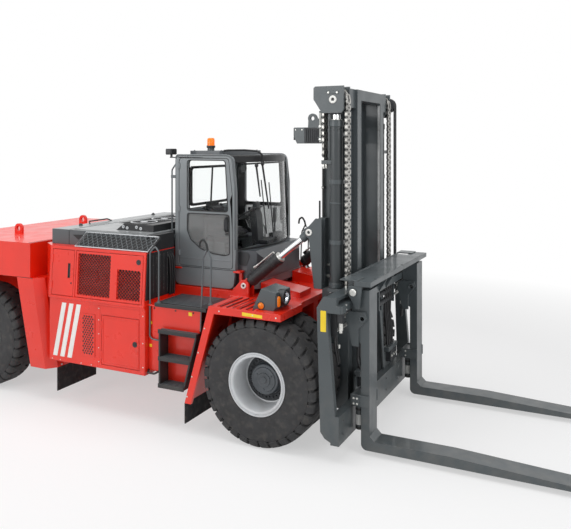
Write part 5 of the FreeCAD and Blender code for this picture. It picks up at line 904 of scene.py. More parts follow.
def link(piece, across, thick, start, stop, half):
    """One flat chain plate between two pin places, in the X-Z plane."""
    start, stop = Vector(start), Vector(stop)
    along = (stop - start).normalized()
    turn = math.atan2(along.z, along.x)
    outline = []
    for centre, first in ((stop, turn - math.pi / 2), (start, turn + math.pi / 2)):
        for step in range(5):
            angle = first + math.pi * step / 4
            outline.append((centre.x + half * math.cos(angle), centre.z + half * math.sin(angle)))
    piece.prism("Y", outline, across, (across + thick))


def leaf_chain(piece, pins, places):
    """Leaves laid side by side, turn about, with a pin at each place."""
    columns, width = 9, 0.136
    share = width / columns
    for column in range(columns):
        across = LIFT.y - width / 2 + column * share
        for index in range(column // 3 % 2, len(places) - 1, 2):
            link(piece, across + 0.001, share - 0.002, places[index], places[index + 1], 0.013)
        for index in range(1 - column // 3 % 2, len(places) - 1, 2):
            link(pins, across + 0.001, share - 0.002, places[index], places[index + 1], 0.007)
    for place in places:
        pins.bar((place[0], (LIFT.y - 0.069), place[2]), (place[0], (LIFT.y + 0.069), place[2]),
                 0.0055, 8)


def run(x, low, high):
    count = round((high - low) / PITCH)
    return [(x, 0, high - (high - low) * index / count) for index in range(count + 1)]


def over_sheave():
    count = 8
    return [(LIFT_AHEAD + CHAIN_R * math.cos(math.pi * index / count), 0,
             SHEAVE_Z + CHAIN_R * math.sin(math.pi * index / count)) for index in range(count + 1)]


front_chain = Piece("chain_front_leaves", "inner_mast", "chain", smooth=30)
front_pins = Piece("chain_front_pins", "inner_mast", "chain_dark", smooth=30)
rear_chain = Piece("chain_rear_leaves", None, "chain", smooth=30)
rear_pins = Piece("chain_rear_pins", None, "chain_dark", smooth=30)
top_chain = Piece("chain_over_sheave", "inner_mast", "chain", smooth=30)
top_pins = Piece("chain_over_sheave_pins", "inner_mast", "chain_dark", smooth=30)
for _ in both(front_chain, front_pins, rear_chain, rear_pins, top_chain, top_pins):
    leaf_chain(front_chain, front_pins, run(LIFT_AHEAD + CHAIN_R, 1.843, SHEAVE_Z))
    leaf_chain(rear_chain, rear_pins, run(LIFT_AHEAD - CHAIN_R, 3.34, SHEAVE_Z))
    leaf_chain(top_chain, top_pins, over_sheave())
squashed = [front_chain.done("chain_front"), front_pins.done()]
stretched = [rear_chain.done("chain_rear"), rear_pins.done()]
top_chain.done()
top_pins.done()
for piece in squashed:
    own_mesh(piece)
for piece in stretched:
    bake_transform(piece)

wheels = Piece("chain_sheaves", "inner_mast", "cast", smooth=30)
for _ in both(wheels):
    middle = (LIFT_AHEAD, LIFT.y, SHEAVE_Z)
    wheels.ring(middle, OUTWARD, [(-0.078, 0.03), (-0.078, 0.06), (-0.055, 0.066), (-0.055, 0.104),
                                  (-0.078, 0.11), (-0.078, 0.14), (-0.071, 0.14), (-0.069, 0.1335),
                                  (0.069, 0.1335), (0.071, 0.14), (0.078, 0.14), (0.078, 0.11),
                                  (0.055, 0.104), (0.055, 0.066), (0.078, 0.06), (0.078, 0.03)],
                48)
    wheels.box((LIFT_AHEAD - 0.05, 0.708, 3.845), (LIFT_AHEAD + 0.05, 0.872, 3.87))
    for across in (0.735, 0.845):
        wheels.bolt((LIFT_AHEAD + 0.03, across, 3.868), UPWARD, 0.009, 0.006)
wheels.done("sheaves")


def chain_anchors(name, body, x, rod, radius, nut, nut_radius, block):
    """Two threaded rods, a nut on each and a block across them, on both sides."""
    ends = Piece(name, body, "zinc", smooth=30)
    for _ in both(ends):
        for across in (0.745, 0.835):
            ends.bar((x, across, rod[0]), (x, across, rod[1]), radius, 12)
            ends.lathe((x, across, nut), UPWARD, [(0, nut_radius), (0.022, nut_radius)], 6)
        ends.box((x - 0.012, 0.722, block[0]), (x + 0.012, 0.858, block[1]))
    ends.done()


chain_anchors("chain_anchors", "carriage", LIFT_AHEAD + CHAIN_R, (1.72, 1.8), 0.014, 1.724, 0.024,
              (1.79, 1.826))
chain_anchors("rear_chain_anchors", "outer_mast", LIFT_AHEAD - CHAIN_R, (3.2, 3.31), 0.013, 3.225,
              0.022, (3.302, 3.335))


# ---- Mast ----
def pin_face(piece, dark, place, radius):
    """The light retaining ring and dark centre of a pin's end."""
    x, y, z = place
    piece.ring((x, y, z), OUTWARD, [(-0.004, radius * 0.42), (-0.004, radius), (0.006, radius),
                                    (0.01, radius * 0.9), (0.01, radius * 0.55),
                                    (0.006, radius * 0.42)], 36)
    dark.lathe((x, y, z), OUTWARD, [(-0.002, radius * 0.44), (0.004, radius * 0.44),
                                    (0.002, radius * 0.2), (0.002, 0)], 28)


inner_rings = Piece("mast_head_pins", "inner_mast", "white", smooth=30)
inner_dots = Piece("mast_head_pin_centres", "inner_mast", "black", smooth=30)
head = Piece("mast_head_fittings", "inner_mast", "slate", bevel=0.003)
keeper = Piece("mast_head_keepers", "inner_mast", "zinc", smooth=30)
for side in both(inner_rings, inner_dots, head, keeper):
    pin_face(inner_rings, inner_dots, (LIFT_AHEAD, 0.902, SHEAVE_Z), 0.047)
    head.prism("Y", round_rect((LIFT_AHEAD - 0.075, 4.085), (LIFT_AHEAD + 0.075, 4.118), 0.01, 3),
               0.901, 0.909)
    for shift in (-0.055, 0.055):
        keeper.bolt((LIFT_AHEAD + shift, 0.909, 4.1015), OUTWARD, 0.01, 0.007)
    head.box((0.52, 0.66, 4.158), (0.6, 0.7, 4.176))
    # welded edge strips along the inner uprights' front flanges
    head.box((0.845, 0.372, 0.3), (0.8645, 0.38, 4.02))
    head.prism("X", [(0.36, 4.03), (0.5, 4.03), (0.5, 3.93), (0.47, 3.93)][::side], 0.8, 0.82)
inner_rings.done()
inner_dots.done()
head.done()
keeper.done()
streak = Piece("mast_worn_edges", "outer_mast", "worn_steel", smooth=0)
for _ in both(streak):
    streak.box((0.77, 0.515, 0.34), (0.7985, 0.5195, 3.88))
streak.done()
worn = Piece("inner_mast_worn_edges", "inner_mast", "worn_steel", smooth=0)
for _ in both(worn):
    worn.box((0.83, 0.3625, 0.27), (0.86, 0.3668, 4.0))
worn.done()

mast = Piece("outer_mast_fittings", "outer_mast", "slate", bevel=0.003)
dark = Piece("outer_mast_dark_fittings", "outer_mast", "plastic", bevel=0.002)
light = Piece("outer_mast_light_fittings", "outer_mast", "zinc", smooth=30)
rings = Piece("tilt_eye_rings", "outer_mast", "white", smooth=30)
dots = Piece("tilt_eye_centres", "outer_mast", "black", smooth=30)
lines = Piece("outer_mast_pipes", "outer_mast", "hose", smooth=40)
for _ in both(rings, dots, mast, light, lines, dark):
    pin_face(rings, dots, (0.373, 0.867, 2.43), 0.042)
    # gland and bands of the lift cylinder
    for low, high, radius in ((3.7, 3.776, 0.0875), (3.66, 3.668, 0.084), (1.786, 1.84, 0.0875),
                              (1.842, 1.85, 0.084), (2.78, 2.8, 0.0835)):
        band(mast, (LIFT_AHEAD, LIFT.y, low), UPWARD, 0.078, radius, high - low)
    light.ring((LIFT_AHEAD, LIFT.y, 3.776), UPWARD, [(0, 0.052), (0, 0.072), (0.01, 0.07),
                                                     (0.013, 0.06), (0.013, 0.052)], 36)
    for z in (2.3, 3.02):
        # straps round the cylinder, back to the upright
        mast.boxes(
            (LIFT_AHEAD - 0.086, 0.655, z, LIFT_AHEAD - 0.076, 0.8, z + 0.05),
            (LIFT_AHEAD + 0.076, 0.655, z, LIFT_AHEAD + 0.086, 0.8, z + 0.05))
        mast.ring((LIFT_AHEAD, LIFT.y, z), UPWARD, [(0, 0.079), (0, 0.087), (0.05, 0.087),
                                                    (0.05, 0.079)], 40)
        light.bolt((LIFT_AHEAD + 0.086, 0.7, z + 0.025), (1, 0, 0), 0.009)
        light.bolt((LIFT_AHEAD - 0.086, 0.7, z + 0.025), (-1, 0, 0), 0.009)
    # the port and pipe at the cylinder's foot
    light.bar((LIFT_AHEAD - 0.07, 0.75, 1.9), (LIFT_AHEAD - 0.155, 0.7, 1.9), 0.016, 14)
    light.lathe((LIFT_AHEAD - 0.125, 0.7175, 1.9), (-0.07, -0.04, 0), [(0, 0.022), (0.028, 0.022)],
                6)
    light.tube([(0.44, 0.685, 2.03), (0.6, 0.685, 2.03), (0.6, 0.685, 2.135)], 0.011, 12,
               bend=0.03)
    light.bar((0.6, 0.685, 2.09), (0.6, 0.685, 2.155), 0.017, 12)
    light.bar((0.565, 0.685, 2.03), (0.595, 0.685, 2.03), 0.016, 6)
    lines.tube([(0.535, 0.7, 1.9), (0.505, 0.695, 1.9), (0.49, 0.69, 2.2), (0.49, 0.69, 3.42)],
               0.013, 10, bend=0.05)
    lines.tube([(0.455, 0.675, 2.03), (0.435, 0.675, 2.03), (0.435, 0.675, 2.8)], 0.011, 10,
               bend=0.03)
    for z in (2.45, 2.95, 3.35):
        dark.box((0.474, 0.661, z), (0.507, 0.708, z + 0.03))
        light.bolt((0.49, 0.708, z + 0.015), OUTWARD, 0.006)
    # lamp on the arm behind the mast's head
    dark.prism("Y", [(0.225, 3.505), (0.445, 3.505), (0.445, 3.695), (0.225, 3.695)], 0.66, 0.672)
    for index in range(7):
        x = 0.245 + index * 0.028
        dark.box((x, 0.67, 3.52), (x + 0.012, 0.68, 3.68))
    light.bar((0.452, 0.695, 3.515), (0.452, 0.695, 3.875), 0.0115, 12)
    for z in (3.545, 3.7):
        light.lathe((0.452, 0.695, z), UPWARD, [(0, 0.023), (0.02, 0.023)], 6)
        light.lathe((0.452, 0.695, z - 0.004), UPWARD, [(0, 0.03), (0.004, 0.03)], 20)
    mast.boxes(
        (0.425, 0.655, 3.565, 0.478, 0.722, 3.578),
        (0.425, 0.655, 3.683, 0.478, 0.722, 3.696))
    for x in (0.1, 0.19):
        light.bolt((x, 0.66, 3.672), OUTWARD, 0.007)
    # bolts on the cross beams' ends and the foot of the cylinder
    for z in (2.185, 2.295, 3.755, 3.865, 0.335, 0.445):
        light.bolt((0.4195, 0.6, z), (-1, 0, 0), 0.012)
    for x, y in ((-0.055, 0.735), (0.055, 0.735), (-0.055, 0.845), (0.055, 0.845)):
        light.bolt((LIFT_AHEAD + x, y, 1.7358), (0, 0, -1), 0.011)
    # wear-pad adjusters on the upright's outside
    for z in (3.6, 3.48):
        light.lathe((0.6, 0.66, z), OUTWARD, [(0, 0.02), (0.004, 0.02), (0.004, 0.012),
                                              (0.016, 0.012), (0.016, 0)], 20)
# these outlines and the lenses' have their corners turned out on the right
for _, side in SIDES:
    dark.prism("X", round_rect((side * 0.5925, 3.545), (side * 0.6575, 3.69), 0.012, 4), 0.0735,
               0.083)
for piece in (mast, dark, light, rings, dots, lines):
    piece.done()
glow = Piece("mast_lamp_lenses", "outer_mast", "lens", smooth=30)
for _, side in SIDES:
    glow.prism("X", round_rect((side * 0.598, 3.552), (side * 0.652, 3.683), 0.008, 4), 0.0705,
               0.075)
glow.done()

# the hose sheave and its hoses, on the left only
reel = Piece("hose_reel", "inner_mast", "cast", smooth=30)
reel.ring((0.79, 0.965, 4.03), (0, 1, 0), [(-0.055, 0.02), (-0.055, 0.092), (-0.048, 0.092),
                                           (-0.045, 0.08), (0.045, 0.08), (0.048, 0.092),
                                           (0.055, 0.092), (0.055, 0.02)], 40)
reel.bar((0.79, 0.9, 4.03), (0.79, 1.03, 4.03), 0.024, 20)
reel.lathe((0.79, 1.022, 4.03), (0, 1, 0), [(0, 0.034), (0.014, 0.034), (0.018, 0.026),
                                            (0.018, 0)], 6)
reel.done()
loops = Piece("hose_loops", "inner_mast", "hose", smooth=40)
fixed = Piece("mast_hoses_rear", None, "hose", smooth=40)
moving = Piece("mast_hoses_front", "inner_mast", "hose", smooth=40)
for lane in (-0.03, 0.0, 0.03):
    y = 0.965 + lane
    loops.tube([(0.79 + 0.093 * math.cos(math.pi * k / 14), y,
                 4.03 + 0.093 * math.sin(math.pi * k / 14)) for k in range(15)], 0.0125, 10)
    moving.tube([(0.883, y, 4.03 - (4.03 - 1.83) * k / 22) for k in range(23)], 0.0125, 10)
    fixed.tube([(0.697, y, 4.03 - (4.03 - 3.4) * k / 8) for k in range(9)], 0.0125, 10)
loops.done()
moving_piece = moving.done()
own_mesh(moving_piece)
fixed_piece = fixed.done()
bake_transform(fixed_piece)
clamp = Piece("hose_clamps", "outer_mast", "slate", bevel=0.003)
clamp.boxes(
    (0.66, 0.875, 3.36, 0.74, 1.02, 3.405),
    (0.68, 0.865, 3.366, 0.72, 0.9, 3.4))
clamp.done()
lower = Piece("hose_clamp_carriage", "carriage", "slate", bevel=0.003)
lower.box((0.866, 0.9, 1.765), (0.901, 1.03, 1.825))
lower.done()


# ---- Tilt cylinders ----
FOOT, EYE = Vector((-0.52, 0, 1.71)), Vector((0.373, 0, 2.43))
TILT = (EYE - FOOT).normalized()
UP = Vector((-TILT.z, 0, TILT.x))


def on_tilt(reach, up=0.0):
    return FOOT + TILT * reach + UP * up + Vector((0, 0.8, 0))


for name, side in SIDES:
    body = f"tilt_barrel_{name}"
    tube = Piece(f"tilt_barrel_bands_{name}", body, "black", bevel=0.001, smooth=30, side=side)
    for start, stop, radius in ((0.112, 0.15, 0.0795), (0.545, 0.6, 0.0815), (0.5, 0.508, 0.078)):
        band(tube, on_tilt(start), TILT, 0.07, radius, stop - start)
    block, half = on_tilt(0.2, 0.085), Vector((0.028, 0.028, 0.028))
    tube.box(block - half, block + half, ("Y", -math.degrees(math.atan2(TILT.z, TILT.x))))
    tube.done()
    nut = Piece(f"tilt_gland_{name}", body, "zinc", smooth=30, side=side)
    nut.ring(on_tilt(0.6), TILT, [(0, 0.04), (0, 0.066), (0.006, 0.068), (0.022, 0.066),
                                  (0.026, 0.055), (0.026, 0.04)], 36)
    nut.bar(on_tilt(0.215, 0.105), on_tilt(0.3, 0.105), 0.011, 12)
    nut.lathe(on_tilt(0.226, 0.105), TILT, [(0, 0.018), (0.022, 0.018)], 6)
    nut.bar(on_tilt(0.3, 0.105), on_tilt(0.56, 0.105), 0.008, 12)
    nut.tube([on_tilt(0.54, 0.105), on_tilt(0.575, 0.105), on_tilt(0.575, 0.075)], 0.008, 12,
             bend=0.015)
    nut.done()
    cover = Piece(f"tilt_rod_guard_{name}", body, "black", bevel=0.002, smooth=30, side=side)
    for reach in (0.33, 0.47):
        cover.ring(on_tilt(reach), TILT, [(0, 0.0745), (0, 0.0775), (0.012, 0.0775),
                                          (0.012, 0.0745)], 40)
    cover.done()
    eye = Piece(f"tilt_rod_eye_{name}", f"tilt_rod_{name}", "slate", smooth=30, bevel=0.002,
                side=side)
    length = (EYE - FOOT).length
    eye.lathe(on_tilt(length - 0.15), TILT, [(0, 0.039), (0.004, 0.052), (0.055, 0.054),
                                             (0.078, 0.05), (0.084, 0.039)], 32)
    eye.bolt(on_tilt(length - 0.12, 0.051), UP, 0.008)
    eye.bolt(on_tilt(length - 0.09, 0.0515), UP, 0.008)
    eye.done()
feet = Piece("tilt_foot_rings", "truck", "white", smooth=30)
foot_dots = Piece("tilt_foot_centres", "truck", "black", smooth=30)
for _ in both(feet, foot_dots):
    pin_face(feet, foot_dots, (FOOT.x, 0.877, FOOT.z), 0.037)
feet.done()
foot_dots.done()


# ---- Carriage and forks ----
frame_bits = Piece("carriage_fittings", "carriage", "slate", bevel=0.003)
dark_bits = Piece("carriage_dark_fittings", "carriage", "plastic", bevel=0.002, smooth=30)
light_bits = Piece("carriage_light_fittings", "carriage", "zinc", smooth=30)
hoses = Piece("carriage_hoses", "carriage", "hose", smooth=40)
film = Piece("carriage_blank_labels", "carriage", "yellow", smooth=0)
for _ in both(film, frame_bits, dark_bits, light_bits, hoses):
    # blank yellow plates
    film.prism("Y", round_rect((0.784, 1.43), (0.85, 1.662), 0.006, 3), 1.4695, 1.4715)
    # raised pads on the shelf and its front lip
    frame_bits.boxes(
        (0.905, 0.99, 1.958, 1.117, 1.198, 1.972),
        (1.235, 0.06, 1.958, 1.268, 0.985, 1.966),
        (0.905, 0.06, 1.958, 0.935, 0.985, 1.966))
    # boxed end of the upper beam with its stop
    frame_bits.box((1.018, 1.36, 1.645), (1.046, 1.468, 1.72))
    dark_bits.box((0.95, 1.33, 1.52), (1.01, 1.39, 1.642))
    light_bits.bar((0.98, 1.36, 1.44), (0.98, 1.36, 1.524), 0.026, 16)
    light_bits.bar((0.98, 1.36, 1.41), (0.98, 1.36, 1.442), 0.018, 6)
    # shaft's end: chrome shoulder and collar
    light_bits.lathe((1.066, 1.202, 1.835), OUTWARD, [(-0.006, 0.033), (0.0, 0.04), (0.02, 0.04),
            (0.026, 0.034), (0.026, 0)], 32)
    # cylinders that shift the forks, low behind the upper beam
    for z, start, stop in ((1.515, 0.12, 0.86), (1.405, 0.12, 0.7)):
        dark_bits.bar((0.895, start, z), (0.895, stop, z), 0.036, 24)
        dark_bits.bar((0.895, (stop - 0.05), z), (0.895, (stop + 0.012), z), 0.041, 24)
        dark_bits.bar((0.895, (start - 0.002), z), (0.895, (start + 0.03), z), 0.041, 24)
        light_bits.bar((0.895, (stop + 0.01), z), (0.895, 1.345, z), 0.018, 16)
        dark_bits.box((0.875, 0.13, z + 0.03), (0.915, 0.17, z + 0.052))
    dark_bits.box((0.86, 1.33, 1.36), (0.93, 1.355, 1.642))
    # plates that hang below the beam and carry the cylinders
    frame_bits.boxes(
        (0.862, 0.085, 1.33, 0.94, 0.118, 1.645),
        (0.862, 0.72, 1.34, 0.94, 0.745, 1.645))
    # hoses looped down behind the plates and back to the valve block
    for lane in range(4):
        y = 0.4 + lane * 0.075
        hoses.tube([(0.93, y, 1.645), (0.915, y, 1.3 - lane * 0.05), (0.925, (y + 0.05),
                1.02 - lane * 0.04), (0.945, (y + 0.02), 0.8)], 0.013, 10, bend=0.08)
        light_bits.lathe((0.93, y, 1.625), UPWARD, [(0, 0.019), (0.018, 0.019)], 6)
    for lane in range(2):
        y = 1.24 + lane * 0.05
        hoses.tube([(0.9, y, 1.645), (0.875, y, 1.46), (0.9, (y + 0.04), 1.24), (0.9, (y - 0.05),
                1.02)], 0.013, 10, bend=0.09)
    light_bits.lathe((0.9, 1.23, 1.2), UPWARD, [(0, 0.022), (0.04, 0.022)], 6)
    frame_bits.boxes(
        (0.905, 0.36, 0.74, 0.985, 0.74, 0.8),
        (0.905, 0.36, 0.52, 0.925, 0.74, 0.76))
    dark_bits.box((0.925, 0.42, 0.6), (0.992, 0.68, 0.742))
    for y in (0.46, 0.55, 0.64):
        light_bits.bolt((0.992, y, 0.67), (1, 0, 0), 0.014)
    for y in (0.2, 0.7, 1.35):
        frame_bits.bolt((1.0, y, 0.3), (1, 0, 0), 0.01)
        frame_bits.bolt((1.0, y, 0.45), (1, 0, 0), 0.01)
    for z in (1.66, 1.71):
        light_bits.bolt((1.02, 1.3, z), (1, 0, 0), 0.01)
    # slanting braces seen between the forks
    frame_bits.prism("X", [(0.3, 0.52), (0.36, 0.52), (0.2, 1.33), (0.14, 1.33)], 0.915, 0.935)
for piece in (frame_bits, dark_bits, light_bits, hoses, film):
    piece.done()

for name, side in SIDES:
    body = f"fork_{name}"
    boss = Piece(f"fork_hanger_boss_{name}", body, "slate", smooth=30, bevel=0.003, side=side)
    for face, out in ((1.15, 1), (0.83, -1)):
        boss.ring((1.152, face, 1.535), (0, out, 0), [(-0.002, 0.0225), (-0.002, 0.046),
                (0.005, 0.046), (0.008, 0.042), (0.008, 0.027), (0.004, 0.0225)], 36)
    boss.done()
    clamp = Piece(f"fork_clamp_{name}", body, "slate", bevel=0.004, side=side)
    low, high = 0.545, 0.675
    clamp.boxes(
        (1.01, 1.118, low, 1.236, 1.142, high),
        (1.01, 0.838, low, 1.236, 0.862, high),
        (1.0075, 0.845, low + 0.01, 1.022, 1.135, high - 0.01),
        (1.03, 1.142, low + 0.02, 1.118, 1.16, high - 0.02))
    clamp.done()
    bolts = Piece(f"fork_clamp_bolts_{name}", body, "zinc", smooth=30, side=side)
    for z in (low + 0.035, high - 0.035):
        bolts.bolt((1.055, 1.16, z), OUTWARD, 0.01)
        bolts.bolt((1.095, 1.16, z), OUTWARD, 0.01)
        bolts.bolt((1.07, 0.838, z), (0, -1, 0), 0.01)
    bolts.done()
    jack = Piece(f"fork_jack_{name}", body, "black", smooth=30, bevel=0.001, side=side)
    centre = (1.0645, 0.99, 0)
    for low, high, radius in ((0.24, 0.275, 0.046), (0.455, 0.48, 0.045), (0.53, 0.562, 0.046)):
        band(jack, (centre[0], centre[1], low), UPWARD, 0.03, radius, high - low, 0.004, 36)
    jack.done()
    sleeve = Piece(f"fork_jack_sleeve_{name}", body, "white", smooth=30, side=side)
    sleeve.ring((centre[0], centre[1], 0.295), UPWARD, [(0, 0.0415), (0, 0.0445), (0.115, 0.0445),
            (0.115, 0.0415)], 36)
    sleeve.done()
    heel = Piece(f"fork_heel_{name}", body, "slate", smooth=35, side=side)
    bend = [(1.195 - 0.066 * math.cos(math.pi / 12 * turn),
             0.128 - 0.066 * math.sin(math.pi / 12 * turn)) for turn in range(7)]
    heel.prism("Y", bend, 0.858, 1.122)
    heel.done()
    wear = Piece(f"fork_worn_blade_{name}", body, "worn_steel", smooth=0, side=side)
    wear.prism("Z", [(1.62, 0.87), (3.56, 0.872), (3.6, 0.9), (3.6, 1.08), (3.56, 1.108),
                     (1.62, 1.11)], 0.0605, 0.0625)
    wear.done()


# ---- Cab ----
CAB_Y = 0.8


def soft_corners(outline, radius, steps=4):
    """A closed outline with its corners turned into arcs."""
    spots = [Vector((a, b, 0)) for a, b in outline]
    middle = (spots[0] + spots[-1]) / 2
    path = rounded([middle] + spots + [middle], radius, steps)
    return [(point.x, point.y) for point in path[:-1]]


def grown(outline, by):
    """An anticlockwise outline moved outwards all round, or inwards below 0."""
    spots = [Vector(pair) for pair in outline]
    made = []
    for index, spot in enumerate(spots):
        first = (spot - spots[index - 1]).normalized()
        second = (spots[(index + 1) % len(spots)] - spot).normalized()
        normals = Vector((first.y, -first.x)), Vector((second.y, -second.x))
        made.append(tuple(spot + (normals[0] + normals[1]) * by / (1 + normals[0].dot(normals[1]))))
    return made


def bow(y, reach=0.19, half=0.75):
    """How far the bowed front stands out at a place across the cab."""
    radius = (half * half + reach * reach) / (2 * reach)
    return math.sqrt(radius * radius - y * y) - (radius - reach)


def screen_x(z):
    """The front plane's place at the cab's corner post."""
    return -0.7 - max(0.0, z - 2.12) * 0.035


def bowed_strip(piece, low, high, depth, half=0.75, out=0.0, steps=24):
    """A strip across the bowed front between two heights."""
    rings = []
    for index in range(steps + 1):
        y = -half + 2 * half * index / steps
        ring = []
        for z, back in ((low, 0.0), (high, 0.0), (high, depth), (low, depth)):
            ring.append((screen_x(z) + bow(y) + out - back, y, z))
        rings.append(ring)
    return piece.shell(rings)


DOOR = [(-1.545, 1.89), (-0.728, 1.89), (-0.735, 2.85), (-0.79, 3.305), (-1.545, 3.305)]
UPPER = [(-1.418, 2.618), (-0.795, 2.618), (-0.835, 3.282), (-1.418, 3.282)]
LOWER = [(-1.418, 2.36), (-1.36, 2.235), (-1.21, 2.125), (-1.02, 2.07), (-0.85, 2.055),
         (-0.768, 2.075), (-0.775, 2.582), (-1.418, 2.582)]
SIDE = [(-1.61, 1.632), (-0.712, 1.632), (-0.69, 1.86), (-0.678, 2.1), (-0.678, 2.85),
        (-0.722, 3.345), (-1.575, 3.345), (-1.61, 3.3)]
shell = Piece("cab_side_frames", "truck", "cab", bevel=0.006, smooth=35)
lining = Piece("cab_side_linings", "truck", "gasket", smooth=35)
seal = Piece("cab_opening_seals", "truck", "gasket", smooth=35)
for _ in both(shell, lining, seal):
    opening = soft_corners(grown(DOOR, 0.007), 0.05)
    outline = soft_corners(SIDE, 0.09, 6)
    shell.prism("Y", outline, 0.752, CAB_Y, [opening])
    lining.prism("Y", soft_corners(grown(SIDE, -0.03), 0.08, 6), 0.744, 0.7525,
                 [soft_corners(grown(DOOR, 0.02), 0.05)])
    seal.prism("Y", soft_corners(grown(DOOR, 0.01), 0.052), 0.786, 0.79,
               [soft_corners(grown(DOOR, -0.002), 0.046)])
lining.done()
seal.done()
# rear wall round its wide window, floor, front wall and the roof's pan
shell.prism("X", [(-0.76, 1.632), (0.76, 1.632), (0.76, 3.325), (-0.76, 3.325)], -1.606, -1.568,
            [round_rect((-0.7, 2.6), (0.7, 3.285), 0.05, 4)])
shell.boxes(
    (-1.575, -0.76, 1.632, -0.715, 0.76, 1.868),
    (-0.742, -0.76, 1.86, -0.705, 0.76, 2.118))
roof = [(-1.6, -0.765), (-0.8, -0.765)]
roof += [(-0.8 + bow(y) * 0.9, y) for y in (-0.7, -0.5, -0.25, 0, 0.25, 0.5, 0.7)]
roof += [(-0.8, 0.765), (-1.6, 0.765)]
shell.prism("Z", roof, 3.3, 3.342)
bowed_strip(shell, 2.108, 2.135, 0.03)
plinth = Piece("cab_plinth", "truck", "cab", bevel=0.004)
plinth.box((-1.55, -0.64, 1.6235), (-0.46, 0.64, 1.64))
plinth.prism("Z", [(-0.76, -0.692), (-0.52, -0.692), (-0.41, -0.6), (-0.41, 0.6), (-0.52, 0.692),
                   (-0.76, 0.692)], 1.632, 1.7385)
plinth.done()
shell.done("cab_shell")
lip = Piece("cab_roof_rails", "truck", "rail", bevel=0.003, smooth=35)
for _ in both(lip):
    lip.tube([(-1.6, 0.796, 3.3), (-1.585, 0.796, 3.348), (-0.735, 0.796, 3.348), (-0.69, 0.796,
            2.95), (-0.684, 0.796, 2.14)], 0.0125, 10, bend=0.1)
lip.done()
band = Piece("cab_skirt_seams", "truck", "gasket", smooth=0)
for _ in both(band):
    band.box((-1.607, 0.7995, 1.868), (-0.692, 0.8015, 1.875))
band.done()
mounts = Piece("cab_mounts", "truck", "red", bevel=0.003)
for _ in both(mounts):
    mounts.boxes(
        (-1.6, 0.797, 1.842, -1.5, 0.815, 1.862),
        (-0.708, 0.7, 1.846, -0.605, 0.815, 1.868),
        (-0.66, 0.705, 1.7, -0.62, 0.745, 1.85))
mounts.done()
brow = Piece("cab_brow", "truck", "black", bevel=0.004, smooth=35)
bowed_strip(brow, 3.255, 3.335, 0.07, 0.765, 0.004)
bowed_strip(brow, 3.325, 3.347, 0.16, 0.765, -0.01)
brow.done()
top = Piece("roof_plate", "truck", "charcoal", bevel=0.004)
top.prism("Z", round_rect((-1.555, -0.56), (-1.02, 0.56), 0.05, 4), 3.338, 3.404)
for x in (-1.5, -1.07):
    for y in (-0.5, 0.5):
        top.bolt((x, y, 3.404), UPWARD, 0.01)
top.done()

panes = Piece("cab_fixed_panes", "truck", "glass", smooth=40)
rings = []
for index in range(33):
    y = -0.752 + 1.504 * index / 32
    rings.append([(screen_x(z) + bow(y, half=0.752) - back, y, z) for z, back in ((2.13, 0.0),
            (3.262, 0.0), (3.262, 0.006), (2.13, 0.006))])
panes.shell(rings)
panes.box((-1.59, -0.705, 2.595), (-1.585, 0.705, 3.29))
panes.done("cab_glass")
edge = Piece("cab_pane_seals", "truck", "gasket", smooth=40)
for _ in both(edge):
    edge.tube([(screen_x(z) + 0.006, 0.757, z) for z in (2.12, 2.5, 2.9, 3.24)], 0.013, 8)
bowed_strip(edge, 2.118, 2.142, 0.02, 0.75, 0.008)
edge.prism("X", round_rect((-0.715, 2.585), (0.715, 3.3), 0.06, 4), -1.611, -1.604,
           [round_rect((-0.69, 2.61), (0.69, 3.275), 0.045, 4)])
edge.prism("X", round_rect((-0.5, 2.64), (0.53, 3.19), 0.05, 4), -1.583, -1.555,
           [round_rect((-0.465, 2.675), (0.495, 3.155), 0.035, 4)])
edge.box((-1.582, 0.045, 2.645), (-1.57, 0.075, 3.17), ("X", -5))
edge.done()
slider = Piece("cab_rear_slider", "truck", "glass", smooth=0)
slider.prism("X", round_rect((-0.47, 2.67), (0.5, 3.16), 0.035, 4), -1.572, -1.567)
slider.done()

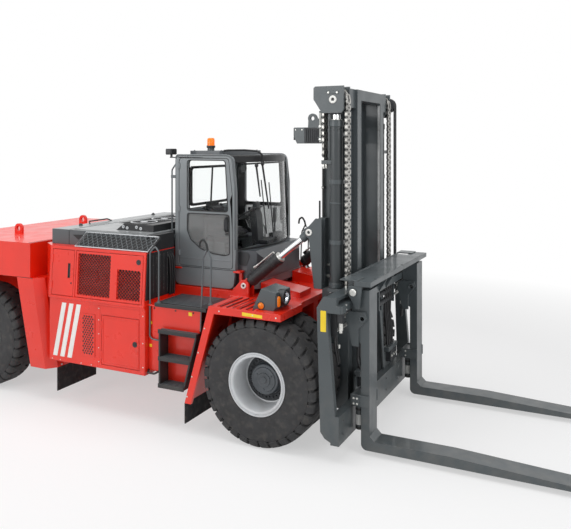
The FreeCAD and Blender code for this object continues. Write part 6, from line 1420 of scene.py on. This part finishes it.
for name, side in SIDES:
    body = f"cab_door_{name}"
    leaf = Piece(f"cab_door_frame_{name}", body, "cab", bevel=0.004, smooth=35, side=side)
    holes = [soft_corners(UPPER, 0.045), soft_corners(LOWER, 0.04)]
    leaf.prism("Y", soft_corners(DOOR, 0.045), 0.762, 0.798, holes)
    # pressed line above the sill
    leaf.box((-1.535, 0.797, 1.985), (-0.76, 0.8005, 1.992))
    leaf.done(f"cab_door_{name}")
    trim = Piece(f"cab_door_lining_{name}", body, "gasket", smooth=35, side=side)
    trim.prism("Y", soft_corners(grown(DOOR, -0.012), 0.045), 0.753, 0.7625, holes)
    for window, radius in ((UPPER, 0.045), (LOWER, 0.04)):
        outer = soft_corners(grown(window, 0.006), radius + 0.006)
        inner = soft_corners(grown(window, -0.006), radius - 0.006)
        trim.prism("Y", outer, 0.7975, 0.8015, [inner])
        trim.prism("Y", outer, 0.745, 0.7535, [inner])
    trim.done()
    for place, look, window in (("upper", "glass", UPPER), ("lower", "tint", LOWER)):
        pane = Piece(f"cab_door_{place}_pane_{name}", body, look, smooth=0, side=side)
        pane.prism("Y", soft_corners(grown(window, 0.006), 0.045), 0.778, 0.784)
        pane.done(*([f"cab_door_glass_{name}"] if place == "upper" else []))
    grip = Piece(f"cab_door_grip_{name}", body, "plastic", smooth=40, bevel=0.001, side=side)
    grip.prism("Y", round_rect((-0.838, 2.355), (-0.796, 2.56), 0.02, 4), 0.7975, 0.806)
    grip.tube([(-0.817, 0.804, 2.372), (-0.817, 0.842, 2.385), (-0.817, 0.848, 2.458),
               (-0.817, 0.842, 2.53), (-0.817, 0.804, 2.543)], 0.0105, 10, bend=0.02)
    grip.lathe((-0.817, 0.805, 2.33), OUTWARD, [(0, 0.016), (0.008, 0.015), (0.008, 0)], 20)
    grip.done()
    hinge = Piece(f"cab_hinge_barrels_{name}", body, "cab", smooth=30, side=side)
    for z in (2.02, 2.6, 3.17):
        hinge.ring((-1.545, 0.8, z), UPWARD, [(0, 0.0105), (0, 0.0165), (0.07, 0.0165),
                                              (0.07, 0.0105)], 20)
    hinge.done()

# wipers, the roof's cable pipe and what hangs inside the screen
wiper = Piece("wiper_arms", "truck", "plastic", smooth=40)
arms = (((-0.566, -0.456, 3.215), (-0.535, -0.404, 2.8)), ((-0.54, -0.336, 3.235), (-0.494, -0.236,
        2.63)))
for start, stop in arms:
    wiper.bar((start[0], start[1], start[2]), (stop[0], stop[1], stop[2]), 0.014, 8, 0.01)
    wiper.lathe((start[0] - 0.01, start[1], start[2]), (1, 0, 0), [(0, 0.026), (0.03, 0.024),
            (0.034, 0)], 16)
wiper.bar((-0.525, -0.395, 3.02), (-0.492, -0.3, 2.3), 0.0075, 8)
wiper.bar((-0.508, -0.205, 2.98), (-0.484, -0.12, 2.28), 0.0075, 8)
wiper.done()
pipe = Piece("roof_cable_pipe", "truck", "hose", smooth=40)
pipe.tube([(-1.00, -0.56, 3.405), (-0.94, -0.54, 3.412), (-0.75, -0.44, 3.414), (-0.6, -0.372,
        3.402), (-0.535, -0.352, 3.36), (-0.528, -0.336, 3.23)], 0.013, 10, bend=0.06)
pipe.done()
inside = Piece("cab_mirror_and_bars", "truck", "plastic", bevel=0.002, smooth=35)
inside.prism("X", [(-0.38 + 0.09 * math.cos(math.tau * k / 24),
                    3.172 + 0.06 * math.sin(math.tau * k / 24)) for k in range(24)], -0.83, -0.8)
inside.bar((-0.81, -0.38, 3.22), (-0.81, -0.36, 3.325), 0.008, 8)
inside.bar((-0.8, -0.4, 3.225), (-0.7, 0.62, 3.235), 0.012, 10)
inside.box((-0.775, 0.385, 2.37), (-0.735, 0.52, 2.585), ("Z", 20))
inside.bar((-0.755, 0.45, 2.2), (-0.755, 0.45, 2.38), 0.014, 10)
inside.boxes(
    (-0.775, 0.3, 2.12, -0.7, 0.6, 2.23),
    (-0.8, -0.04, 2.118, -0.62, 0.34, 2.17))
inside.done()
dash = Piece("cab_interior_trim", "truck", "plastic_grey", bevel=0.004)
dash.boxes(
    (-1.566, -0.742, 1.872, -1.545, 0.742, 2.56),
    (-1.54, -0.742, 1.868, -0.76, 0.742, 1.882),
    (-1.54, -0.72, 1.88, -1.08, -0.4, 2.16),
    (-1.54, 0.4, 1.88, -1.08, 0.72, 2.16))
dash.done()

# steering column, wheel and pedals
column = Piece("steering_column", "truck", "plastic", bevel=0.006, smooth=35)
column.prism("Y", [(-0.8, 1.88), (-0.745, 1.88), (-0.745, 2.3), (-0.765, 2.52), (-0.8, 2.6),
                   (-0.87, 2.56), (-0.855, 2.4)], -0.085, 0.085)
column.prism("Y", [(-0.875, 2.505), (-0.79, 2.56), (-0.775, 2.68), (-0.815, 2.7), (-0.86, 2.6)],
             -0.055, 0.055)
column.bar((-0.8, -0.05, 2.6), (-0.8, -0.19, 2.63), 0.008, 8)
column.bar((-0.8, 0.05, 2.6), (-0.8, 0.19, 2.63), 0.008, 8)
column.box((-0.93, -0.16, 1.9), (-0.8, -0.09, 1.925), ("Y", -25))
column.box((-0.93, 0.09, 1.9), (-0.8, 0.16, 1.925), ("Y", -25))
column.done("console")
tilt = Vector((-math.sin(math.radians(30)), 0, math.cos(math.radians(30))))
hand = Piece("steering_wheel", "truck", "plastic", smooth=40)
centre = Vector((-0.925, 0, 2.53))
hand.ring(centre, tilt, [(0.014 * math.sin(math.tau * k / 10),
                          0.165 + 0.014 * math.cos(math.tau * k / 10)) for k in range(10)], 48)
hand.lathe(centre - tilt * 0.05, tilt, [(0, 0.03), (0.035, 0.034), (0.052, 0.03), (0.058, 0)], 24)
for angle in (90, 210, 330):
    reach = frame_along(tilt) @ Vector((math.cos(math.radians(angle)),
                                        math.sin(math.radians(angle)), 0))
    hand.bar(centre - tilt * 0.02, centre + reach * 0.16, 0.01, 8)
hand.lathe(centre + frame_along(tilt) @ Vector((0.0, -0.165, 0.014)), tilt,
           [(0, 0.008), (0.012, 0.012), (0.024, 0.022), (0.042, 0.02), (0.048, 0)], 20)
hand.done()


# ---- Driver's seat ----
def pad(name, place, size, lean_back, channels, replaced=()):
    """A crowned cushion with drawn-in sides, sewn channels and a piped seam round its edge."""
    deep, wide, thick = (part / 2 for part in size)
    spin = Matrix.Translation(place) @ Matrix.Rotation(math.radians(lean_back), 4, "Y")
    count = 14
    bm = bmesh.new()
    bmesh.ops.create_cube(bm, size=2.0)
    bmesh.ops.subdivide_edges(bm, edges=bm.edges[:], cuts=count, use_grid_fill=True)
    for vert in bm.verts:
        u, v, w = vert.co
        roundness = max(0.0, 1 - 0.32 * (abs(u) ** 8 + abs(v) ** 8) * abs(w) ** 2)
        drawn = (1 - 0.035 * (1 - abs(v) ** 2) * abs(u) ** 6,
                 1 - 0.035 * (1 - abs(u) ** 2) * abs(v) ** 6)
        crown = 1 - 0.55 * max(abs(u), abs(v)) ** 5 * (1 if w > 0 else 0.25)
        vert.co = (u * deep * drawn[0] * roundness, v * wide * drawn[1] * roundness,
                   w * thick * crown)
    mesh = bpy.data.meshes.new(name)
    bm.to_mesh(mesh)
    bm.free()
    cushion = bpy.data.objects.new(name, mesh)
    bpy.context.scene.collection.objects.link(cushion)
    inflate(cushion, 0.022)
    mesh = cushion.data
    for vert in mesh.vertices:
        u = vert.co.x / deep
        if vert.co.z > 0 and abs(vert.co.y) < wide * 0.86:
            for spot in channels:
                vert.co.z -= 0.012 * math.exp(-((u - spot) / 0.045) ** 2)
    mesh.transform(Matrix.Translation((AXLE, 0, 0)) @ spin)
    mesh.shade_smooth()
    mesh.materials.append(M["cloth"])
    soften = cushion.modifiers.new("fine", "SUBSURF")
    soften.levels = soften.render_levels = 1
    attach(cushion, "truck")
    if replaced:
        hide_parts(*replaced)
    welt = Piece(f"{name}_piping", "truck", "piping", smooth=40)
    loop = []
    for index in range(40):
        angle = math.tau * index / 40
        u, v = (math.copysign(abs(part) ** 0.35, part) for part in (math.cos(angle),
                math.sin(angle)))
        loop.append(spin @ Vector((u * deep * 0.955, v * wide * 0.955, thick * 0.42)))
    welt.tube(loop, 0.0045, 8, closed=True)
    welt.done()


def inflate(cushion, cap):
    """Swells a closed cover as cloth under pressure, and keeps each point within a reach."""
    even = cushion.modifiers.new("even", "REMESH")
    even.mode = "VOXEL"
    even.voxel_size = 0.006
    depsgraph = bpy.context.evaluated_depsgraph_get()
    mesh = bpy.data.meshes.new_from_object(cushion.evaluated_get(depsgraph))
    cushion.modifiers.clear()
    cushion.data = mesh
    before = [vert.co.copy() for vert in mesh.vertices]
    cover = cushion.modifiers.new("cover", "CLOTH")
    cover.settings.use_pressure = True
    cover.settings.uniform_pressure_force = 4.0
    cover.settings.effector_weights.gravity = 0.0
    cover.settings.quality = 6
    stage = bpy.context.scene
    for frame_number in range(1, 21):
        stage.frame_set(frame_number)
    depsgraph = bpy.context.evaluated_depsgraph_get()
    swollen = bpy.data.meshes.new_from_object(cushion.evaluated_get(depsgraph))
    cushion.modifiers.clear()
    cushion.data = swollen
    for vert, start in zip(swollen.vertices, before):
        step = vert.co - start
        if step.length > cap:
            vert.co = start + step.normalized() * cap
    stage.frame_set(1)


pad("seat_cushion", (-1.265, 0, 2.255), (0.44, 0.46, 0.1), 0, (-0.35, 0.25), ("seat",))
pad("seat_back", (-1.47, 0, 2.43), (0.44, 0.44, 0.1), 84, (-0.4, 0.0, 0.4))
base = Piece("seat_base", "truck", "plastic", bevel=0.005)
for _ in both(base):
    base.prism("Y", [(-1.46, 2.4), (-1.1, 2.4), (-1.06, 2.43), (-1.1, 2.46), (-1.46, 2.47)], 0.265,
               0.335)
    base.bar((-1.45, 0.3, 2.2), (-1.45, 0.3, 2.42), 0.018, 10)
    base.bar((-1.1, 0.3, 2.46), (-1.09, 0.3, 2.55), 0.013, 10)
    base.lathe((-1.09, 0.3, 2.54), UPWARD, [(0, 0.014), (0.02, 0.022), (0.045, 0.02), (0.052, 0)],
               16)
base.box((-1.44, -0.2, 1.882), (-1.12, 0.2, 1.93))
for index in range(5):
    base.box((-1.42 + 0.006 * index, -0.19 + 0.006 * index, 1.935 + index * 0.045),
             (-1.13 - 0.006 * index, 0.19 - 0.006 * index, 1.97 + index * 0.045))
base.boxes(
    (-1.48, -0.215, 2.16, -1.06, 0.215, 2.2),
    (-1.535, -0.16, 2.2, -1.515, 0.16, 2.68))
base.done()


# ---- Handrails, lamps and steps ----
rails = Piece("handrail_tubes", "truck", "rail", smooth=40)
hook = Piece("handrail_hooks", "truck", "gasket", smooth=40)
feet = Piece("handrail_feet", "truck", "rail", smooth=30)
for _ in both(rails, hook, feet):
    y = 1.425
    rails.tube([(-1.42, y, 1.515), (-1.418, y, 2.15), (-1.472, y, 2.222), (-1.552, y, 2.135),
                (-1.555, y, 1.06), (-1.395, y, 1.05)], 0.0105, 12, bend=0.055)
    rails.tube([(-0.806, y, 1.235), (-0.768, y, 2.12), (-0.712, y, 2.225)], 0.0105, 12, bend=0.1)
    rails.tube([(-0.664, y, 1.56), (-0.655, y, 2.13), (-0.706, y, 2.23)], 0.0105, 12, bend=0.1)
    hook.tube([(-0.7, y, 2.205), (-0.722, y, 2.29), (-0.765, y, 2.352), (-0.812, y, 2.315),
               (-0.822, y, 2.245)], 0.014, 12, bend=0.05)
    rails.tube([(-1.6, 0.79, 3.235), (-1.668, 0.79, 3.15), (-1.668, 0.79, 1.79),
                (-1.6, 0.79, 1.73)], 0.0105, 12, bend=0.06)
    for z in (3.06, 2.26):
        feet.box((-1.675, 0.775, z - 0.02), (-1.6, 0.805, z + 0.02))
    for x, z in ((-1.42, 1.5205), (-0.664, 1.5705)):
        feet.lathe((x, y, z), UPWARD, [(0, 0.034), (0.006, 0.033), (0.009, 0.02), (0.022, 0.019),
                                       (0.022, 0)], 20)
        feet.bolt((x + 0.026, y, z + 0.006), UPWARD, 0.005)
        feet.bolt((x - 0.026, y, z + 0.006), UPWARD, 0.005)
rails.done("handrails")
hook.done()
feet.done()

pods = Piece("lamp_pod_shells", "truck", "slate", bevel=0.012, smooth=35)
sockets = Piece("headlamp_sockets", "truck", "plastic", bevel=0.006, smooth=35)
eyes = Piece("headlamp_glasses", "truck", "lens", smooth=40)
bowls = Piece("headlamp_bowls", "truck", "mirror", smooth=40)
turns = Piece("turn_lamps", "truck", "amber", smooth=40, bevel=0.002)
for _ in both(pods, sockets, bowls, eyes, turns):
    pods.prism("Y", [(-0.115, 1.569), (0.165, 1.569), (0.205, 1.64), (0.195, 1.78),
                     (0.000, 1.815)], 1.01, 1.388)
    centre = (0.165, 1.235, 1.712)
    sockets.ring(centre, (1, 0, 0), [(0, 0.03), (0, 0.088), (0.075, 0.094), (0.092, 0.092),
                                     (0.092, 0.078), (0.08, 0.074), (0.02, 0.03)], 40)
    bowls.ring((centre[0] + 0.018, centre[1], centre[2]), (1, 0, 0), [(0.004, 0.004),
            (0.024, 0.034), (0.06, 0.0735), (0.062, 0.0735), (0.024, 0.038), (0.0, 0.004)], 36)
    eyes.lathe((centre[0] + 0.078, centre[1], centre[2]), (1, 0, 0), [(0, 0.0775), (0.006, 0.0775),
            (0.012, 0.06), (0.017, 0.03), (0.018, 0)], 36)
    sockets.box((0.185, 1.335, 1.612), (0.212, 1.392, 1.752))
    turns.prism("X", round_rect((1.365 - 0.026, 1.622), (1.365 + 0.026, 1.742), 0.022, 5), 0.208,
                0.226)
    turns.lathe((0.000, 1.386, 1.618), OUTWARD, [(0, 0.04), (0.01, 0.038), (0.02, 0.028),
                                                 (0.024, 0.012), (0.025, 0)], 28)
    sockets.ring((0.000, 1.386, 1.618), OUTWARD, [(0, 0.036), (0, 0.05), (0.007, 0.048),
                                                  (0.007, 0.036)], 28)
eyes.done("lamp_lenses")
bowls.done()
turns.done()
# the work lamp on its bracket and the beacon's stand
pods.lathe((-1.3, -0.4, 3.375), UPWARD, [(0, 0.06), (0.012, 0.06), (0.014, 0.05), (0.07, 0.046),
                                         (0.07, 0)], 32)
pods.done("lamp_pods")
sockets.lathe((-1.3, -0.4, 3.44), UPWARD, [(0, 0.057), (0.026, 0.06), (0.034, 0.058), (0.034, 0)],
              32)
sockets.prism("X", round_rect((-0.828, 3.352), (-0.69, 3.432), 0.014, 4), -1.745, -1.665)
for index in range(6):
    sockets.box((-1.665 + 0.004, -0.82 + 0.022 * index, 3.36), (-1.652, -0.812 + 0.022 * index,
            3.424))
sockets.boxes(
    (-1.715, -0.765, 3.318, -1.69, -0.745, 3.358),
    (-1.715, -0.775, 3.308, -1.575, -0.735, 3.322))
sockets.done()
work = Piece("work_lamp_glass", "truck", "lens", smooth=40)
work.prism("X", round_rect((-0.82, 3.36), (-0.698, 3.424), 0.01, 4), -1.7505, -1.744)
work.done()
lamp = Piece("beacon_dome", "truck", "amber", smooth=40)
profile = [(0.0, 0.0505)]
for index in range(7):
    profile += [(0.006 + index * 0.014, 0.052), (0.013 + index * 0.014, 0.0502)]
lamp.lathe((-1.3, -0.4, 3.4535), (0, 0, 1), profile + [(0.108, 0.0495), (0.12, 0.043),
        (0.126, 0.028), (0.1265, 0)], 40)
lamp.done("beacon_lens")

grips = Piece("step_treads", "truck", "plastic_grey", bevel=0.001, smooth=30)
panels = Piece("step_panels", "truck", "red", bevel=0.003)
stickers = Piece("step_blank_stickers", "truck", "yellow", smooth=0)
hooks = Piece("step_hooks", "truck", "black", smooth=40)
# painted shade: dark red strips for the shade in the fender's grooves
painted_groove_shade = Piece("fender_painted_groove_shade", "truck", "red_painted_shade")
ladder = Piece("step_ladder", "truck", "black", bevel=0.003)
for _ in both(panels, ladder, hooks, stickers, grips, painted_groove_shade):
    # red skirts beside and above the ladder, and behind its treads
    panels.prism("Y", [(-1.588, 0.655), (-1.392, 0.655), (-1.392, 1.192), (-0.835, 1.192),
                       (-0.8, 1.477), (-1.588, 1.477)], 1.392, 1.406)
    panels.prism("Y", [(-1.37, 0.53), (-1.045, 0.53), (-0.865, 1.17), (-1.37, 1.17)], 1.29, 1.3)
    ladder.prism("Y", [(-1.388, 0.502), (-1.012, 0.502), (-0.824, 1.168), (-1.388, 1.168)], 1.262,
                 1.288)
    ladder.box((-1.388, 1.262, 0.502), (-1.364, 1.476, 1.19))
    ladder.prism("Y", [(-1.036, 0.502), (-1.012, 0.502), (-0.824, 1.18), (-0.848, 1.18)], 1.262,
                 1.476)
    ladder.boxes(
        (-1.388, 0.86, 1.172, -0.835, 1.285, 1.196),
        (-1.47, 0.852, 1.482, -0.712, 1.448, 1.519),
        (-1.47, 1.436, 1.474, -0.712, 1.449, 1.522))
    panels.box((-1.588, 0.852, 1.47), (-1.466, 1.44, 1.49))
    for x in (-1.5, -1.18, -0.92):
        hooks.lathe((x, 1.406, 1.44), OUTWARD, [(0, 0.011), (0.005, 0.01), (0.006, 0)], 12)
    stickers.prism("Y", round_rect((-0.99, 1.398), (-0.94, 1.442), 0.004, 3), 1.4055, 1.4075)
    for z in (1.254, 0.968):
        stickers.prism("Y", round_rect((-1.575, z - 0.018), (-1.535, z + 0.018), 0.004, 3), 1.4055,
                       1.4075)
    hooks.tube([(-1.585, 1.41, 0.66), (-1.56, 1.46, 0.64), (-1.46, 1.46, 0.64), (-1.43, 1.41,
            0.66)], 0.013, 10, bend=0.03)
    stickers.prism("Y", [(-0.189, 1.506), (0.074, 1.5), (0.074, 1.536), (-0.189, 1.548)], 1.499,
                   1.5015)
    for low, front in ((0.5, -1.012), (0.835, -0.92), (1.17, -0.828)):
        ladder.boxes(
            (-1.39, 1.262, low, front, 1.486, low + 0.03),
            (-1.39, 1.474, low - 0.012, front, 1.488, low + 0.04))
        for index in range(5):
            y = 1.3 + index * 0.036
            grips.box((-1.375, y, low + 0.029), (front - 0.02, (y + 0.01), low + 0.035))
    for index in range(10):
        y = 0.88 + index * 0.055
        grips.box((-1.46, y, 1.518), (-0.84, (y + 0.01), 1.523))
    # painted shade: dark red strips on the fender's top stand for the shade in the grooves between
    # its ribs
    for index in range(6):
        x = -0.515 + 0.088 * index
        painted_groove_shade.box((x, 0.93, 1.5695), (x + 0.02, 1.46, 1.58))
grips.done()
panels.done()
stickers.done()
hooks.done()
painted_groove_shade.done()
ladder.done("steps")


# ---- Hood, cooler, guards and the gap behind the cab ----
# painted sheen: a light grey skin on the hood's top stands in for the light its top faces reflect;
# the sides keep the dark hood grey
skin = Piece("hood_top_skin", "truck", "hood_top", bevel=0.002)
skin.prism("Z", [(-3.296, -1.296), (-1.704, -1.296), (-1.704, 1.296), (-3.296, 1.296)], 2.328,
           2.3325, [[(-2.43, -1.03), (-1.79, -1.03), (-1.79, 1.03), (-2.43, 1.03)]])
skin.done()
seams = Piece("hood_seams", "truck", "gasket")
for _ in both(seams):
    seams.box((-2.96, 1.236, 2.331), (-1.75, 1.248, 2.3355))
    seams.prism("Y", [(-2.93, 2.268), (-2.833, 2.205), (-2.748, 2.276)], 1.299, 1.303)
    seams.box((-3.0, 1.2995, 2.14), (-2.992, 1.302, 2.325))
seams.box((-2.99, -1.295, 2.331), (-2.982, 1.295, 2.3345))
seams.done()
fits = Piece("hood_handles", "truck", "black", smooth=40)
fits.tube([(-3.22, -0.64, 2.332), (-3.27, -0.6, 2.362), (-3.27, -0.2, 2.362), (-3.22, -0.16,
        2.332)], 0.01, 10, bend=0.03)
for y in (-0.85, 0.85):
    fits.lathe((-3.2, y, 2.332), UPWARD, [(0, 0.03), (0.01, 0.028), (0.026, 0.016), (0.034, 0)],
               20)
fits.done()
cool = Piece("cooler_slats", "truck", "black", bevel=0.001)
fans = Piece("cooler_fan_rings", "truck", "rim", smooth=40)
for index in range(16):
    x = -2.385 + 0.028 * index
    cool.box((x, -1.0, 2.4185), (x + 0.01, 1.0, 2.424))
for _ in both(fans):
    for x, z in ((-2.3, 2.378), (-2.235, 2.364), (-2.08, 2.38), (-2.01, 2.366)):
        fans.ring((x, 1.02, z), OUTWARD, [(-0.002, 0.006), (-0.002, 0.022), (0.003, 0.022),
                                          (0.003, 0.006)], 20)
    for y in (0.28, 0.75):
        fans.ring((-2.16, y, 2.4225), UPWARD, [(0, 0.165), (0, 0.185), (0.005, 0.183),
                                               (0.005, 0.167)], 40)
        fans.lathe((-2.16, y, 2.4225), UPWARD, [(0, 0.055), (0.004, 0.052), (0.005, 0)], 24)
cool.done()
fans.done()

guard_frame = Piece("guard_frames", "truck", "rim", smooth=40)
guard_wire = Piece("guard_wires", "truck", "rail", smooth=40)
guard_back = Piece("guard_backs", "truck", "black", smooth=0)
for _ in both(guard_frame, guard_back, guard_wire):
    foot = Vector((-2.768, 1.438, 2.142)), Vector((-1.584, 1.438, 2.142))
    head = Vector((-2.69, 1.304, 2.316)), Vector((-1.5, 1.304, 2.316))
    ring = [foot[0], foot[1], head[1], head[0]]
    guard_frame.tube(ring, 0.0075, 8, closed=True)
    out = (foot[1] - foot[0]).cross(head[0] - foot[0]).normalized() * -1
    rise = head[0] - foot[0]
    run_x = foot[1] - foot[0]
    long, tall = run_x.length, rise.length
    guard_back.shell([[point - out * 0.03 for point in ring],
                      [point - out * 0.034 for point in ring]])
    step = 0.08
    for kind in (1, -1):
        for index in range(-4, int(long / step) + 6):
            start, stop = index * step, index * step + kind * tall
            low, high = 0.0, 1.0
            for edge_at in (0.0, long):
                if (start - edge_at) * (stop - edge_at) < 0:
                    cross = (edge_at - start) / (stop - start)
                    if (start < edge_at) == (edge_at == 0.0):
                        low = max(low, cross)
                    else:
                        high = min(high, cross)
            inside = [start + (stop - start) * share for share in (low, high)]
            if high - low < 0.08 or not all(-0.001 <= spot <= long + 0.001 for spot in inside):
                continue
            ends = [foot[0] + run_x * (spot / long) + rise * share + out * 0.002 * kind for spot,
                    share in zip(inside, (low, high))]
            guard_wire.bar(ends[0], ends[1], 0.0042, 6)
guard_frame.done()
guard_wire.done()
guard_back.done("mesh_guards")

gap = Piece("cabinet_front_panels", "truck", "black", bevel=0.003)
lines = Piece("gap_hoses", "truck", "hose", smooth=40)
for _ in both(gap, lines):
    gap.prism("X", [(0.865, 1.535), (1.478, 1.535), (1.438, 2.118), (0.865, 2.118)], -1.592, -1.58)
    for index in range(7):
        y = 0.93 + index * 0.075
        gap.box((-1.582, y, 1.58), (-1.574, (y + 0.02), 2.08))
    for lane in range(3):
        y = 0.9 + lane * 0.045
        lines.tube([(-1.562, y, 1.525), (-1.548, y, 1.75), (-1.552, (y + 0.02), 2.02),
                    (-1.6, (y + 0.02), 2.06)], 0.014, 10, bend=0.06)
    gap.box((-1.585, 0.86, 2.13), (-1.7, 1.29, 2.328))
gap.done()
lines.done()


# ---- Nose, fenders, counterweight and flaps ----
nose = Piece("nose_trim", "truck", "plastic", bevel=0.003, smooth=35)
line = Piece("nose_seams", "truck", "gasket", smooth=35)
for _ in both(nose, line):
    nose.prism("Y", soft_corners([(-0.68, 1.935), (-0.575, 1.925), (-0.53, 2.06), (-0.56, 2.105),
                                  (-0.68, 2.105)], 0.025), 0.699, 0.704)
    line.box((-0.7, 0.6995, 1.741), (-0.575, 0.702, 1.747))
    line.tube([(-0.7, 0.76, 2.1), (-0.7, 0.76, 1.64)], 0.012, 8)
nose.done()
line.done()

bolts = Piece("body_bolts", "truck", "zinc", smooth=30)
dark = Piece("body_seams", "truck", "gasket", smooth=0)
tail_red = Piece("tail_lamps", "truck", "red_lens", smooth=40, bevel=0.003)
tail_amber = Piece("tail_turn_lamps", "truck", "amber", smooth=40, bevel=0.003)
holder = Piece("tail_lamp_frames", "truck", "plastic", bevel=0.004)
tail_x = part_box("counterweight")[0].x - AXLE
for _ in both(bolts, dark, holder, tail_red, tail_amber):
    for place in ((-0.7, 1.3), (-0.79, 1.00), (-0.88, 0.7), (-0.95, 0.45)):
        bolts.bolt((place[0], 1.4995, place[1]), OUTWARD, 0.008)
    for x in (-0.5, -0.05, 0.25):
        bolts.bolt((x, 1.4995, 1.525), OUTWARD, 0.008)
    for index in range(4):
        bolts.bolt((-3.18, (0.65 + index * 0.2), 0.465), (1, 0, 0), 0.01)
    dark.boxes(
        (-3.805, 1.4495, 1.648, -3.515, 1.4515, 1.654),
        (-3.6, 0.55, 2.1295, -3.592, 1.44, 2.1325))
    holder.boxes(
        (tail_x + 0.05, 1.248, 1.28, tail_x + 0.125, 1.4, 1.56),
        (tail_x + 0.04, 1.29, 1.29, tail_x + 0.06, 1.392, 1.55),
        (tail_x + 0.03, 1.248, 1.55, tail_x + 0.135, 1.405, 1.565))
    tail_red.prism("X", round_rect((1.342 - 0.04, 1.3), (1.342 + 0.04, 1.42), 0.012, 4),
                   tail_x + 0.028, tail_x + 0.044)
    tail_amber.prism("X", round_rect((1.342 - 0.04, 1.43), (1.342 + 0.04, 1.535), 0.012, 4),
                     tail_x + 0.028, tail_x + 0.044)
    for z in (1.3, 1.54):
        bolts.bolt((tail_x + 0.09, 1.4, z), OUTWARD, 0.006)
bolts.bar((tail_x + 0.16, 0, 1.02), (tail_x + 0.16, 0, 1.18), 0.024, 20)
dark.box((tail_x + 0.001, -0.13, 0.98), (tail_x + 0.006, 0.13, 1.15))
for piece in (bolts, dark, tail_red, tail_amber, holder):
    piece.done()
